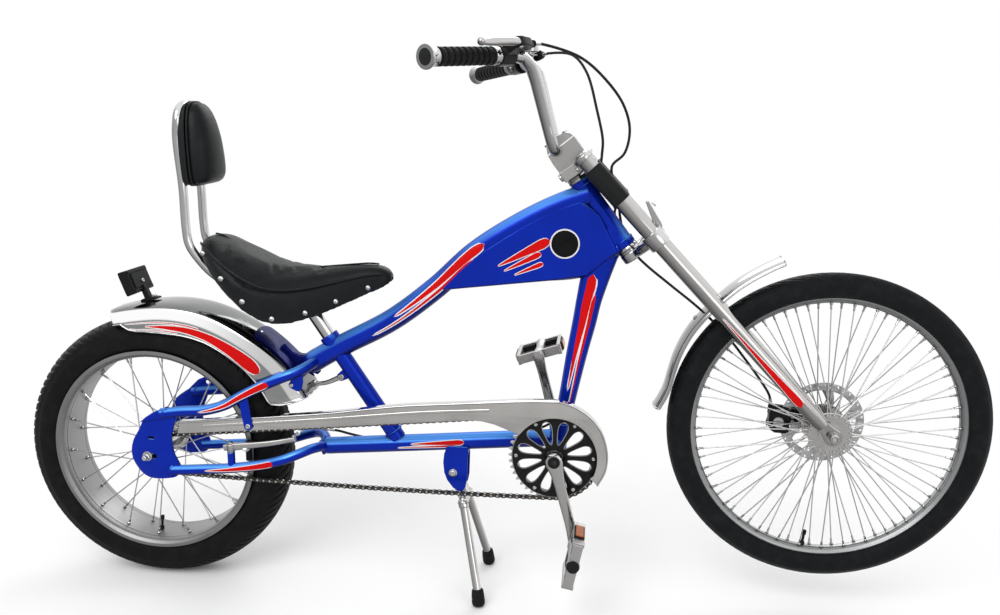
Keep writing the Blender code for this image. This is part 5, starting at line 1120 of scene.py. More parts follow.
@dataclass
class Wheel(Assembly):
    """A spoked wheel with its tyre."""

    name: str
    hub: Place
    tyre_radius: float
    tyre_half: float
    rim_radius: float
    rim_half: float
    rim_depth: float
    flanges: tuple[float, float]
    flange_radius: float
    spokes: int
    crossing: float
    tip_y: float
    spoke_radius: float
    tyre: Finish
    rim: Finish

    def build(self) -> None:
        """Make the wheel."""
        body = f"{self.name}_wheel"
        self.add(f"{self.name}_tyre_casing", self.casing(), self.tyre, body, [f"{self.name}_tyre"], angle=70)
        self.add(f"{self.name}_rim_hoop", self.hoop(), self.rim, body, [f"{self.name}_rim"])
        spokes, nipples = self.lacing()
        self.add(f"{self.name}_spokes", spokes, STEEL, body, [f"{self.name}_hub_spokes"])
        self.add(f"{self.name}_nipples", nipples, CHROME, body)
        self.add(f"{self.name}_hub_shell", self.shell(), SATIN, body)
        inner = self.rim_radius - self.rim_depth
        stem = polar(self.hub, inner + 0.003, -96)
        tip = polar(self.hub, inner - 0.03, -96)
        top = polar(self.hub, inner - 0.02, -96)
        valve = Shape.rod(at(stem), at(tip), 0.0026, 14, 0.0006) + Shape.rod(at(top), at(tip), 0.004, 14, 0.001)
        valve += Shape.rod(at(stem), at(polar(self.hub, inner - 0.006, -96)), 0.0046, 14, 0.001)
        self.add(f"{self.name}_valve", valve, PLASTIC, body)

    def casing(self) -> bpy.types.Mesh:
        """Make the tyre with its moulded tread.

        Returns:
            The tyre's mesh.
        """
        around = 1080
        section = 72
        rear = self.name == "rear"
        depth = self.tyre_radius - self.rim_radius
        turns = np.linspace(math.radians(-128), math.radians(128), section)
        bead = self.rim_radius + 0.0005
        low = self.rim_radius + depth * (0.44 if rear else 0.5)
        high = self.tyre_radius - low
        angles = 2 * np.pi * np.arange(around) / around
        profile = []
        for turn in turns:
            y = self.tyre_half * np.sign(turn) * abs(math.sin(turn)) ** 0.88
            r = low + (high if math.cos(turn) > 0 else (low - bead) / abs(math.cos(turns[0]))) * math.cos(turn)
            profile.append((r, y))
        profile += [(bead - 0.004, self.tyre_half * 0.7), (bead - 0.004, -self.tyre_half * 0.7)]
        rings = []
        reach = 62 if rear else 44
        count = 88 if rear else 96
        for angle in angles:
            ring = []
            for k, (r, y) in enumerate(profile):
                sink = 0.0
                if k < section:
                    turn = turns[k]
                    lean = abs(math.degrees(turn))
                    if lean < reach + 16:
                        sink = self.groove(angle, turn, lean, reach, count, rear)
                r2 = r - sink * max(0.25, math.cos(turns[k])) if k < section else r
                y2 = y - sink * math.sin(turns[k]) if k < section else y
                ring.append((self.hub[0] + r2 * math.cos(angle), y2, self.hub[1] + r2 * math.sin(angle)))
            rings.append(ring)
        shape = Shape.skin(rings, closed=True)
        return shape.to_mesh(f"{self.name}_tyre_casing")

    @staticmethod
    def groove(angle: float, turn: float, lean: float, reach: float, count: int, rear: bool) -> float:
        """Give the depth of the tread's grooves at a place of the casing.

        Args:
            angle: place round the wheel in radians.
            turn: place round the section in radians.
            lean: the same, in degrees without its sign.
            reach: where the shoulder blocks end.
            count: shoulder blocks round the wheel.
            rear: whether this is the rear tyre's coarser tread.

        Returns:
            Depth in metres.
        """
        side = 0.0 if turn > 0 else 0.5
        phase = (angle / (2 * math.pi) * count + side + (lean / reach) ** 1.4 * (1.5 if rear else 1.9)) % 1.0
        edge = abs(phase - 0.5) * 2
        cut_depth = min(1.0, max(0.0, (0.34 - edge) / 0.12))
        deep = 0.0027 if rear else 0.0011
        fade = min(1.0, max(0.0, (reach - lean) / 7)) * min(1.0, max(0.0, (lean - (15 if rear else 8)) / 5))
        depth = cut_depth * fade * deep
        rib = abs(lean - (13 if rear else 6))
        depth = max(depth, deep * 0.9 * max(0.0, 1 - rib / 2.2))
        step = min(1.0, max(0.0, (lean - reach) / 3)) * (0.0012 if rear else 0.0005)
        return depth + step

    def hoop(self) -> Shape:
        """Make the rim with its lips and its wide inner face.

        Returns:
            The rim.
        """
        r, w, d = self.rim_radius, self.rim_half, self.rim_depth
        half = [(r + 0.001, w - 0.003), (r + 0.0022, w - 0.0018), (r + 0.0018, w - 0.0004), (r - 0.0005, w),
            (r - d * 0.36, w), (r - d * 0.46, w - 0.0012), (r - d * 0.66, w - 0.003), (r - d * 0.8, w - 0.0058),
            (r - d * 0.88, w - 0.01)]
        if self.name == "rear":
            half += [(r - d * 0.9, w * 0.66), (r - d * 0.82, w * 0.655), (r - d * 0.82, w * 0.635),
                (r - d * 0.92, w * 0.63), (r - d * 0.97, w * 0.42), (r - d, w * 0.12)]
        else:
            half += [(r - d * 0.97, w * 0.35), (r - d, w * 0.12)]
        back = [(r - d * 0.45, w * 0.15), (r - d * 0.3, w - 0.01), (r - 0.002, w - 0.0042)]
        profile = half + [(a, -b) for a, b in reversed(half)] + [(a, -b) for a, b in reversed(back)] + back
        return Shape.lathe(at(self.hub), Y_AXIS, profile, 300)

    def lacing(self) -> tuple[Shape, Shape]:
        """Make the crossed spokes and the nipples.

        Returns:
            The spokes and the nipples.
        """
        spokes, nipples = [], []
        inner = self.rim_radius - self.rim_depth
        half = self.spokes // 2
        for k in range(self.spokes):
            side = self.flanges[k % 2]
            sign = 1 if side > 0 else -1
            pair = k // 2
            lead = 1 if pair % 2 else -1
            step = 360 / half
            rim_turn = (k + 0.5) * 360 / self.spokes
            hub_turn = rim_turn + lead * self.crossing * step * 1.9
            inside = 0.0022 if pair % 2 else -0.0018
            foot = at(polar(self.hub, self.flange_radius - 0.0045, hub_turn), side + sign * inside)
            bend = at(polar(self.hub, self.flange_radius - 0.0045, hub_turn), side - sign * 0.002)
            tip = at(polar(self.hub, inner - 0.001, rim_turn), sign * self.tip_y)
            r = self.spoke_radius
            spokes.append(Shape.rod(foot, tip, r, 8))
            spokes.append(Shape.rod(bend, foot + Y_AXIS * sign * 0.0012, r * 1.8, 8, 0.0004))
            way = (foot - tip).normalized()
            nipples.append(Shape.rod(tip - way * 0.002, tip + way * 0.011, 0.0021, 8, 0.0003))
            nipples.append(Shape.rod(tip - way * 0.001, tip + way * 0.0022, 0.0034, 10, 0.0008))
        return Shape.union(spokes), Shape.union(nipples)

    def shell(self) -> Shape:
        """Make the hub's shell with its drilled flanges.

        Returns:
            The shell.
        """
        low, high = min(self.flanges), max(self.flanges)
        f = self.flange_radius
        core = 0.0165 if self.name == "rear" else 0.0175
        ends = 0.064 if self.name == "rear" else 0.0425
        body_profile = [(0, -ends), (0.0105, -ends), (0.012, -ends + 0.0012), (0.0125, low - 0.0045),
            (core + 0.004, low - 0.003), (core + 0.004, low + 0.003), (core, low + 0.011), (core - 0.0015, 0.0),
            (core, high - 0.011), (core + 0.004, high - 0.003), (core + 0.004, high + 0.003), (0.0125, high + 0.0045),
            (0.012, ends - 0.0012), (0.0105, ends), (0, ends)]
        shell = Shape.lathe(at(self.hub), Y_AXIS, body_profile, 48)
        half = self.spokes // 2
        for flange in (low, high):
            outline = arc(self.hub, f, 0, 359.9 * 95 / 96, 95)
            loops = [outline]
            first = 0 if flange == self.flanges[0] else 1
            for k in range(half):
                k2 = 2 * k + first
                lead = 1 if (k2 // 2) % 2 else -1
                turn = (k2 + 0.5) * 360 / self.spokes + lead * self.crossing * 360 / half * 1.9
                hole = polar(self.hub, f - 0.0045, turn)
                loops.append(arc(hole, self.spoke_radius * 1.35, 0, 330, 11))
            shell += Shape.plate(loops, flange - 0.0016, flange + 0.0016, bevel=0.0005)
        return shell


@dataclass
class AxlesAndRotor(Assembly):
    """Both axles with their nuts, and the front brake's rotor."""

    def build(self) -> None:
        """Make the pieces."""
        for name, hub, inside, nut, size, end, body in (("rear", REAR_HUB, 0.0753, 0.0833, 0.014, 0.0903, "frame"),
                ("front", FRONT_HUB, 0.0588, 0.0655, 0.0165, 0.0703, "steering"),):
            self.add(f"{name}_axle_rod", Shape.rod(at(hub, -end), at(hub, end), 0.0049, 20, 0.001), STEEL, body,
                [f"{name}_axle"])
            nuts = []
            for _, sign in SIDES:
                out = Y_AXIS * sign
                wide = 0.01 if name == "rear" else 0.0116
                nuts.append(Shape.lathe(at(hub), out, [(0.0048, inside), (wide - 0.0004, inside),
                    (wide, inside + 0.0004), (wide, inside + 0.0012), (0.0048, inside + 0.0016)], 32))
                nuts.append(hexagon(at(hub) + out * (inside + 0.0014), out, size, nut - inside - 0.0014, 0.0048))
                if name == "front":
                    nuts.append(Shape.lathe(at(hub), out, [(0.0046, nut - 0.001), (0.0088, nut - 0.001),
                        (0.0088, end - 0.001), (0.0076, end + 0.0004), (0.005, end + 0.0004), (0.0046, end - 0.002)],
                        28))
            self.add(f"{name}_axle_nuts", nuts, CHROME, body, bevel=0.0004)
        loops = [arc(FRONT_HUB, 0.08, 0, 356, 89)]
        for k in range(6):
            loops.append(self.window(k))
        for k in range(36):
            radius = 0.0758 if k % 2 else 0.07
            loops.append(self.slot(polar(FRONT_HUB, radius, k * 10), k * 10 + 35))
        loops.append(arc(FRONT_HUB, 0.0165, 0, 350, 35))
        self.add("brake_rotor_disc", Shape.plate(loops, 0.032, 0.034, bevel=0.0002), STEEL, "front_wheel",
            ["brake_rotor"])
        bolts = [socket_bolt(at(polar(FRONT_HUB, 0.0215, 60 * k + 20), 0.0338), Y_AXIS, 0.004, 0.0022)
            for k in range(6)]
        self.add("brake_rotor_bolts", bolts, CHROME, "front_wheel")

    @staticmethod
    def window(k: int) -> list[Place]:
        """Give one of the openings between the rotor's curved arms.

        Args:
            k: number of the opening.

        Returns:
            Its outline.
        """
        radii = np.linspace(0.0285, 0.064, 9)
        lean = 26
        first = [polar(FRONT_HUB, r, 60 * k + 8 + lean * ((r - 0.0285) / 0.0355) ** 0.7) for r in radii]
        last = [polar(FRONT_HUB, r, 60 * k + 52 + lean * ((r - 0.0285) / 0.0355) ** 0.7 - 4) for r in radii]
        outer = [polar(FRONT_HUB, 0.0645, 60 * k + 8 + lean + 40 * t / 6) for t in range(1, 6)]
        inner = [polar(FRONT_HUB, 0.028, 60 * k + 8 + 40 * t / 4) for t in range(1, 4)]
        return first + outer + last[::-1] + inner[::-1]

    @staticmethod
    def slot(place: Place, degrees: float) -> list[Place]:
        """Give one of the rotor's wiping slots.

        Args:
            place: its middle.
            degrees: the way it lies.

        Returns:
            Its outline.
        """
        turn = math.radians(degrees)
        long = (math.cos(turn) * 0.0022, math.sin(turn) * 0.0022)
        short = (-math.sin(turn) * 0.0013, math.cos(turn) * 0.0013)
        corners = [(-1, -1), (1, -1), (1, 1), (-1, 1)]
        return [(place[0] + a * long[0] + b * short[0], place[1] + a * long[1] + b * short[1]) for a, b in corners]


DEEP_SECTION = ((0.0, 0.0, 0.016), (0.15, 0.25, 0.016), (0.3, 0.5, 0.0151), (0.41, 0.7, 0.0135), (0.49, 0.83, 0.0113),
    (0.54, 0.905, 0.0088), (0.575, 0.945, 0.0058), (0.6, 0.958, 0.003), (0.67, 0.984, -0.008), (0.7, 0.995, -0.0125),
    (0.73, 1.0, -0.0165), (1.0, 1.0, 0.0))


def fender_section(centre: Place, station: Sequence[float], half: float, rise: float, share: float,
        less: float = 0.0) -> np.ndarray:
    """Give a point of a mudguard's section.

    Args:
        centre: the wheel's centre.
        station: angle in degrees and edge radius; for a deep mudguard also its skirt's lower radius and
            the share of its width that it has there.
        half: half-width of the mudguard.
        rise: height of its crown over its edges.
        share: place across, from -1 to 1.
        less: how far inside the outer skin.

    Returns:
        The point.
    """
    if len(station) > 2:
        table = np.array(DEEP_SECTION)
        across = float(np.interp(abs(share), table[:, 0], table[:, 1]))
        lift = float(np.interp(min(abs(share), 0.73), table[:, 0], table[:, 2]))
        radius = station[1] + lift
        if abs(share) > 0.73:
            skirt = min(station[2], radius)
            radius += (skirt - radius) * (abs(share) - 0.73) / 0.27
        place = polar(centre, radius - less, station[0])
        width = half * station[3] - less
        return np.array((place[0], math.copysign(across, share) * width, place[1]))
    bow = math.sqrt(max(0.0, 1 - abs(share) ** 2.6))
    place = polar(centre, station[1] + rise * bow - less, station[0])
    return np.array((place[0], (half - less * 0.6) * share, place[1]))


@dataclass
class Fenders(Assembly):
    """Both chrome mudguards, their straps and stripes, and the rear reflector."""

    rear: tuple[Place, ...] = ((21.5, 0.335), (28, 0.3313), (34.5, 0.327), (42, 0.321), (49, 0.3152), (55.8, 0.3107),
        (62.9, 0.307), (70, 0.3032), (80.8, 0.2958), (92, 0.2885), (105.2, 0.285),)
    skirt: tuple[Place, ...] = ((21.5, 0.32), (22.3, 0.296), (24.0, 0.279), (26.0, 0.2758), (36, 0.275), (42, 0.2736),
        (48, 0.2704), (55, 0.268), (62, 0.266), (70, 0.261), (78, 0.2552), (85, 0.2525), (93, 0.253), (96.5, 0.257),
        (98.8, 0.265), (100.4, 0.279), (105.2, 0.29),)
    ends: tuple[Place, ...] = ((21.5, 0.9), (22.5, 0.965), (24, 1.0), (99.5, 1.0), (101.5, 0.985), (103.2, 0.93),
        (104.5, 0.8), (105.2, 0.6))
    front: tuple[Place, ...] = ((107.9, 0.333), (116, 0.3285), (124, 0.325), (130, 0.3218), (137.6, 0.3198),
        (145.5, 0.3182), (153.6, 0.3145), (161.3, 0.3095), (166.9, 0.308), (170.5, 0.3115), (174.3, 0.319),)
    reflector_outline: Rows = mm((-10, -24), (8.5, -25), (10.5, -23), (10.5, 23), (8.5, 25), (-10, 24))
    lens_outline: Rows = mm((10, -19.5), (12.2, -18.5), (12.2, 18.5), (10, 19.5))

    def build(self) -> None:
        """Make both mudguards."""
        stations = []
        for row in smooth([(a / 100, r, 0) for a, r in self.rear], 0.008):
            angle = float(row[0]) * 100
            stations.append((angle, float(row[1]), float(np.interp(angle, *zip(*self.skirt))),
                float(np.interp(angle, *zip(*self.ends)))))
        self.skin("rear_mudguard", REAR_HUB, stations, 0.0575, 0.016, "frame", "rear_fender")
        streaks = ((37.0, 52.0, 0.865, 0.115), (66.0, 32.0, 0.768, 0.011), (74.0, 22.0, 0.945, 0.009))
        for finish, more, lift in ((WHITE, 0.02, 0.0003), (RED, 0.0, 0.0005)):
            patches = []
            for number, (first, length, level, wide) in enumerate(streaks):
                lift += number * 0.00008
                for sign in (-1, 1):
                    def spot(a: float, b: float) -> np.ndarray:
                        """Place a corner of the streak, a along it and b across it."""
                        angle = first + length * a
                        station = [float(np.interp(angle, [s[0] for s in stations], [s[k] for s in stations]))
                            for k in range(4)]
                        half = wide * teardrop(a, 0.13 if wide > 0.1 else 0.05) + (more if 0 < a < 1 else 0.0)
                        share = min(max(level + half * (2 * b - 1), 0.735), 0.985)
                        return fender_section(REAR_HUB, station, 0.0575 + lift, 0.016, sign * share)

                    patches.append(Shape.patch(spot, 60, 6))
            self.add(f"rear_mudguard_{finish.name}", patches, finish)
        front = [(float(row[0]) * 100, float(row[1])) for row in smooth([(a / 100, r, 0) for a, r in self.front],
            0.008)]
        self.skin("front_mudguard", FRONT_HUB, front, 0.029, 0.011, "steering", "front_fender")
        self.mounts()
        self.reflector()

    def skin(self, name: str, centre: Place, stations: Sequence[Place], half: float, rise: float, body: str,
            node: str) -> None:
        """Make a mudguard's sheet with rolled edges.

        Args:
            name: the piece's name.
            centre: the wheel's centre.
            stations: angles and edge radii along it.
            half: its half-width.
            rise: its crown's height.
            body: the body that carries it.
            node: the frame node that it stands for.
        """
        turns = np.linspace(-math.pi / 2, math.pi / 2, 29)
        shares = [math.sin(t) for t in turns]
        finish = CHROME
        # the deep mudguard's finish carries a painted highlight along its shoulders
        if len(stations[0]) > 2:
            finish = FENDER
            shares = sorted({sign * row[0] for row in DEEP_SECTION for sign in (-1, 1)} | {-0.86, 0.86})
        rings = []
        for station in stations:
            outer = [fender_section(centre, station, half, rise, s) for s in shares]
            inner = [fender_section(centre, station, half, rise, s, 0.0016) for s in reversed(shares)]
            rings.append(outer + inner)
        self.add(f"{name}_sheet", Shape.skin(rings), finish, body, [node], angle=50)
        rolled = []
        for sign in (-1, 1):
            line = [(*fender_section(centre, s, half, rise, sign * 1.0),) for s in stations]
            rolled.append(Shape.tube(Path(line, 0.0016), 10))
        for station in (stations[0], stations[-1]):
            line = [(*fender_section(centre, station, half, rise, s),) for s in shares]
            line = [spot for index, spot in enumerate(line) if not index or math.dist(spot, line[index - 1]) > 1e-6]
            rolled.append(Shape.tube(Path(line, 0.0015, X_AXIS), 10))
        self.add(f"{name}_rolled_edge", rolled, CHROME, body)

    def mounts(self) -> None:
        """Make the straps and bolts that hold the mudguards."""
        bolts = []
        for angle, radius, y in ((47.6, 0.3345, -0.01), (31.5, 0.3465, -0.008)):
            place = at(polar(REAR_HUB, radius, angle), y)
            out = (place - at(REAR_HUB, y)).normalized()
            bolts.append(socket_bolt(place - out * 0.0012, out, 0.0048, 0.0032))
        self.add("rear_mudguard_bolts", bolts, CHROME)
        centre = at(polar(FRONT_HUB, 0.3318, 141))
        self.add("front_mudguard_bolt", socket_bolt(centre - (centre - at(FRONT_HUB)).normalized() * 0.002,
            (centre - at(FRONT_HUB)).normalized(), 0.005, 0.003), STEEL, "steering")

    def reflector(self) -> None:
        """Make the rear reflector on its stalk."""
        turn = math.radians(92)
        out = Vector((math.cos(turn), 0, math.sin(turn)))
        aft = Vector((-out.z, 0, out.x))
        aft = (aft - out * 0.175).normalized()
        out = Vector((aft.z, 0, -aft.x))
        base = at(polar(REAR_HUB, 0.305, 92))
        view = (base, aft, out, Y_AXIS)
        foot = Shape.prism(mm((-22, 0), (14, 0), (14, 4), (10, 5.2), (-14, 5.2), (-22, 3)), -0.01, 0.01, view)
        stalk = Shape.prism(mm((-6, 3), (6, 3), (10, 34), (0, 34)), -0.0065, 0.0065, view)
        self.add("reflector_stalk", foot + stalk, PLASTIC, "frame", ["rear_reflector"], bevel=0.001)
        housing_view = (base + out * 0.044 + aft * 0.017, (aft - out * 0.15).normalized(),
            (out + aft * 0.15).normalized(), Y_AXIS)
        self.add("reflector_housing", Shape.prism(self.reflector_outline, -0.038, 0.038, housing_view), BLACK,
            bevel=0.0016, segments=3)
        back = [Shape.prism(mm((-12.5, -15), (-9.5, -16), (-9.5, 16), (-12.5, 15)), -0.03, 0.03, housing_view)]
        back += [Shape.prism([(-0.0122, s * 0.0185 - 0.0018), (-0.0095, s * 0.0185 - 0.0018),
            (-0.0095, s * 0.0185 + 0.0018), (-0.0122, s * 0.0185 + 0.0018)], -0.035, 0.035, housing_view)
            for s in (-1, 1)]
        self.add("reflector_back", back, PLASTIC, bevel=0.0008)
        self.add("reflector_lens", Shape.prism(self.lens_outline, -0.0355, 0.0355, housing_view), RED_LENS,
            bevel=0.001)
        fixings = [socket_bolt(housing_view[0] - housing_view[1] * 0.0122 - housing_view[2] * 0.004, -housing_view[1],
            0.004, 0.0034), hexagon(base + out * 0.004 - aft * 0.014, out, 0.008, 0.0035)]
        for sign in (-1, 1):
            fixings.append(Shape.rod(base + out * 0.0062 - aft * 0.014, base + out * 0.01 - aft * 0.014 + Y_AXIS
                * sign * 0.008, 0.0013, 12, 0.0004))
        self.add("reflector_fixings", fixings, STEEL)


SEAT_STAY = mm((34, 366.5), (80, 373), (123.5, 377), (167, 390), (200, 409), (241, 430.5), (284, 450))
SEAT_STAY_TURN = mm((306, 66, 458), (322, 48, 464), (333, 22, 468.5), (336, 0, 470))
CHAIN_STAY = mm((48, 247.5), (104, 252), (174, 258.5), (247, 271), (285, 283))
CHAIN_STAY_TURN = mm((310, 62, 291.5), (329, 42, 295), (341, 20, 292.5), (346, 0, 290.5))
TOP_TUBE = mm((310, 455, 11), (315, 458.2, 17.8), (323, 463.5, 21.5), (348, 479, 22), (391.6, 504, 22),
    (487.5, 556, 22), (575, 622.5, 22), (654.5, 695.5, 22), (748, 756, 22), (822, 792.5, 22))
BOTTOM_TUBE = mm((332, 287, 9), (338, 287.4, 14.5), (347, 288, 16.8), (380, 290.5, 17), (820, 328, 17))
DOWN_TUBE = mm((816, 310, 16.5), (834, 400, 16.8), (853, 506, 20.5), (865.5, 568, 23), (872.5, 608, 24.3),
    (883.5, 655, 27.5), (899, 705, 29))


@dataclass
class FrameTubes(Assembly):
    """The painted frame with its plates, welds and stripes, and its bearings."""

    top: Path = field(default_factory=lambda: Path(smooth([(x, 0, z, r, r) for x, z, r in TOP_TUBE]
        + [(*head(0, 0.13), 0.022, 0.022)], 0.007)))
    down: Path = field(default_factory=lambda: Path(smooth([(x, 0, z, r, 0.019) for x, z, r in DOWN_TUBE]
        + [(*head(0, 0.048), 0.024, 0.019)], 0.008)))
    bottom: Path = field(default_factory=lambda: Path(smooth([(x, 0, z, r, r) for x, z, r in BOTTOM_TUBE], 0.007)))
    panel_outline: Rows = mm((584, 620.5), (640, 627.5), (700, 634.5), (759, 641.5), (815, 648), (868, 657),
        (925, 705), (888, 775), (850, 800), (800, 782), (748, 753), (700, 722), (655, 692), (620, 660))
    stay_corners: Rows = mm((-5, 350), (6, 358), (18, 366), (34, 374.5), (50, 373), (66, 366), (58, 340), (52.5, 315),
        (55.5, 285), (66, 257), (60, 237), (36, 230), (5, 230), (-10, 237), (-20, 248), (-29, 264), (-33, 281),
        (-31, 298), (-26, 312), (-14, 332), (-5, 350))
    stay_end: Rows = mm((-10.5, 347.5), (3, 359), (20, 370.5), (34, 376.5), (48, 379), (62, 377.5), (62, 360),
        (42, 356.5), (20, 355))
    right_lug: Rows = mm((301, 456), (323, 464), (323.5, 440), (320.5, 426), (314, 420), (307, 422), (295, 428),
        (293.5, 435), (300, 442))
    left_lug: Rows = mm((5, 345), (27.1, 375.1), (47.2, 394.8), (60, 400.5), (72.6, 402.1), (82, 397.5), (87.1, 388),
        (83, 372), (40, 360))
    plate_outline: Rows = mm((600, 306), (594, 290), (592, 272), (594, 250), (600, 234), (612, 218), (624, 211),
        (630, 210), (637, 220), (640, 236), (642, 306))
    lever_ear: Rows = mm((10, -72), (29, -74.5), (32.5, -79), (32.5, -87), (29, -90.5), (10, -94))
    headset_cup: Rows = mm((14.6, 0), (20.2, 0), (20.8, 0.6), (20.8, 4.6), (20.2, 5.2), (19.6, 5.8), (20.6, 6.4),
        (20.6, 8.6), (20, 9.6), (19, 11.3), (14.6, 11.5))
    shell_profile: Rows = mm((10, 49), (15, 49), (15, 50), (19.5, 50.2), (19.8, 50.8), (19.8, 53), (19, 53.9),
        (10, 54))

    def build(self) -> None:
        """Make the frame."""
        self.add("frame_top_tube", Shape.tube(self.top, 40), PAINT, "frame", ["main_frame"])
        self.add("frame_down_tube", Shape.tube(self.down, 40, 2.2), PAINT)
        self.add("frame_bottom_tube", Shape.tube(self.bottom, 36), PAINT)
        foot = seat_line(-0.25)
        bore = Shape.rod(seat_line(-0.03), seat_line(0.02), 0.0146, 40)
        self.add("frame_seat_tube", cut(Shape.rod(foot, seat_line(0), 0.0165, 48), [bore]), PAINT, bevel=0.0006)
        collar = Shape.lathe(seat_line(-0.03), SEAT_UP, mm((16.8, 0), (18.6, 1), (19, 4), (19, 30), (18.4, 31.2),
            (15, 31.4), (15, 0)), 48)
        self.add("frame_seat_collar", collar, PAINT)
        head_tube = Shape.lathe(head(0, 0), HEAD_UP, mm((16, 12.2), (19.6, 12.2), (20.2, 13), (20.2, 22),
            (19.6, 23.6), (18.2, 26), (18, 87), (18.2, 148.5), (19.6, 150.9), (20.2, 152.5), (20.2, 161.5),
            (19.6, 162.3), (16, 162.3)), 56)
        self.add("frame_head_tube", head_tube, PAINT)
        shell = Shape.lathe(at(BRACKET), Y_AXIS, mm((19.6, -49.8), (20.6, -50), (21.2, -49), (21.2, 49), (20.6, 50),
            (19.6, 49.8)), 56)
        self.add("frame_bracket_shell", shell, PAINT)
        self.panel()
        self.stays()
        self.plates()
        self.welds()
        self.stripes()
        self.bearings()

    def panel(self) -> None:
        """Make the swelling web between the tubes, with a plain badge on each side."""
        self.add("frame_panel", Shape.prism(self.panel_outline, -0.0214, 0.0214), PAINT, bevel=0.006, segments=5)
        lower = Path(smooth([(0.572, 0, 0.6265, 0.005, 0.015), (0.586, 0, 0.6285, 0.0072, 0.0175),
            (0.64, 0, 0.6355, 0.0085, 0.0192), (0.759, 0, 0.65, 0.0095, 0.0196), (0.868, 0, 0.6665, 0.011, 0.0196),
            (0.925, 0, 0.712, 0.012, 0.019)], 0.008))
        self.add("frame_panel_rail", Shape.tube(lower, 32), PAINT)
        badges, rims = [], []
        for _, sign in SIDES:
            centre = at((0.8245, 0.718), 0.0)
            out = Y_AXIS * sign
            badges.append(Shape.lathe(centre, out, mm((0, 21.2), (25.5, 21.2), (25.5, 22.4), (24.3, 22.7), (12, 23.3),
                (0, 23.5)), 64))
            rims.append(Shape.lathe(centre, out, mm((25.3, 20.4), (28.1, 20.4), (28.1, 22.4), (26.9, 23.1),
                (25.3, 22.6)), 64))
        self.add("frame_badge", badges, BADGE)
        self.add("frame_badge_rim", rims, WHITE)
        for finish, more, low, high in ((WHITE, 0.0014, 0.0209, 0.0217), (RED, 0.0, 0.0212, 0.022)):
            darts = []
            for first, last, half in (((0.7965, 0.724), (0.698, 0.672), 0.0088), ((0.781, 0.699), (0.71, 0.663),
                    0.0052), ((0.785, 0.68), (0.73, 0.656), 0.004)):
                way = Vector((last[0] - first[0], last[1] - first[1]))
                length = way.length
                way.normalize()
                edge = [(t * length, (half * teardrop(t, 0.16) + (more if 0 < t < 1 else 0.0)))
                    for t in np.linspace(0, 1, 33)]
                ring = edge + [(s, -w) for s, w in reversed(edge[1:-1])]
                dart = [(first[0] + way.x * s - way.y * w, first[1] + way.y * s + way.x * w) for s, w in ring]
                darts += both(dart, low, high)
            self.add(f"panel_{finish.name}", darts, finish)

    def stays(self) -> None:
        """Make the stays, the dropouts and the lugs on them."""
        tubes = []
        for line, turn, radius in ((SEAT_STAY, SEAT_STAY_TURN, 0.0105), (CHAIN_STAY, CHAIN_STAY_TURN, 0.01)):
            half = [(x, -STAY_Y, z) for x, z in line] + [(x, -y, z) for x, y, z in turn]
            other = [(x, -y, z) for x, y, z in half[-2::-1]]
            path = Path(smooth(half + other, 0.007), radius, Z_AXIS)
            tubes.append(Shape.tube(path, 28))
        self.add("frame_stays", tubes, PAINT, "frame", ["stays_right", "stays_left"])
        outline = [(row[0], row[2]) for row in smooth([at(c) for c in self.stay_corners], 0.004)[:-1]]
        slot = arc(REAR_HUB, 0.0056, 90, 270, 12) + arc((0.014, REAR_HUB[1]), 0.0056, -90, 90, 12)
        small = arc((0.006, 0.315), 0.003, 90, 270, 8) + arc((0.014, 0.315), 0.003, -90, 90, 8)
        plates = []
        for _, sign in SIDES:
            plates.append(Shape.plate([outline, slot, small], sign * STAY_Y - 0.003, sign * STAY_Y + 0.003,
                bevel=0.0008))
        self.add("frame_dropouts", plates, PAINT)
        bosses, pins = [], []
        for _, sign in SIDES:
            y = sign * STAY_Y
            bosses.append(Shape.rod(at((0.174, 0.262), y), at((0.174, 0.2925), y), 0.0075, 28, 0.0008))
            pins.append(Shape.rod(at((0.174, 0.29), y), at((0.174, 0.3112), y), 0.0036, 20, 0.0005))
            pins.append(socket_bolt(at((0.174, 0.3094), y), Z_AXIS, 0.0052, 0.004))
        self.add("brake_bosses", bosses, PAINT)
        self.add("brake_boss_bolts", pins, CHROME)
        tab = [(0.196, 0.4), (0.205, 0.406), (0.215, 0.406), (0.2215, 0.356)] + arc((0.213, 0.349), 0.0088, 20, -180,
            16)
        self.add("guard_tab", Shape.prism(tab, -0.0757, -0.0728), PAINT, bevel=0.0008)
        self.add("frame_stay_ends", both(self.stay_end, 0.0745, 0.079), PAINT, bevel=0.0018, segments=3)
        self.add("mudguard_lugs", both(self.right_lug, 0.059, 0.0625), PAINT, bevel=0.0014, segments=3)
        bolts = [socket_bolt(at((0.3, 0.433), sign * 0.0625), Y_AXIS * sign, 0.0042, 0.0028) for _, sign in SIDES]
        self.add("mudguard_lug_bolts", bolts, CHROME)
        eye = arc((0.068, 0.39), 0.0042, 0, 345, 23)
        self.add("left_lug", Shape.plate([self.left_lug, eye], STAY_Y - 0.0025, STAY_Y + 0.0025, bevel=0.0006), PAINT)

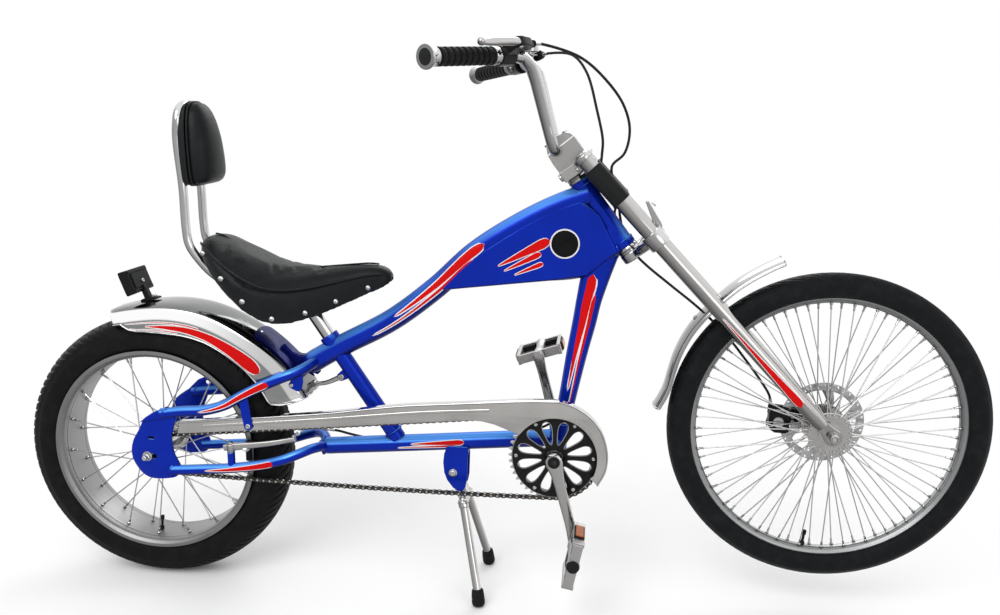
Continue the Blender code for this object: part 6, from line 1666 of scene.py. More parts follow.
    def plates(self) -> None:
        """Make the stand's plates, the mudguard's strap and the seat lever's ears."""
        sides = both(self.plate_outline, 0.017, 0.0205)
        sides.append(Shape.prism(mm((597, 291), (643, 291), (643, 300.5), (597, 300.5)), -0.019, 0.019))
        self.add("stand_bracket", sides, PAINT, bevel=0.0009)
        rings = []
        for angle in np.linspace(49.6, 27.5, 30):
            station = (angle, float(np.interp(angle, *zip(*Fenders.rear))), 0.3, 1.0)
            reach = 0.36 * math.sqrt(max(0.0, 1 - max(0.0, (angle - 47.4) / 2.25) ** 2)) + 0.03
            across = [reach * t for t in np.linspace(-1, 1, 13)]
            outer = [fender_section(REAR_HUB, station, 0.0575, 0.016, s, -0.0042) for s in across]
            inner = [fender_section(REAR_HUB, station, 0.0575, 0.016, s, -0.0004) for s in reversed(across)]
            rings.append(outer + inner)
        # the plate takes the darker copy of the blue paint, which is painted shade
        self.add("mudguard_plate", Shape.skin(rings), SHADED_PAINT, bevel=0.0012, angle=50)
        crest = [polar(REAR_HUB, r + 0.017, a) for a, r in ((28, 0.3313), (34.5, 0.327), (40, 0.3226))]
        outside = [(0.27, 0.503), (0.286, 0.486), (0.3, 0.48), (0.318, 0.479), (0.333, 0.478), (0.341, 0.47),
            (0.335, 0.459)]
        # the strap takes the same darker paint, which is painted shade
        self.add("mudguard_strap", Shape.prism(crest + outside, -0.01, 0.01), SHADED_PAINT, bevel=0.003, segments=3)
        view = (at(SEAT_TOP), SEAT_BACK, SEAT_UP, Y_AXIS)
        self.add("seat_lever_ears", both(self.lever_ear, 0.0046, 0.0086, view), PAINT, bevel=0.0006)

    def welds(self) -> None:
        """Lay rippled beads where the tubes meet."""
        beads = []
        foot = seat_line(-0.25)
        joints = [(at((0.826, 0.36)), Vector((0.17, 0, 0.98)), 0.0172, 0.019), (at((0.806, 0.3317)), X_AXIS, 0.0176,
            0.0176), (foot + SEAT_UP * 0.017, SEAT_UP, 0.0172, 0.0172), (head(0.0, 0.0236), HEAD_UP, 0.019, 0.019),
            (head(0.0, 0.15), HEAD_UP, 0.019, 0.019), (at((0.343, 0.2884)), X_AXIS, 0.0176, 0.0176)]
        for centre, axis, high, wide in joints:
            axis = axis.normalized()
            up = Y_AXIS.cross(axis)
            ring = []
            for k in range(145):
                turn = 2 * math.pi * k / 144
                place = centre + up * (high * math.sin(turn)) + Y_AXIS * (wide * math.cos(turn))
                ring.append((*place, 0.0017 + 0.0004 * (k % 3 == 0), 0.0017 + 0.0004 * (k % 3 == 0)))
            beads.append(Shape.tube(Path(ring, side=axis), 8))
        for x, z, sign in [(x, z, s) for s in (-1, 1) for x, z in ((0.045, 0.369), (0.052, 0.248))]:
            ring = []
            for k in range(61):
                turn = 2 * math.pi * k / 60
                ring.append((x + 0.004 * math.cos(turn), sign * STAY_Y + 0.0085 * math.cos(turn),
                    z + 0.01 * math.sin(turn), 0.0018 + 0.0003 * (k % 2), 0.0018 + 0.0003 * (k % 2)))
            beads.append(Shape.tube(Path(ring, side=X_AXIS), 8))
        self.add("frame_welds", beads, PAINT, angle=80)

    def stripes(self) -> None:
        """Lay the tapering stripes on the tubes and stays."""
        tube_stripes(self.shop, "top_tube", self.top, 0.675, 0.24, "frame")
        tube_stripes(self.shop, "down_tube", self.down, 0.8, 0.14, "frame")
        tube_stripes(self.shop, "bottom_tube", self.bottom, 0.62, 0.34, "frame", 0.46)
        stays = []
        for line, name in ((SEAT_STAY, "seat_stay"), (CHAIN_STAY, "chain_stay")):
            for side, sign in SIDES:
                points = [(x, sign * STAY_Y, z) for x, z in line]
                path = Path(smooth(points, 0.008), 0.0105 if name == "seat_stay" else 0.01, Y_AXIS * sign)
                stays.append((f"{name}_{side}", path))
        for name, path in stays:
            for finish, more, lift in ((WHITE, 0.16, 0.00025), (RED, 0.0, 0.00045)):
                def spot(a: float, b: float) -> np.ndarray:
                    """Place a corner of the stripe, a along it and b across it."""
                    width = 0.55 * teardrop(a) + (more if 0 < a < 1 else 0.0)
                    return path.spot(0.92 - 0.62 * a, width * (2 * b - 1), lift)

                self.add(f"{name}_{finish.name}", Shape.patch(spot, 24, 6), finish)

    def bearings(self) -> None:
        """Make the headset's cups and the bottom bracket's cups."""
        for name, foot in (("lower", 0.0), ("upper", HEAD_LENGTH - 0.0115)):
            self.add(f"headset_{name}_cup", Shape.lathe(head(0, foot), HEAD_UP, self.headset_cup, 48), CHROME,
                "frame", [f"headset_{name}"])
        cups = []
        for _, sign in SIDES:
            cups.append(Shape.lathe(at(BRACKET), Y_AXIS * sign, self.shell_profile, 40))
        self.add("bracket_cups", cups, STEEL, "frame", ["bottom_bracket"])


@dataclass
class Fork(Assembly):
    """The double-crown fork with its sleeve, stem and lower crown."""

    stem_cap: Rows = mm((6, -3), (6.6, -4), (9.4, -3.7), (10, -2.6))
    mount_outline: Rows = mm((1306, 392), (1305, 408), (1299, 412), (1286, 408), (1270, 400), (1268, 380),
        (1270, 356), (1290, 356), (1325, 360))
    crown_outline: Rows = mm((-12, -4), (10, -4), (10.5, 2), (8, 8), (-16, 46), (-19, 46.8), (-22, 44), (-8, 10))

    def build(self) -> None:
        """Make the fork."""
        end = LEG_LENGTH - 0.03
        for side, sign in SIDES:
            y = sign * LEG_Y
            profile = [(0, -0.0032), (0.0085, -0.003), (0.0125, -0.0016), (0.0143, 0.0006), (0.015, 0.0034),
                (0.015, end - 0.03), (0.0144, end - 0.01), (0.0118, end), (0, end + 0.004)]
            self.add(f"fork_tube_{side}", Shape.lathe(leg(0, 0, y), LEG_DOWN, profile, 56), POLISHED, "steering",
                [f"fork_leg_{side}"])
            self.add(f"fork_cap_{side}", Shape.lathe(leg(0, 0, y), LEG_DOWN, self.stem_cap, 40), CHROME, "steering")
            self.lug(side, sign)
            for finish, more, lift in ((WHITE, 0.1, 0.00025), (RED, 0.0, 0.00045)):
                line = Path([leg(LEG_LENGTH * k / 60, 0, y) for k in range(61)], 0.015, Y_AXIS * sign)

                def spot(a: float, b: float) -> np.ndarray:
                    """Place a corner of the stripe, a along it and b across it."""
                    width = (0.5 * (1 - a) + 0.04) * teardrop(a, 0.1) ** 0.4 + (more if 0 < a < 1 else 0.0)
                    return line.spot(0.875 - 0.32 * a, 0.3 + width * (2 * b - 1), lift)

                self.add(f"fork_{side}_{finish.name}", Shape.patch(spot, 40, 8), finish, "steering")
        self.sleeve()
        self.crown()
        self.stem()

    def lug(self, side: str, sign: int) -> None:
        """Make a leg's flattened end, and the brake's mount on the left one.

        Args:
            side: its name.
            sign: the sign of y.
        """
        view = (at(FRONT_HUB), LEG_DOWN, LEG_FORWARD, Y_AXIS)
        outline = arc((0, 0), 0.0165, -112, 112, 28) + [(-0.02, 0.0118), (-0.06, 0.0105), (-0.06, -0.0105),
            (-0.02, -0.0118)]
        hole = arc((0, 0), 0.0058, 0, 345, 23)
        low, high = sorted((sign * 0.05, sign * 0.0588))
        self.add(f"fork_end_{side}", Shape.plate([outline, hole], low, high, view, 0.0012), POLISHED, "steering")
        if side == "left":
            self.add("caliper_mount", Shape.prism(self.mount_outline, 0.051, 0.0555), POLISHED, "steering",
                bevel=0.001)

    def sleeve(self) -> None:
        """Make the black wrap round both legs, with its cable holes."""
        view = (leg(0), LEG_FORWARD, Y_AXIS, LEG_DOWN)
        turns = [math.radians(a) for a in np.linspace(90, -135, 36)]

        def outline(radius: float) -> list[Place]:
            """Draw the crown's outline round both legs."""
            half = [(radius * math.sin(a), LEG_Y + radius * math.cos(a)) for a in turns]
            return half + [(x, -y) for x, y in reversed(half)]

        wrap = Shape.prism(outline(0.018), 0.03, 0.11, view)
        tools = [Shape.prism(outline(0.0159), 0.02, 0.12, view)]
        for along, y, length in ((0.0358, 0.004, 0.022), (0.064, -0.018, 0.02)):
            slot_view = (leg(along, 0.0169, y), Y_AXIS, LEG_DOWN, LEG_FORWARD)
            rounded = arc((0.0, -length / 2 + 0.004), 0.0046, 180, 360, 10)
            rounded += arc((0.0, length / 2 - 0.004), 0.0046, 0, 180, 10)
            tools.append(Shape.prism(rounded, -0.008, 0.008, slot_view))
        self.add("fork_sleeve", cut(wrap, tools), PLASTIC, "steering", ["cable_sleeve"], bevel=0.0005)
        rims = []
        for along in (0.0312, 0.1088):
            for _, sign in SIDES:
                ring = [leg(along, 0, 0) + LEG_FORWARD * (0.0181 * math.sin(a)) + Y_AXIS * sign
                    * (LEG_Y + 0.0181 * math.cos(a)) for a in turns]
                rims.append(Shape.tube(Path(ring, 0.001), 8))
            rims.append(Shape.rod(leg(along, 0.0181, -LEG_Y), leg(along, 0.0181, LEG_Y), 0.001, 10))
        self.add("fork_sleeve_rims", rims, PLASTIC, "steering")

    @staticmethod
    def clamp(sign: int, first: float, last: float, r: float = 0.0204) -> Shape:
        """Make a collar round one leg.

        Args:
            sign: the sign of y.
            first: distance down the leg to its top.
            last: distance to its foot.
            r: its outer radius.

        Returns:
            The collar.
        """
        inner = 0.01502
        edge = 0.0016
        profile = [(inner, first), (r - edge, first), (r - edge * 0.3, first + edge * 0.3), (r, first + edge),
            (r, last - edge), (r - edge * 0.3, last - edge * 0.3), (r - edge, last), (inner, last)]
        return Shape.lathe(leg(0, 0, sign * LEG_Y), LEG_DOWN, profile, 56)

    def crown(self) -> None:
        """Make the lower crown with its arms, pinch bolts and bracket."""
        clamps = [self.clamp(sign, 0.1875, 0.2175) for _, sign in SIDES]
        self.add("crown_clamps", clamps, CHROME, "steering", ["lower_crown"])
        boss = Shape.lathe(head(0, -0.017), HEAD_UP, mm((0, 0), (20, 0), (21.5, 1.5), (21.5, 15), (20.5, 16.6),
            (0, 16.6)), 48)
        arms = []
        for _, sign in SIDES:
            target = leg(0.2025, 0, sign * LEG_Y)
            line = smooth([head(0.004, -0.0085, 0), head(0.016, -0.0075, sign * 0.022), target], 0.004)
            rows = [(*p, 0.0088, 0.0105) for p in line]
            arms.append(Shape.tube(Path(rows, side=HEAD_FORWARD), 28, 2.8))
        bridge = Shape.rod(leg(0.1985, 0.012, -LEG_Y + 0.012), leg(0.1985, 0.012, LEG_Y - 0.012), 0.0055, 24)
        self.add("crown_arms", [boss, *arms, bridge], CHROME, "steering")
        foot = leg(0.1915, 0.0155)
        view = (foot, X_AXIS, Z_AXIS, Y_AXIS)
        self.add("crown_bracket", Shape.prism(self.crown_outline, -0.012, 0.012, view), CHROME, "steering",
            bevel=0.0012)
        bolts = []
        for _, sign in SIDES:
            spot = leg(0.202, -0.0165, sign * (LEG_Y - 0.0145))
            bolts.append(Shape.prism(mm((-6, -9), (6, -9), (6, 9), (-6, 9)), -0.008, 0.0045, (spot, LEG_DOWN, Y_AXIS,
                -LEG_FORWARD)))
            bolts.append(socket_bolt(spot - LEG_FORWARD * 0.0045, -LEG_FORWARD, 0.005, 0.0045))
        bolts.append(socket_bolt(foot + Vector((-0.0075, 0, 0.0385)), (LEG_FORWARD + Z_AXIS * 0.2).normalized(),
            0.005, 0.0035))
        self.add("crown_bolts", bolts, STEEL, "steering", bevel=0.0006)

    def stem(self) -> None:
        """Make the stem: its plate, its block, the clamps and the bolts."""
        top = HEAD_LENGTH
        plate = [(-0.02, top + 0.0006), (0.013, top + 0.0006), (0.04, top + 0.006), (0.04, top + 0.022),
            (-0.02, top + 0.022)]
        self.add("stem_plate", Shape.prism(plate, -0.05, 0.05, HEAD_VIEW), CAST, "steering", ["stem"], bevel=0.0018,
            segments=3)
        clamps = [self.clamp(sign, 0.0006, 0.0105, 0.019) for _, sign in SIDES]
        self.add("stem_clamps", clamps, CHROME, "steering")
        block = [(-0.02, top + 0.018), (-0.0205, top + 0.04), (-0.019, top + 0.06), (-0.012, top + 0.0735),
            (0.004, top + 0.078), (0.018, top + 0.0778), (0.03, top + 0.0755), (0.0375, top + 0.069),
            (0.04, top + 0.06), (0.04, top + 0.018)]
        cuts = [Shape.rod(BAR_CENTRE - Y_AXIS * 0.05, BAR_CENTRE + Y_AXIS * 0.05, 0.01125, 48)]
        slit_view = (head(0, top + 0.047), HEAD_FORWARD, HEAD_UP, Y_AXIS)
        cuts.append(Shape.prism(mm((-30, 12), (0, 12), (0, 14), (-30, 14)), -0.04, 0.04, slit_view))
        cuts.append(Shape.prism(mm((0, 12), (60, 14), (60, 16), (0, 14)), -0.04, 0.04, slit_view))
        self.add("stem_block", cut(Shape.prism(block, -0.03, 0.03, HEAD_VIEW), cuts), CAST, "steering", bevel=0.0014,
            segments=3)
        bolts, sockets = [], []
        for y in (-0.02, 0.02):
            spot = head(-0.02, top + 0.012, y)
            bolts.append(Shape.lathe(spot, -HEAD_FORWARD, mm((4.4, 0), (7.5, 0), (7.5, 5), (6.6, 6), (4.4, 6)), 32))
            sockets.append(socket_bolt(spot - HEAD_FORWARD * 0.0015, -HEAD_FORWARD, 0.0044, 0.005))
        for y in (-0.02, 0.02):
            for f in (-0.01, 0.03):
                spot = head(f, top + (0.0745 if f < 0 else 0.0755), y)
                bolts.append(socket_bolt(spot - HEAD_UP * 0.0006, HEAD_UP, 0.0048, 0.0036))
        for _, sign in SIDES:
            spot = leg(0.0145, -0.0195, sign * (LEG_Y - 0.004))
            bolts.append(socket_bolt(spot, -LEG_FORWARD, 0.0046, 0.0036))
        self.add("stem_bolts", bolts, CHROME, "steering")
        self.add("stem_sockets", sockets, BLACK, "steering")
        ring = Shape.lathe(head(0, top + 0.0002), HEAD_UP, mm((14.6, 0), (18, 0), (18.2, 0.5), (14.6, 0.6)), 40)
        steerer = Shape.rod(head(0, -0.0165), head(0, top + 0.015), 0.014, 32)
        self.add("steerer", ring + steerer, STEEL, "steering")


BAR_OFFSETS = mm((0, 34, 0), (-0.8, 42, 2.2), (-4, 47.5, 11), (-15.2, 55, 50.3), (-27.2, 65.5, 94.3),
    (-36.2, 75, 126.3), (-44.2, 85, 145.3), (-56.7, 100, 157.3), (-72.2, 122, 160), (-187, 299, 146.4))


def bar_half(sign: int) -> list[Vector]:
    """List the control points of one half of the handlebar, from the stem out.

    Args:
        sign: the sign of y.

    Returns:
        The points.
    """
    return [BAR_CENTRE + Vector((x, sign * y, z)) for x, y, z in BAR_OFFSETS]


def bar_frame(sign: int) -> tuple[Vector, Vector, Vector, Vector]:
    """Give the end of one half of the bar and its own directions.

    Args:
        sign: the sign of y.

    Returns:
        The end, then inward along the bar, the way that its lever faces, and the lever's pin.
    """
    points = bar_half(sign)
    inward = (points[-2] - points[-1]).normalized()
    facing = Vector((0.754, sign * 0.489, 0.44))
    facing = (facing - inward * facing.dot(inward)).normalized()
    return points[-1], inward, facing, inward.cross(facing)


def bar_point(sign: int, along: float, out: float, across: float = 0.0) -> Vector:
    """Give a point measured from the end of the bar.

    Args:
        sign: the sign of y.
        along: distance inward.
        out: distance the way that the lever faces.
        across: distance along its pin.

    Returns:
        The point.
    """
    end, inward, facing, pin = bar_frame(sign)
    return end + inward * along + facing * out + pin * across


@dataclass
class Controls(Assembly):
    """The handlebar with its grips, levers and bell."""

    perch_outline: Rows = mm((171, 10), (204.5, 10), (205.5, 30), (216, 34), (216, 46), (206, 49), (196, 50.5),
        (186, 53), (179, 53), (173, 52), (171, 48))
    lever_spine: Rows = mm((182, 47.5, 4, 6.2), (170, 47.8, 5.2, 6.4), (155, 47.5, 6.2, 6.2), (140, 47.6, 5.8, 6.2),
        (122, 47.4, 5.2, 6.2), (106, 46.2, 4.6, 6), (94, 46, 4.2, 5.2), (83, 47.4, 4, 4.6))
    thumb_outline: Rows = mm((-5, -3), (-12, -4.5), (-20, -6), (-24, -5.2), (-25.6, 0), (-24, 5.2), (-20, 6),
        (-12, 4.5), (-5, 3))

    def build(self) -> None:
        """Make the controls."""
        right = smooth(bar_half(-1), 0.006)
        left = smooth(bar_half(1), 0.006)
        middle = [tuple(BAR_CENTRE + Y_AXIS * y) for y in (-0.022, -0.01, 0.0, 0.01, 0.022)]
        line = [tuple(p) for p in right[::-1]] + middle + [tuple(p) for p in left]
        self.add("handlebar_tube", Shape.tube(Path(line, 0.0111, X_AXIS), 32), CHROME, "steering", ["handlebar"])
        for side, sign in SIDES:
            self.end(side, sign)
            self.grip(side, sign)
            self.perch(side, sign)
            self.lever(side, sign)
        self.bell()

    @staticmethod
    def turned(sign: int, profile: Sequence[Place], steps: int = 44) -> Shape:
        """Turn a profile about the bar's end.

        Args:
            sign: the sign of y.
            profile: radius and distance inward.
            steps: sides.

        Returns:
            The turned solid.
        """
        end, inward, _, _ = bar_frame(sign)
        return Shape.lathe(end, inward, profile, steps)

    def end(self, side: str, sign: int) -> None:
        """Make the chrome cap at the bar's end and the ring inside the grip.

        Args:
            side: its name.
            sign: the sign of y.
        """
        cap = self.turned(sign, mm((11.2, 19.2), (15, 19.2), (15.5, 18.4), (15.2, 17.4), (15.5, 12.4), (16.4, 8),
            (18, 4), (19.3, 1), (19.5, -0.6), (18.8, -1.8), (15.8, -2), (11.2, -2)))
        self.add(f"bar_cap_{side}", cap, CHROME, "steering", [f"bar_end_{side}"])
        face = self.turned(sign, mm((0, -3), (6, -2.8), (12.5, -2.2), (15.4, -1.2), (15.6, 1.2), (0, 1.2)))
        self.add(f"bar_cap_face_{side}", face, PLASTIC, "steering")
        ring = self.turned(sign, mm((11.2, 155.2), (15, 155.2), (15.8, 156.2), (15.8, 159), (15, 160), (15, 165),
            (15.8, 166), (15.8, 168), (15, 169), (11.2, 169)))
        self.add(f"grip_ring_{side}", ring, CHROME, "steering")

    def grip(self, side: str, sign: int) -> None:
        """Make a grip with rubber ribs.

        Args:
            side: its name.
            sign: the sign of y.
        """
        core = self.turned(sign, mm((11.2, 19.4), (14.8, 19.4), (15.2, 20.6), (14.2, 22), (13, 23.2), (13, 151),
            (14.8, 152.5), (15.2, 154.5), (11.2, 155)))
        self.add(f"grip_core_{side}", core, GRIP, "steering", [f"grip_{side}"])
        ribs = []
        for row in range(9):
            s = 0.0246 + row * 0.0141
            ribs.append(self.turned(sign, [(0.0125, s), (0.0141, s), (0.0148, s + 0.001), (0.0151, s + 0.003),
                (0.0151, s + 0.0074), (0.0148, s + 0.0094), (0.0141, s + 0.0104), (0.0125, s + 0.0104)]))
        self.add(f"grip_ribs_{side}", ribs, GRIP, "steering")

    def perch(self, side: str, sign: int) -> None:
        """Make a lever's perch with its adjuster.

        Args:
            side: its name.
            sign: the sign of y.
        """
        end, inward, facing, pin = bar_frame(sign)
        collar = self.turned(sign, mm((11.2, 170.2), (16, 170.2), (17.4, 171.5), (17.4, 205.5), (16, 206.8),
            (11.2, 206.8)))
        self.add(f"perch_collar_{side}", collar, BLACK, "steering", [f"brake_perch_{side}"])
        view = (end, inward, facing, pin)
        self.add(f"perch_body_{side}", Shape.prism(self.perch_outline, -0.0085, 0.0085, view), BLACK, "steering",
            bevel=0.0022, segments=3)
        barrel = bar_point(sign, 0.21, 0.04)
        tip = bar_point(sign, 0.227, 0.04)
        way = (tip - barrel).normalized()
        profile = [(0.0026, 0.0), (0.0052, 0.0), (0.0052, 0.007), (0.0046, 0.0078), (0.0056, 0.0086)]
        for k in range(5):
            z = 0.009 + k * 0.0014
            profile += [(0.0062, z), (0.0056, z + 0.0007)]
        profile += [(0.005, 0.0166), (0.004, 0.0176), (0.0026, 0.0176)]
        self.add(f"perch_adjuster_{side}", Shape.lathe(barrel, way, profile, 28), PLASTIC, "steering")
        self.add(f"perch_adjuster_tip_{side}", Shape.lathe(tip, way, mm((2.6, -1), (3.6, -0.8), (3.6, 1.8),
            (2.6, 2.2)), 24), CHROME, "steering")
        screws = []
        spot = bar_point(sign, 0.179, 0.045, 0.0085)
        screws.append(socket_bolt(spot, pin, 0.0048, 0.0022))
        screws.append(socket_bolt(bar_point(sign, 0.179, 0.045, -0.0085), -pin, 0.0048, 0.0022))
        screws.append(socket_bolt(bar_point(sign, 0.1885, -0.0172, 0.0), -facing, 0.0046, 0.0034))
        screws.append(hexagon(bar_point(sign, 0.2035, 0.0275, 0.0085), pin, 0.008, 0.003))
        self.add(f"perch_screws_{side}", screws, CHROME, "steering")

    def lever(self, side: str, sign: int) -> None:
        """Make a brake lever with its ball end.

        Args:
            side: its name.
            sign: the sign of y.
        """
        rows = [(*bar_point(sign, along, out), high, wide) for along, out, high, wide in self.lever_spine]
        _, _, _, pin = bar_frame(sign)
        path = Path(smooth(rows, 0.004), side=pin)
        blade = Shape.tube(path, 28, 3.2)
        ball = bar_point(sign, 0.0815, 0.0478)
        _, inward, _, _ = bar_frame(sign)
        turns = np.linspace(0, math.pi, 17)
        blade += Shape.lathe(ball, inward, [(0.0068 * math.sin(t), -0.0068 * math.cos(t)) for t in turns], 28)
        self.add(f"lever_blade_{side}", blade, POLISHED, f"lever_{side}", [f"brake_lever_{side}"])
        eye = Shape.rod(bar_point(sign, 0.179, 0.045, -0.0078), bar_point(sign, 0.179, 0.045, 0.0078), 0.0058, 28,
            0.0006)
        self.add(f"lever_eye_{side}", eye, POLISHED, f"lever_{side}")

    def bell(self) -> None:
        """Make the bell with its drum and thumb lever."""
        centre = bar_point(1, 0.2245, 0.0)
        foot = centre + Vector((0.006, 0, 0.0145))
        _, inward, _, _ = bar_frame(1)
        strap = Shape.lathe(centre, inward, mm((11.2, -6), (13.6, -6), (14, -5), (14, 5), (13.6, 6), (11.2, 6)), 36)
        plate = Shape.lathe(foot, Z_AXIS, mm((0, -5), (6, -5), (8, -1), (14.8, 0), (15, 0.8), (15, 2.4), (0, 2.6)),
            40)
        self.add("bell_mount", strap + plate, CHROME, "steering", ["bell_base"])
        drum = Shape.lathe(foot, Z_AXIS, mm((15, 7.8), (16.5, 7.5), (16.5, 15), (16, 17.5), (14.6, 19.8), (11, 21.2),
            (5, 21.7), (0, 21.8)), 56)
        post = Shape.rod(foot + Z_AXIS * 0.002, foot + Z_AXIS * 0.012, 0.004, 20)
        knob = socket_bolt(foot + Z_AXIS * 0.0212, Z_AXIS, 0.004, 0.0026)
        self.add("bell_drum", drum + post + knob, CHROME, "steering", ["bell_dome"])
        view = (foot, X_AXIS, Y_AXIS, Z_AXIS)
        thumb = Shape.prism(self.thumb_outline, 0.0032, 0.0056, view)
        self.add("bell_thumb_blade", thumb, CHROME, "bell_lever", ["bell_thumb_lever"], bevel=0.0008)


@dataclass
class Drive(Assembly):
    """Chainring, cranks, pedals, sprocket, chain and chain guard."""

    ring_y: float = -0.0575
    face_y: float = -0.062
    guard_top: Rows = mm((71, 350), (200, 363.7), (360, 380.8), (519, 403.5), (610, 411.5), (690, 418), (740, 422),
        (790, 424.5), (828, 423.5), (856, 414), (884, 395), (905, 366), (916, 326), (913, 290), (899, 261))

    def build(self) -> None:
        """Make the drive."""
        self.chainring()
        for side, sign in SIDES:
            self.crank(side, sign)
            self.pedal(side, sign)
        self.sprocket()
        self.chain()
        self.guard()

    @staticmethod
    def toothed(centre: Place, teeth: int, pitch_radius: float) -> list[Place]:
        """Give a sprocket's toothed outline.

        Args:
            centre: its centre.
            teeth: number of teeth.
            pitch_radius: radius of the chain's pins on it.

        Returns:
            The outline.
        """
        outline = []
        for k in range(teeth):
            for part, rise in ((0.0, 0.0046), (0.1, 0.004), (0.22, 0.0008), (0.34, -0.0026), (0.5, -0.0037),
                    (0.66, -0.0026), (0.78, 0.0008), (0.9, 0.004)):
                outline.append(polar(centre, pitch_radius + rise, (k + part) * 360 / teeth))
        return outline

    def chainring(self) -> None:
        """Make the toothed ring and the petalled disc."""
        outline = self.toothed(BRACKET, 42, CHAINRING_RADIUS)
        hole = arc(BRACKET, 0.07, 0, 357, 119)
        self.add("chainring_teeth", Shape.plate([outline, hole], CHAIN_Y - 0.0014, CHAIN_Y + 0.0014, bevel=0.0004),
            STEEL, "crank", ["chainring"])
        petals = [self.petal(k, 0.0) for k in range(12)]
        rims = [self.petal(k, 0.0012) for k in range(12)]
        loops = [arc(BRACKET, 0.0822, 0, 357, 119), *petals, arc(BRACKET, 0.016, 0, 350, 35)]
        self.add("chainring_disc", Shape.plate(loops, -0.0622, -0.0592, bevel=0.0005), BLACK, "crank")
        edges = []
        for inner, outer in zip(petals, rims):
            flat = Shape.plate([outer, inner], -0.06235, -0.06215, bevel=0.00008)
            edges.append(flat)
        edges.append(Shape.lathe(at(BRACKET), -Y_AXIS, mm((81.4, 59), (82.8, 59.4), (83, 61), (82.2, 62.4),
            (81.4, 62.4)), 120))
        self.add("chainring_edges", edges, POLISHED, "crank")
        bolts = []
        for k in range(6):
            spot = at(polar(BRACKET, 0.0745, 60 * k - 60), -0.062)
            bolts.append(socket_bolt(spot, -Y_AXIS, 0.0036, 0.0016))
        self.add("chainring_bolts", bolts, CHROME, "crank")

    @staticmethod
    def petal(k: int, grow: float) -> list[Place]:
        """Give one of the disc's petal-shaped openings.

        Args:
            k: its number.
            grow: how much larger than the opening.

        Returns:
            Its outline.
        """
        middle = -75 + 30 * k
        profile = [(0.0262 - grow, 0.0004), (0.0275, 0.0016 + grow), (0.035, 0.0042 + grow), (0.045, 0.0066 + grow),
            (0.054, 0.0083 + grow), (0.06, 0.0089 + grow), (0.065, 0.0082 + grow), (0.07, 0.0058 + grow),
            (0.0722 + grow, 0.0022)]
        turn = math.radians(middle)
        ahead = (math.cos(turn), math.sin(turn))
        beside = (-ahead[1], ahead[0])
        ring = profile + [(r, -w) for r, w in reversed(profile)]
        return [(BRACKET[0] + ahead[0] * r + beside[0] * w, BRACKET[1] + ahead[1] * r + beside[1] * w) for r,
            w in ring]

    def crank(self, side: str, sign: int) -> None:
        """Make a crank arm with its caps.

        Args:
            side: its name.
            sign: the sign of y.
        """
        turn = math.radians(-75 if sign < 0 else 105)
        along = Vector((math.cos(turn), 0, math.sin(turn)))
        rows = []
        for s, half, deep in ((-0.0125, 0.0095, 0.0052), (-0.008, 0.014, 0.0058), (0.0, 0.0165, 0.0062),
                (0.012, 0.015, 0.0062), (0.03, 0.0118, 0.006), (0.08, 0.0102, 0.0057), (0.135, 0.0098, 0.0056),
                (0.152, 0.0108, 0.0058), (0.165, 0.0118, 0.006), (0.1735, 0.0096, 0.0058), (0.177, 0.006, 0.0052)):
            rows.append((*(at(BRACKET, sign * 0.085) + along * s), half, deep))
        path = Path(smooth(rows, 0.004), side=Y_AXIS)
        self.add(f"crank_arm_{side}", Shape.tube(path, 36, 4.2), POLISHED, "crank", [f"crank_{side}"])
        out = Y_AXIS * sign
        boss_end = 0.0625 if sign < 0 else 0.056
        boss = Shape.lathe(at(BRACKET), out, [(0.0085, boss_end), (0.014, boss_end), (0.015, boss_end + 0.002),
            (0.0152, 0.08), (0.0085, 0.081)], 40)
        boss += Shape.lathe(at(polar(BRACKET, 0.165, -75 if sign < 0 else 105)), out, mm((0, 90.2), (7.5, 90.2),
            (7.8, 93), (0, 93)), 32)
        self.add(f"crank_boss_{side}", boss, POLISHED, "crank")
        cap = Shape.lathe(at(BRACKET), out, mm((4, 90.5), (11.2, 90.5), (11.8, 91.3), (11.2, 92.8), (6, 93.4),
            (4.4, 93), (4, 92)), 36)
        self.add(f"crank_cap_{side}", cap, PLASTIC, "crank")
        slots = Shape.lathe(at(BRACKET), out, mm((0, 90), (4.1, 90), (4.1, 92.2), (0, 92.2)), 24)
        self.add(f"crank_cap_hole_{side}", slots, DARK_STEEL, "crank")

    def pedal(self, side: str, sign: int) -> None:
        """Make a pedal with its cage, blocks and reflectors.

        Args:
            side: its name.
            sign: the sign of y.
        """
        pin = polar(BRACKET, 0.165, -75 if sign < 0 else 105)
        lean = math.radians(78 if sign < 0 else 18)
        along = Vector((math.cos(lean), 0, math.sin(lean)))
        up = Vector((-math.sin(lean), 0, math.cos(lean)))
        origin = at(pin, sign * 0.0985)
        out = Y_AXIS * sign
        view = (origin, along, up, out)
        body = f"pedal_{side}"
        cage, blocks = [], []
        for end in (-1, 1):
            bar = [(end * 0.047, -0.011), (end * 0.047, 0.011), (end * 0.04, 0.011), (end * 0.0385, 0.008),
                (end * 0.0385, -0.008), (end * 0.04, -0.011)]
            if end > 0:
                bar = bar[::-1]
            cage.append(Shape.prism(bar, 0.002, 0.09, view))
        for low, high in ((0.0, 0.006), (0.086, 0.092)):
            cage.append(Shape.prism(mm((-44, -9.5), (44, -9.5), (44, 9.5), (-44, 9.5)), low, high, view))
        self.add(f"pedal_cage_{side}", cage, CAST, body, [f"pedal_{side}"], bevel=0.0012, segments=3)
        for end in (-1, 1):
            for row in (0.012, 0.07):
                block = [(end * 0.012, -0.0085), (end * 0.0375, -0.0085), (end * 0.0375, 0.0085),
                    (end * 0.012, 0.0085)]
                if end > 0:
                    block = block[::-1]
                blocks.append(Shape.prism(block, row - 0.005, row + 0.01, view))
        self.add(f"pedal_blocks_{side}", blocks, GRIP, body, bevel=0.0012)
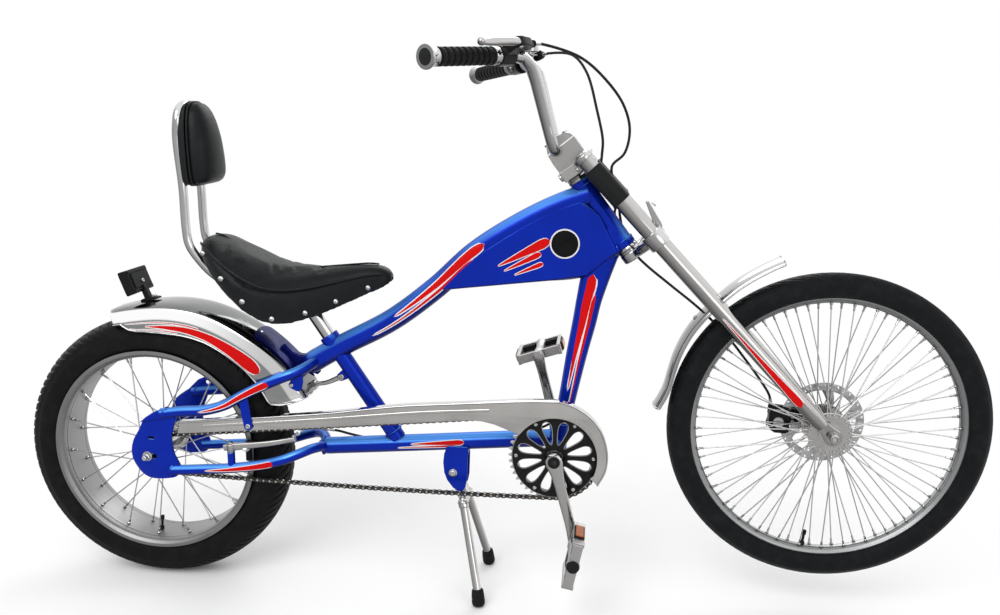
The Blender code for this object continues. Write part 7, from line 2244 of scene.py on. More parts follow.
        barrel = Shape.lathe(origin, out, mm((0, -0.6), (9, -0.6), (11.8, 1), (12.5, 5), (12.5, 12), (10.8, 16),
            (10, 46), (10.8, 76), (12.5, 80), (12.5, 90), (0, 90.5)), 40)
        self.add(f"pedal_barrel_{side}", barrel, CAST, body)
        cap = Shape.lathe(origin, out, mm((0, 90), (11.8, 90), (12.4, 91.2), (11.2, 95), (7, 96.8), (0, 97)), 36)
        self.add(f"pedal_cap_{side}", cap, PLASTIC, body)
        spindle = Shape.rod(at(pin, sign * 0.088), at(pin, sign * 0.099), 0.0062, 24, 0.0006)
        self.add(f"pedal_spindle_{side}", spindle, STEEL, body)
        frames, lenses = [], []
        for end in (-1, 1):
            face = (origin + along * end * 0.047, out, up, along * end)
            frames.append(Shape.prism(mm((22, -9.6), (70, -9.6), (70, 9.6), (22, 9.6)), -0.002, 0.003, face))
            lenses.append(Shape.prism(mm((25, -7.2), (67, -7.2), (67, 7.2), (25, 7.2)), 0.002, 0.0048, face))
        self.add(f"pedal_frames_{side}", frames, PLASTIC, body, bevel=0.001)
        self.add(f"pedal_lenses_{side}", lenses, AMBER_LENS, body, bevel=0.0006)

    def sprocket(self) -> None:
        """Make the freewheel."""
        outline = self.toothed(REAR_HUB, 18, SPROCKET_RADIUS)
        hole = arc(REAR_HUB, 0.012, 0, 350, 35)
        shape = Shape.plate([outline, hole], CHAIN_Y - 0.0015, CHAIN_Y + 0.0015, bevel=0.0004)
        body = Shape.lathe(at(REAR_HUB), -Y_AXIS, mm((12.5, 51), (24, 51), (25, 52), (25, 61), (23.5, 62.2),
            (12.5, 62.2)), 48)
        body += Shape.lathe(at(REAR_HUB), -Y_AXIS, mm((11, 61.8), (19, 61.8), (19, 63.2), (18.2, 63.8), (11, 63.8)),
            40)
        self.add("freewheel_teeth", shape, DARK_STEEL, "freewheel", ["freewheel_sprocket"])
        self.add("freewheel_body", body, DARK_STEEL, "freewheel")

    def chain(self) -> None:
        """Make every link of the chain."""
        big, small = CHAINRING_RADIUS, SPROCKET_RADIUS
        dx = BRACKET[0] - REAR_HUB[0]
        dz = BRACKET[1] - REAR_HUB[1]
        tilt = math.degrees(math.atan2(dz, dx))
        lean = math.degrees(math.asin((big - small) / math.hypot(dx, dz)))
        line = arc(REAR_HUB, small, tilt + 90 + lean, tilt + 270 - lean, 60)
        ring = arc(BRACKET, big, tilt - 90 - lean, tilt + 90 + lean, 120)
        low = line[-1]
        for t in np.linspace(0, 1, 42)[1:-1]:
            line.append((low[0] + (ring[0][0] - low[0]) * t, low[1] + (ring[0][1] - low[1]) * t - 0.006
                * (4 * t * (1 - t)) ** 0.8))
        line += ring
        line.append(line[0])
        points = np.array(line)
        lengths = np.concatenate([[0], np.cumsum(np.linalg.norm(np.diff(points, axis=0), axis=1))])
        count = 2 * round(lengths[-1] / CHAIN_PITCH / 2)
        wanted = np.arange(count) * lengths[-1] / count
        pins = np.stack([np.interp(wanted, lengths, points[:, k]) for k in range(2)], axis=1)
        plates, rollers = [], []
        for k in range(count):
            a, b = pins[k], pins[(k + 1) % count]
            middle = (a + b) / 2
            way = (b - a) / np.linalg.norm(b - a)
            across = np.array((-way[1], way[0]))
            half = np.linalg.norm(b - a) / 2
            outline = []
            for x, w in ((-half - 0.0041, 0.0), (-half - 0.003, 0.0029), (-half, 0.0041), (-half + 0.0034, 0.0033),
                    (0.0, 0.0026), (half - 0.0034, 0.0033), (half, 0.0041), (half + 0.003, 0.0029),
                    (half + 0.0041, 0.0)):
                outline.append((x, w))
            ring = outline + [(x, -w) for x, w in reversed(outline[1:-1])]
            flat = [tuple(middle + way * x + across * w) for x, w in ring]
            inner, outer = (0.0022, 0.0031) if k % 2 else (0.0032, 0.0041)
            for sign in (-1, 1):
                low, high = sorted((CHAIN_Y + sign * inner, CHAIN_Y + sign * outer))
                plates.append(Shape.prism(flat, low, high))
            rollers.append(Shape.rod(at(tuple(a), CHAIN_Y - 0.0021), at(tuple(a), CHAIN_Y + 0.0021), 0.0038, 14))
            rollers.append(Shape.rod(at(tuple(a), CHAIN_Y - 0.0047), at(tuple(a), CHAIN_Y + 0.0047), 0.0018, 10,
                0.0002))
        self.add("chain_plates", plates, DARK_STEEL, "frame", ["chain"])
        self.add("chain_rollers", rollers, STEEL)

    def guard(self) -> None:
        """Make the chain guard with its rolled flange and fixings."""
        inner = [(0.885, 0.274)] + arc(BRACKET, 0.0815, -22, 146, 40)
        low = [(0.72, 0.3665), (0.6994, 0.3745), (0.676, 0.3795), (0.6521, 0.3805), (0.485, 0.3648), (0.3172, 0.3482),
            (0.19, 0.337), (0.065, 0.326)]
        edge = [(float(r[0]), float(r[2])) for r in smooth([at(p) for p in self.guard_top], 0.006)]
        outline = edge + inner + low
        slots = [arc((0.213, 0.349), 0.0024, 0, 345, 23)]
        self.add("guard_face", Shape.plate([outline, *slots], -0.0726, -0.071, bevel=0.0005), SATIN, "frame",
            ["chain_guard"])
        rows = [(x, -0.065, z) for x, z in edge]
        flange = Path(rows, 0.0013, Y_AXIS)
        flange.widths = np.full(len(rows), 0.0074)
        self.add("guard_flange", Shape.tube(flange, 24, 4.0), CHROME)
        bead = Path([(x, -0.0722, z - 0.001) for x, z in edge], 0.0018)
        self.add("guard_bead", Shape.tube(bead, 12), CHROME)
        rib = Path(smooth([(0.12, -0.0727, 0.344), (0.36, -0.0727, 0.369), (0.56, -0.0727, 0.392),
            (0.69, -0.0727, 0.402)], 0.01), 0.0022)
        rib.heights = np.full(len(rib.points), 0.0026)
        rib.widths = np.full(len(rib.points), 0.0008)
        self.add("guard_rib", Shape.tube(rib, 16), SATIN)
        screws = [socket_bolt(at((0.213, 0.349), -0.0757), -Y_AXIS, 0.0052, 0.0026)]
        self.add("guard_screws", screws, CHROME)


@dataclass
class Stand(Assembly):
    """The two-legged centre stand."""

    head_outline: Rows = mm((603.5, 259), (611, 262), (620, 259), (627, 240), (640, 208), (642, 189), (625, 188.5),
        (616, 210), (604, 240))
    foot_profile: Rows = mm((0, -1), (8.2, 0), (11.6, 2.2), (13, 6.5), (13.2, 12), (12.5, 13.8), (12.5, 15),
        (12.9, 16.4), (12.5, 23.6), (11.5, 31.6), (10.2, 33.6), (8.2, 34))

    def build(self) -> None:
        """Make the stand."""
        pivot = (0.612, 0.25)
        core = Shape.prism(self.head_outline, -0.016, 0.016)
        cross = Shape.prism(mm((623, 188.5), (644, 188.5), (645, 196), (640, 199.5), (625, 199)), -0.034, 0.034)
        self.add("stand_head", core + cross, POLISHED, "stand", ["stand_legs"], bevel=0.0018, segments=3)
        legs, feet = [], []
        for side, sign in SIDES:
            top = Vector((0.633, sign * 0.027, 0.196))
            foot = Vector((0.674, sign * 0.0885, 0.0145))
            way = (foot - top).normalized()
            line = smooth([top + Z_AXIS * 0.004 - Y_AXIS * sign * 0.01, top, top + way * 0.02, foot], 0.008)
            legs.append(Shape.tube(Path(line, 0.0082), 28))
            knee = Shape.lathe(top + way * 0.006, way, mm((8, 0), (10, 1), (10.4, 4), (10, 8), (8, 10)), 32)
            legs.append(knee)
            lean = (Z_AXIS - way).normalized()
            base = Vector((foot.x, foot.y, 0.0012))
            sole = Shape.lathe(base, lean, self.foot_profile, 40)
            sole.vertices[:, 2] = np.maximum(sole.vertices[:, 2], 0.0002)
            feet.append((side, sole))
        self.add("stand_tubes", legs, POLISHED, "stand")
        for side, sole in feet:
            self.add(f"stand_boot_{side}", sole, GRIP, "stand", [f"stand_foot_{side}"])
        bolt = Shape.rod(at(pivot, -0.0225), at(pivot, 0.0225), 0.004, 24)
        self.add("stand_pin", bolt, STEEL, "stand")
        heads = [hexagon(at(pivot, sign * 0.0207), Y_AXIS * sign, 0.011, 0.0038) for _, sign in SIDES]
        for _, sign in SIDES:
            heads.append(Shape.lathe(at(pivot), Y_AXIS * sign, mm((4.2, 20.6), (8.5, 20.6), (8.5, 21.4), (4.2, 21.6)),
                28))
        self.add("stand_bolts", heads, CHROME, "stand", bevel=0.0004)


@dataclass
class Seat(Assembly):
    """Saddle, its pan and post, the sissy bar and the backrest."""

    stations: tuple[tuple[float, float, float, float], ...] = ((0.122, 0.71, 0.696, 0.032),
        (0.13, 0.7185, 0.682, 0.058), (0.15, 0.7165, 0.66, 0.084), (0.185, 0.6985, 0.624, 0.104),
        (0.225, 0.6795, 0.588, 0.112), (0.262, 0.6645, 0.566, 0.108), (0.3, 0.6585, 0.5602, 0.096),
        (0.34, 0.658, 0.5672, 0.077), (0.38, 0.6615, 0.581, 0.057), (0.42, 0.6655, 0.5985, 0.041),
        (0.452, 0.6675, 0.613, 0.033), (0.478, 0.663, 0.624, 0.026), (0.491, 0.651, 0.633, 0.014),)
    underside: tuple[Place, ...] = ((0.1, 0.7), (0.15, 0.676), (0.2, 0.645), (0.26, 0.613), (0.3, 0.606),
        (0.36, 0.612), (0.44, 0.634), (0.5, 0.65))
    right_ring: Rows = ((0.0, 1.0), (0.2, 0.995), (0.42, 0.975), (0.6, 0.93), (0.74, 0.865), (0.85, 0.775),
        (0.93, 0.66), (0.98, 0.53), (1.0, 0.38), (1.0, 0.22), (0.992, 0.08), (0.982, 0.0))

    def under(self, x: float) -> float:
        """Give the height of the saddle's underside.

        Args:
            x: distance ahead of the rear axle.

        Returns:
            The height.
        """
        return float(np.interp(x, [p[0] for p in self.underside], [p[1] for p in self.underside]))

    def build(self) -> None:
        """Make the seat."""
        self.saddle()
        self.pan()
        self.bar()
        self.pad()

    def rings(self, shrink: float) -> tuple[list[list[Vector]], np.ndarray]:
        """Build the saddle's sections.

        Args:
            shrink: how much smaller than its finished size.

        Returns:
            The sections, and the smoothed stations.
        """
        rows = smooth([(x, half, top, low) for x, top, low, half in self.stations], 0.006)
        rings = []
        for x, half, top, low in rows:
            half = max(half - shrink, 0.004)
            top -= shrink
            low += shrink * 0.4
            drop = top - low
            under = max(min(self.under(x), top - 0.01), low + 0.002)
            skirt = min(0.012, half * 0.45)
            loop = [(half * y, low + drop * z) for y, z in self.right_ring]
            loop += [(half * 0.985 - skirt * 0.5, low - 0.0004), (half * 0.985 - skirt, low + 0.002),
                (half * 0.9 - skirt, under), (half * 0.4, under)]
            left = [(-y, z) for y, z in reversed(loop[1:])]
            rings.append([Vector((x, y, z)) for y, z in loop + left])
        return rings, rows

    def saddle(self) -> None:
        """Make the padded saddle with its ridge, piping and rivets."""
        rings, rows = self.rings(0.002)
        pad = Shape.skin(rings)
        mesh = inflate("saddle_cover", pad, 0.006, lambda v: v.z < self.under(v.x) + 0.004)
        piece = self.add("saddle_cover", mesh, LEATHER, "seat", subdivide=1)
        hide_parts("saddle")
        ridge = [(x, 0.0, top + 0.0005) for x, half, top, low in rows if 0.135 < x < 0.47]
        tape = Path(ridge, 0.0016)
        tape.widths = np.full(len(ridge), 0.0024)
        self.add("saddle_ridge", Shape.tube(tape, 14), LEATHER, "seat")
        lines = []
        for sign in (-1, 1):
            line = []
            for x, half, top, low in rows:
                if 0.128 < x < 0.478:
                    line.append((x, sign * (half * 0.93 + 0.0006), low + (top - low) * 0.665 + 0.0008))
            lines.append(Shape.tube(Path(line, 0.002), 12))
        self.add("saddle_piping", lines, LEATHER, "seat")
        rivets = []
        for x, z in ((0.1416, 0.69), (0.187, 0.648), (0.229, 0.607), (0.281, 0.5735), (0.3375, 0.5815), (0.39, 0.6),
                (0.449, 0.625)):
            half = float(np.interp(x, rows[:, 0], rows[:, 1]))
            for sign in (-1, 1):
                centre = Vector((x, sign * (half + 0.0002), z))
                out = Vector((0, sign, -0.12)).normalized()
                rivets.append(Shape.lathe(centre, out, mm((0, -3), (5.2, -2), (5.6, 0.2), (4.6, 2), (2.6, 3.2),
                    (0, 3.6)), 24))
        self.add("saddle_rivets", rivets, CHROME, "seat")
        tail = Shape.lathe(Vector((0.1235, 0, 0.703)), Vector((-1, 0, 0.15)), mm((0, 0), (7, 0), (7.5, 0.8), (6, 2.4),
            (0, 3)), 28)
        self.add("saddle_tail_stud", tail, CHROME, "seat")

    def pan(self) -> None:
        """Make the pan, the clamp and the seat post."""
        wide = []
        for x in np.linspace(0.15, 0.452, 42):
            half = float(np.interp(x, [0.15, 0.17, 0.28, 0.33, 0.45], [0.03, 0.052, 0.052, 0.03, 0.014]))
            z = self.under(x) - 0.0003
            wide.append([Vector((x, -half, z)), Vector((x, half, z)), Vector((x, half, z - 0.005)),
                Vector((x, -half, z - 0.005))])
        self.add("saddle_pan", Shape.skin(wide), BLACK, "seat", bevel=0.0012)
        post = Shape.rod(seat_line(-0.11), seat_line(0.096), 0.0136, 48, 0.0008)
        self.add("seat_tube_post", post, CHROME, "seat", ["seat_post"])
        clamp_centre = seat_line(0.086)
        collar = Shape.lathe(seat_line(0.074), SEAT_UP, mm((13.8, 0), (17.8, 0), (18.4, 1), (18.4, 14), (17.8, 15),
            (13.8, 15)), 44)
        block = Shape.prism(mm((-18, -12), (18, -12), (20, 6), (12, 12), (-12, 12), (-20, 6)), -0.0175, 0.0175,
            (clamp_centre, X_AXIS, Z_AXIS, Y_AXIS))
        self.add("seat_clamp", block, STEEL, "seat", bevel=0.0018, segments=3)
        self.add("seat_clamp_collar", collar, CHROME, "seat")
        bolt = Shape.rod(clamp_centre - Y_AXIS * 0.0225, clamp_centre + Y_AXIS * 0.0225, 0.0038, 20)
        heads = [hexagon(clamp_centre + Y_AXIS * sign * 0.0176, Y_AXIS * sign, 0.011, 0.0044) for _, sign in SIDES]
        self.add("seat_clamp_bolt", [bolt, *heads], CHROME, "seat", bevel=0.0003)

    def bar(self) -> None:
        """Make the sissy bar."""
        half = [(0.093, 0.0, 0.967), (0.0928, 0.012, 0.9662), (0.0922, 0.025, 0.9615), (0.0913, 0.0355, 0.951),
            (0.0905, 0.04, 0.937), (0.088, 0.04, 0.905), (0.094, 0.04, 0.81), (0.095, 0.04, 0.735),
            (0.099, 0.04, 0.703), (0.116, 0.04, 0.675), (0.146, 0.04, 0.644), (0.176, 0.04, 0.6275),
            (0.21, 0.04, 0.6155), (0.236, 0.04, 0.6065), (0.262, 0.04, 0.5987), (0.297, 0.04, 0.5926)]
        line = [(x, -y, z) for x, y, z in half[:0:-1]] + half
        self.add("sissy_hoop", Shape.tube(Path(smooth(line, 0.005), 0.0084, X_AXIS), 32), CHROME, "seat",
            ["sissy_bar"])
        bolts = []
        for _, sign in SIDES:
            for x, z in ((0.246, 0.604), (0.284, 0.595)):
                bolts.append(socket_bolt(Vector((x, sign * 0.04, z - 0.007)), -Z_AXIS, 0.0056, 0.0036))
        self.add("sissy_bolts", bolts, CHROME, "seat")

    def pad(self) -> None:
        """Make the backrest's shell, cover and piping."""
        tilt = math.radians(-3.0)
        foot = Vector((0.1035, 0, 0.816))
        up = Vector((math.sin(tilt), 0, math.cos(tilt)))
        out = Vector((math.cos(tilt), 0, -math.sin(tilt)))
        rows = smooth([(h, w * 0.056, d * 0.048) for h, w, d in ((0.0, 0.74, 0.62), (0.006, 0.92, 0.84),
            (0.018, 0.99, 0.97), (0.04, 1.0, 1.0), (0.065, 0.975, 0.985), (0.09, 0.93, 0.94), (0.11, 0.87, 0.87),
            (0.127, 0.78, 0.785), (0.141, 0.66, 0.67), (0.15, 0.5, 0.54), (0.1545, 0.3, 0.38))], 0.005)
        outline = [(w * 0.97, h) for h, w, d in rows]
        outline += [(-y, h) for y, h in reversed(outline)]
        view = (foot, Y_AXIS, up, out)
        self.add("backrest_shell", Shape.prism(outline, -0.004, 0.008, view), PLASTIC, "seat", bevel=0.003,
            segments=4)
        rings = []
        for h, w, d in rows:
            w, d = w - 0.0022, d - 0.0022
            right = [(0, 1.0), (0.28, 0.985), (0.52, 0.94), (0.72, 0.85), (0.87, 0.7), (0.96, 0.5), (1.0, 0.27),
                (0.98, 0.08), (0.94, 0.0)]
            loop = right + [(-y, t) for y, t in reversed(right[1:])]
            centre = foot + up * h + out * 0.0078
            rings.append([centre + Y_AXIS * (w * y) + out * (d * t) for y, t in loop])
        plane = foot + out * 0.0095
        mesh = inflate("backrest_cover", Shape.skin(rings), 0.0065, lambda v: (v - plane).dot(out) < 0.0012)
        piece = self.add("backrest_cover", mesh, LEATHER, "seat", subdivide=1)
        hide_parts("backrest_pad")
        piping = []
        for depth, grow in ((0.0085, 1.0), (0.015, 1.012)):
            loop = [foot + up * h + out * depth + Y_AXIS * (w * grow) for h, w, d in rows]
            back = [foot + up * h + out * depth - Y_AXIS * (w * grow) for h, w, d in rows[::-1]]
            ring = loop + back
            line = smooth([*ring, ring[0]], 0.004)
            piping.append(Shape.tube(Path(line, 0.0021, out), 12))
        self.add("backrest_piping", piping, LEATHER, "seat")
        bolts = [socket_bolt(foot + up * h - out * 0.004 + Y_AXIS * y, -out, 0.0052, 0.003) for h in (0.035, 0.11)
            for y in (-0.028, 0.028)]
        self.add("backrest_bolts", bolts, CHROME, "seat")


def inflate(name: str, shape: Shape, cap: float, held: Callable[[Vector], bool]) -> bpy.types.Mesh:
    """Blow a cushion's skin up with a short cloth simulation.

    Args:
        name: name of the result.
        shape: the cushion's closed skin.
        cap: how far a point may move, in metres.
        held: says which points stay where they are.

    Returns:
        The cushion's mesh.
    """
    holder = bpy.data.objects.new(name, shape.to_mesh(name))
    bpy.context.scene.collection.objects.link(holder)
    remesh = holder.modifiers.new("even", "REMESH")
    remesh.mode = "VOXEL"
    remesh.voxel_size = 0.0045
    bpy.context.view_layer.update()
    even = bpy.data.meshes.new_from_object(holder.evaluated_get(bpy.context.evaluated_depsgraph_get()))
    holder.modifiers.clear()
    holder.data = even
    relax = bmesh.new()
    relax.from_mesh(even)
    for _ in range(3):
        bmesh.ops.smooth_vert(relax, verts=relax.verts[:], factor=0.5, use_axis_x=True, use_axis_y=True,
            use_axis_z=True)
    relax.to_mesh(even)
    relax.free()
    start = np.array([v.co for v in even.vertices], float)
    pins = holder.vertex_groups.new(name="held")
    pins.add([v.index for v in even.vertices if held(v.co)], 1.0, "REPLACE")
    cloth = holder.modifiers.new("cloth", "CLOTH")
    settings = cloth.settings
    settings.quality = 6
    settings.mass = 0.4
    settings.tension_stiffness = 12
    settings.compression_stiffness = 12
    settings.shear_stiffness = 6
    settings.bending_stiffness = 1.2
    settings.use_pressure = True
    settings.uniform_pressure_force = 4.0
    settings.vertex_group_mass = "held"
    settings.effector_weights.gravity = 0
    cloth.collision_settings.use_collision = False
    cloth.collision_settings.use_self_collision = False
    cloth.point_cache.frame_start = 1
    cloth.point_cache.frame_end = 20
    for number in range(1, 21):
        bpy.context.scene.frame_set(number)
    done = bpy.data.meshes.new_from_object(holder.evaluated_get(bpy.context.evaluated_depsgraph_get()))
    moved = np.array([v.co for v in done.vertices], float) - start
    reach = np.linalg.norm(moved, axis=1)
    scale = np.minimum(1.0, cap / np.maximum(reach, 1e-9))
    done.vertices.foreach_set("co", (start + moved * scale[:, None]).ravel())
    log.info("%s moved at most %.4f m", name, float(reach.max()))
    bpy.data.objects.remove(holder)
    bpy.context.scene.frame_set(1)
    return done


@dataclass
class Brakes(Assembly):
    """Rim brake, disc caliper, seat lever and the cables."""

    caliper_outline: Rows = mm((1230, 362), (1234, 353), (1242, 348), (1262, 347), (1269, 350), (1270, 370),
        (1269, 396), (1260, 400), (1242, 402), (1233, 397), (1230, 388))
    bridge_outline: Rows = mm((1230, 362), (1234, 353), (1242, 348), (1248, 347.6), (1242, 360), (1238, 372),
        (1242, 398), (1233, 397), (1230, 388))
    caliper_ear: Rows = mm((1259, 360), (1290, 360), (1292, 373), (1290, 386), (1259, 395))

    def build(self) -> None:
        """Make the brakes and the levers at the seat tube."""
        for side, sign in SIDES:
            self.arm(side, sign)
        self.noodle()
        self.caliper()
        self.seat_lever()
        self.cables()

    def arm(self, side: str, sign: int) -> None:
        """Make a rim brake arm with its shoe.

        Args:
            side: its name.
            sign: the sign of y.
        """
        body = f"brake_arm_{side}"
        y = sign * STAY_Y
        rows = smooth([(0.16, sign * 0.0715, 0.301, 0.006, 0.0048), (0.176, sign * 0.0705, 0.303, 0.0076, 0.0052),
            (0.215, sign * 0.069, 0.3075, 0.0064, 0.0045), (0.255, sign * 0.065, 0.3125, 0.0056, 0.0042),
            (0.298, sign * 0.053, 0.318, 0.005, 0.0038)], 0.006)
        self.add(f"brake_lever_arm_{side}", Shape.tube(Path(rows), 28, 3.4), CAST, body, [f"rim_brake_arm_{side}"])
        hub = Shape.lathe(at((0.174, 0.293), y), Z_AXIS, mm((3.8, 0), (7.2, 0), (7.8, 0.8), (7.8, 15), (7, 16),
            (3.8, 16)), 36)
        self.add(f"brake_pivot_{side}", hub, CAST, body)
        washers = []
        centre = Vector((0.203, sign * 0.064, 0.2985))
        way = Vector((0, sign * 0.89, 0.45))
        washers.append(Shape.rod(centre - way * 0.006, centre + way * 0.011, 0.0036, 24, 0.0004))
        for s, r, h in ((-0.001, 0.007, 0.0024), (0.0018, 0.0062, 0.002), (0.0042, 0.007, 0.0022)):
            washers.append(Shape.rod(centre + way * s, centre + way * (s + h), r, 28, 0.0005))
        washers.append(hexagon(centre + way * 0.0066, way, 0.01, 0.0042))
        self.add(f"brake_post_{side}", washers, STEEL, body)
        low, high = sorted((sign * 0.0509, sign * 0.0597))
        shoe = Shape.prism(mm((198.5, 270.5), (203, 269.5), (207.8, 271), (208.5, 311), (204, 312.2), (199, 311)),
            low, high)
        self.add(f"brake_shoe_{side}", shoe, GRIP, body, bevel=0.0012, segments=3)
        grooves = []
        for k in range(4):
            z = 0.277 + 0.0095 * k
            flat = sorted((sign * 0.0597, sign * 0.0602))
            grooves.append(Shape.prism([(0.1996, z), (0.2074, z), (0.2074, z + 0.006), (0.1996, z + 0.006)], *flat))
        self.add(f"brake_shoe_blocks_{side}", grooves, GRIP, body)
        bolt = Vector((0.296, sign * 0.05, 0.32))
        ends = hexagon(bolt, Z_AXIS, 0.008, 0.004) + Shape.rod(bolt - Z_AXIS * 0.008, bolt, 0.0045, 20, 0.0006)
        self.add(f"brake_cable_bolt_{side}", ends, STEEL, body)
        spring = [Vector((0.178, sign * 0.0655, 0.296)), Vector((0.21, sign * 0.064, 0.301)),
            Vector((0.245, sign * 0.06, 0.307))]
        self.add(f"brake_spring_{side}", Shape.tube(Path(smooth(spring, 0.004), 0.0009), 8), STEEL, body)

    def noodle(self) -> None:
        """Make the curved guide and the wire between the arms."""
        line = smooth([(0.304, -0.048, 0.3285), (0.304, -0.033, 0.329), (0.308, -0.018, 0.329), (0.32, -0.008, 0.329),
            (0.338, -0.005, 0.327), (0.355, -0.004, 0.3242)], 0.003)
        self.add("noodle_pipe", Shape.tube(Path(line, 0.0036), 20), STEEL, "brake_arm_right", ["brake_noodle"])
        wire = Shape.rod(Vector((0.304, -0.049, 0.3285)), Vector((0.304, 0.064, 0.3285)), 0.0009, 12)
        ferrule = Shape.rod(Vector((0.304, -0.0515, 0.3285)), Vector((0.304, -0.044, 0.3285)), 0.0042, 20, 0.0006)
        collar = Shape.rod(Vector((0.347, -0.0044, 0.3255)), Vector((0.355, -0.004, 0.3242)), 0.0036, 20, 0.0004)
        self.add("noodle_wire", wire + ferrule + collar, CHROME, "brake_arm_right")
        folds = [(0.0026 + 0.0012 * (k % 2), k * 0.0022) for k in range(18)]
        boot = Shape.lathe(Vector((0.304, -0.033 + 0.004, 0.3285)), Y_AXIS, [(0.001, 0)] + folds + [(0.001, 0.0396)],
            20)
        self.add("noodle_boot", boot, GRIP, "brake_arm_right")

    def caliper(self) -> None:
        """Make the disc caliper with its arm and cable stop."""
        halves = [Shape.prism(self.caliper_outline, 0.0262, 0.0304), Shape.prism(self.caliper_outline, 0.0358,
            0.0478)]
        halves.append(Shape.prism(self.bridge_outline, 0.029, 0.038))
        self.add("caliper_body", halves, BLACK, "steering", ["disc_caliper"], bevel=0.0022, segments=3)
        self.add("caliper_ear", Shape.prism(self.caliper_ear, 0.0445, 0.0507), BLACK, "steering", bevel=0.0014)
        stop = Shape.lathe(Vector((1.2335, 0.044, 0.384)), Vector((0.06, 0, 1)), mm((0, 0), (4.6, 0), (4.6, 7),
            (4, 8), (5, 9.2), (5, 10), (4.2, 10.6), (5, 11.2), (5, 12.2), (4.2, 12.8), (5, 13.4), (5, 15), (3.6, 18),
            (0, 18)), 24)
        self.add("caliper_stop", stop, BLACK, "steering")
        pivot = (1.248, 0.37)
        bolts = [socket_bolt(at((1.278, 0.378), 0.0452), -Y_AXIS, 0.005, 0.004),
            socket_bolt(at((1.278, 0.366), 0.0452), -Y_AXIS, 0.0042, 0.0034)]
        knob = Shape.lathe(at(pivot), -Y_AXIS, mm((0, -26.2), (10.5, -26.2), (11, -25.6), (10, -24), (6, -23.6),
            (5.8, -24.4), (0, -24.4)), 32)
        self.add("caliper_bolts", [*bolts, knob], STEEL, "steering")
        lever = arc(pivot, 0.0085, -60, 150, 22) + [(1.231, 0.373), (1.2285, 0.364), (1.23, 0.354), (1.24, 0.36)]
        self.add("caliper_lever", Shape.prism(lever, 0.0484, 0.0518), BLACK, "caliper_arm", ["caliper_arm"],
            bevel=0.0006)
        nut = hexagon(at(pivot, 0.0518), Y_AXIS, 0.009, 0.004)
        clamp = hexagon(at((1.233, 0.361), 0.0518), Y_AXIS, 0.007, 0.0034)
        wire = Shape.rod(Vector((1.2342, 0.05, 0.364)), Vector((1.2342, 0.0445, 0.385)), 0.0009, 10)
        self.add("caliper_arm_bolts", nut + clamp + wire, STEEL, "caliper_arm")

    def seat_lever(self) -> None:
        """Make the quick-release lever on its pin."""
        pivot = (0.3842, 0.4372)
        rows = smooth([(*at(pivot), 0.0052, 0.004), (0.37, 0, 0.43, 0.0052, 0.0042), (0.354, 0, 0.423, 0.0046,
            0.0046), (0.338, 0, 0.4195, 0.0042, 0.005), (0.325, 0, 0.419, 0.0038, 0.0052)], 0.003)
        blade = Shape.tube(Path(rows), 28, 2.6)
        blade += Shape.rod(Vector((0.3245, -0.005, 0.419)), Vector((0.3245, 0.005, 0.419)), 0.0062, 32, 0.001)
        hub = Shape.rod(at(pivot, -0.0043), at(pivot, 0.0043), 0.0064, 32, 0.0006)
        pin = Shape.rod(at(pivot, -0.012), at(pivot, 0.012), 0.003, 20, 0.0004)
        nut = Shape.lathe(at(pivot), -Y_AXIS, mm((3, 9), (6.6, 9), (7.2, 9.8), (7.2, 12), (6, 13.4), (3, 13.6)), 28)
        self.add("quick_release", [blade, hub, pin, nut], POLISHED, "seat_lever", ["seat_clamp_lever"])

    def cables(self) -> None:
        """Lay the three lengths of cable."""
        front = [bar_point(1, 0.2274, 0.04), bar_point(1, 0.242, 0.0405), (0.828, 0.066, 1.064), (0.856, 0.036, 1.03),
            (0.8765, 0.018, 0.963), (0.889, 0.006, 0.908), leg(0.026, 0.027, 0.004), leg(0.04, 0.013, 0.004),
            leg(0.056, 0.006, 0.008), leg(0.085, -0.002, 0.023), leg(0.11, -0.006, 0.03), head(0.022, 0.062, 0.037),
            head(0.008, 0.03, 0.04), head(0.003, 0.0, 0.04), head(0.003, -0.02, 0.038), (0.983, 0.037, 0.67),
            (1.03, 0.039, 0.633), (1.086, 0.041, 0.589), (1.14, 0.042, 0.538), (1.18, 0.042, 0.49),
            (1.212, 0.043, 0.448), (1.23, 0.0438, 0.42), (1.2344, 0.044, 0.4032)]
        upper = [bar_point(-1, 0.2274, 0.04), bar_point(-1, 0.242, 0.0405), (0.845, -0.062, 1.052),
            (0.888, -0.038, 1.018), (0.924, -0.018, 0.972), (0.937, -0.01, 0.928), (0.929, -0.013, 0.886),
            leg(0.052, 0.029, -0.018), leg(0.066, 0.016, -0.018), leg(0.082, 0.007, -0.013), leg(0.098, 0.0, 0.002),
            leg(0.112, -0.006, 0.016), head(0.02, 0.076, 0.0255), head(0.01, 0.062, 0.0285)]
        lower = [head(0.0097, 0.0614, 0.0286), head(0.002, 0.048, 0.03), head(-0.006, 0.028, 0.03),
            head(-0.02, 0.005, 0.0285), (0.915, 0.026, 0.67), (0.89, 0.024, 0.6), (0.868, 0.0235, 0.53),
            (0.85, 0.0232, 0.45), (0.834, 0.0232, 0.395), (0.808, 0.0232, 0.353), (0.76, 0.022, 0.33),
            (0.7, 0.0212, 0.324), (0.6, 0.021, 0.314), (0.5, 0.021, 0.305), (0.43, 0.0205, 0.301),
            (0.395, 0.015, 0.309), (0.374, 0.0, 0.3205), (0.356, -0.0039, 0.324)]
        for name, points, body in (("front_brake_cable", front, "steering"), ("rear_brake_cable_upper", upper,
                "steering"), ("rear_brake_cable_lower", lower, "frame")):
            line = smooth([tuple(p) for p in points], 0.005)
            self.add(f"{name}_casing", Shape.tube(Path(line, 0.0025), 16), PLASTIC, body, [name])
            ferrules = []
            for a, b in ((line[0], line[3]), (line[-1], line[-3])):
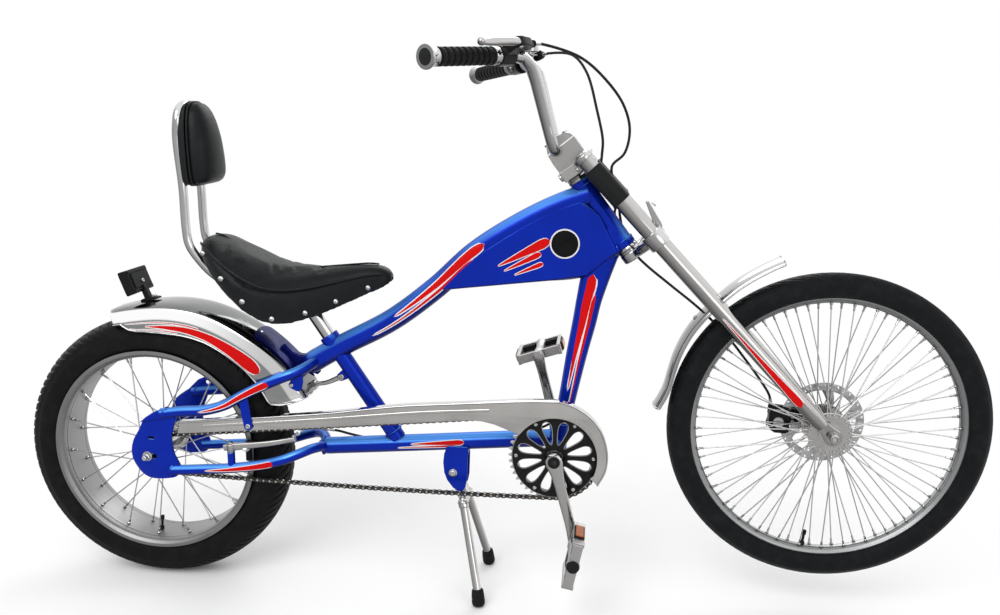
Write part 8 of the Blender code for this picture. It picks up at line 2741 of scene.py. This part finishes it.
                ferrules.append(Shape.rod(Vector(a), Vector(b), 0.0031, 18, 0.0004))
            self.add(f"{name}_ferrules", ferrules, CHROME, body)
        ties = []
        for x, y, z, way in ((0.8608, 0.0232, 0.5, Vector((0.18, 0, 0.98))), (0.56, 0.021, 0.3103, X_AXIS),
                (0.74, 0.0216, 0.3277, X_AXIS)):
            place = Vector((x, y, z))
            ties.append(Shape.rod(place - way * 0.0035, place + way * 0.0035, 0.0036, 20, 0.0006))
            ties.append(Shape.prism(mm((-3.5, -3.5), (3.5, -3.5), (3.5, 3.5), (-3.5, 3.5)), -0.004, 0.0,
                (place, X_AXIS, Z_AXIS, Y_AXIS)))
        self.add("cable_stops", ties, PAINT)


@dataclass
class Stage:
    """Camera, lights, world and floor."""

    def build(self) -> None:
        """Set the stage up."""
        self.camera()
        self.lights()
        self.world()
        self.floor()
        scene = bpy.context.scene
        scene.view_settings.view_transform = "Standard"

    @staticmethod
    def camera() -> None:
        """Stand the camera where the photo was taken."""
        data = bpy.data.cameras.new("camera")
        data.lens = 32.1175
        data.sensor_width = 36.0
        camera = bpy.data.objects.new("camera", data)
        bpy.context.scene.collection.objects.link(camera)
        right = Vector((0.994299, 0.106227, 0.009235))
        up = Vector((-0.031165, 0.206693, 0.977909))
        back = Vector((0.101972, -0.972622, 0.208825))
        turn = Matrix((right, up, back)).transposed().to_4x4()
        camera.matrix_world = Matrix.Translation((0.8778 - MIDDLE_X, -1.6818, 0.9489)) @ turn
        bpy.context.scene.camera = camera

    @staticmethod
    def lights() -> None:
        """Hang the soft lamps."""
        for name, place, aim, size, power in (("key_light", (-0.9, -2.3, 2.6), (0.0, 0.0, 0.45), 2.2, 46.0),
                ("fill_light", (2.0, -2.4, 1.4), (0.1, 0.0, 0.4), 1.8, 12.0), ("back_light", (0.3, 2.2, 2.4),
                (0.0, 0.0, 0.5), 2.0, 22.0),):
            data = bpy.data.lights.new(name, "AREA")
            data.shape = "DISK"
            data.size = size
            data.energy = power
            lamp = bpy.data.objects.new(name, data)
            bpy.context.scene.collection.objects.link(lamp)
            lamp.location = place
            lamp.rotation_euler = (Vector(place) - Vector(aim)).to_track_quat("Z", "Y").to_euler()
            lamp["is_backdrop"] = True

    @staticmethod
    def world() -> None:
        """Make the studio: plain white where it is seen, and soft light from above."""
        world = bpy.data.worlds.new("studio")
        bpy.context.scene.world = world
        world.use_nodes = True
        graph = Graph(world.node_tree)
        output = graph.tree.nodes.new("ShaderNodeOutputWorld")
        up = graph.axis(graph.node("ShaderNodeTexCoord", pick="Generated"), 2)
        light = graph.ramp(up, -0.2, 0.8, 0.34, 0.84)
        seen = graph.math("ADD", graph.node("ShaderNodeLightPath", pick="Is Camera Ray"),
            graph.node("ShaderNodeLightPath", pick="Is Glossy Ray"))
        seen = graph.math("ADD", seen, graph.node("ShaderNodeLightPath", pick="Is Transmission Ray"), clamp=True)
        lit = graph.node("ShaderNodeBackground", {"Color": (1.0, 1.0, 1.0, 1.0), "Strength": light})
        plain = graph.node("ShaderNodeBackground", {"Color": (1.0, 1.0, 1.0, 1.0), "Strength": 1.0})
        graph.feed(output.inputs[0], graph.node("ShaderNodeMixShader", {0: seen, 1: lit, 2: plain}))

    @staticmethod
    def floor() -> None:
        """Lay the pale floor, which turns into plain white with distance."""
        mesh = Shape([(-9, -9, 0), (9, -9, 0), (9, 9, 0), (-9, 9, 0)], [(0, 1, 2, 3)]).to_mesh("studio_floor")
        floor = bpy.data.objects.new("studio_floor", mesh)
        bpy.context.scene.collection.objects.link(floor)
        material = bpy.data.materials.new("studio_floor")
        material.use_nodes = True
        mesh.materials.append(material)
        graph = Graph(material.node_tree)
        output = graph.tree.nodes.new("ShaderNodeOutputMaterial")
        spot = graph.place()
        x = graph.axis(spot, 0)
        y = graph.axis(spot, 1)
        reach = graph.math("SQRT", x * x + y * y)
        matt = graph.node("ShaderNodeBsdfDiffuse", {"Color": (0.96, 0.96, 0.96, 1.0)})
        glow = graph.node("ShaderNodeEmission", {"Color": (1.0, 1.0, 1.0, 1.0), "Strength": 1.0})
        share = graph.ramp(reach, 0.6, 1.35)
        graph.feed(output.inputs[0], graph.node("ShaderNodeMixShader", {0: share, 1: matt, 2: glow}))
        floor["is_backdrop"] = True


REAR_WHEEL = Wheel("rear", REAR_HUB, 0.276, 0.0516, 0.209, 0.049, 0.0145, (-0.046, 0.046), 0.031, 36, 1.45, 0.02,
    0.0013, REAR_TYRE, REAR_RIM)
FRONT_WHEEL = Wheel("front", FRONT_HUB, 0.3007, 0.026, 0.2595, 0.014, 0.015, (-0.0345, 0.0235), 0.041, 72, 0.6,
    0.0045, 0.0012, FRONT_TYRE, FRONT_RIM)


def bounds() -> dict[str, list[float]]:
    """Measure the shown bicycle.

    Returns:
        Its low and high corners.
    """
    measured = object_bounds()
    if isinstance(measured, dict):
        return {key: [float(x) for x in value] for key, value in measured.items()}
    low, high = measured
    return {"low": [float(x) for x in low], "high": [float(x) for x in high]}


def main() -> None:
    """Dress the bicycle and set the stage."""
    logging.basicConfig(level=logging.INFO)
    bounds()
    for assembly in (REAR_WHEEL, FRONT_WHEEL, AxlesAndRotor(), Fenders(), FrameTubes(), Fork(), Controls(), Drive(),
            Stand(), Seat(), Brakes()):
        assembly.build()
    Stage().build()
    bounds()
    log.info("%d pieces", Assembly.shop.count)


if __name__ == "__main__":
    main()
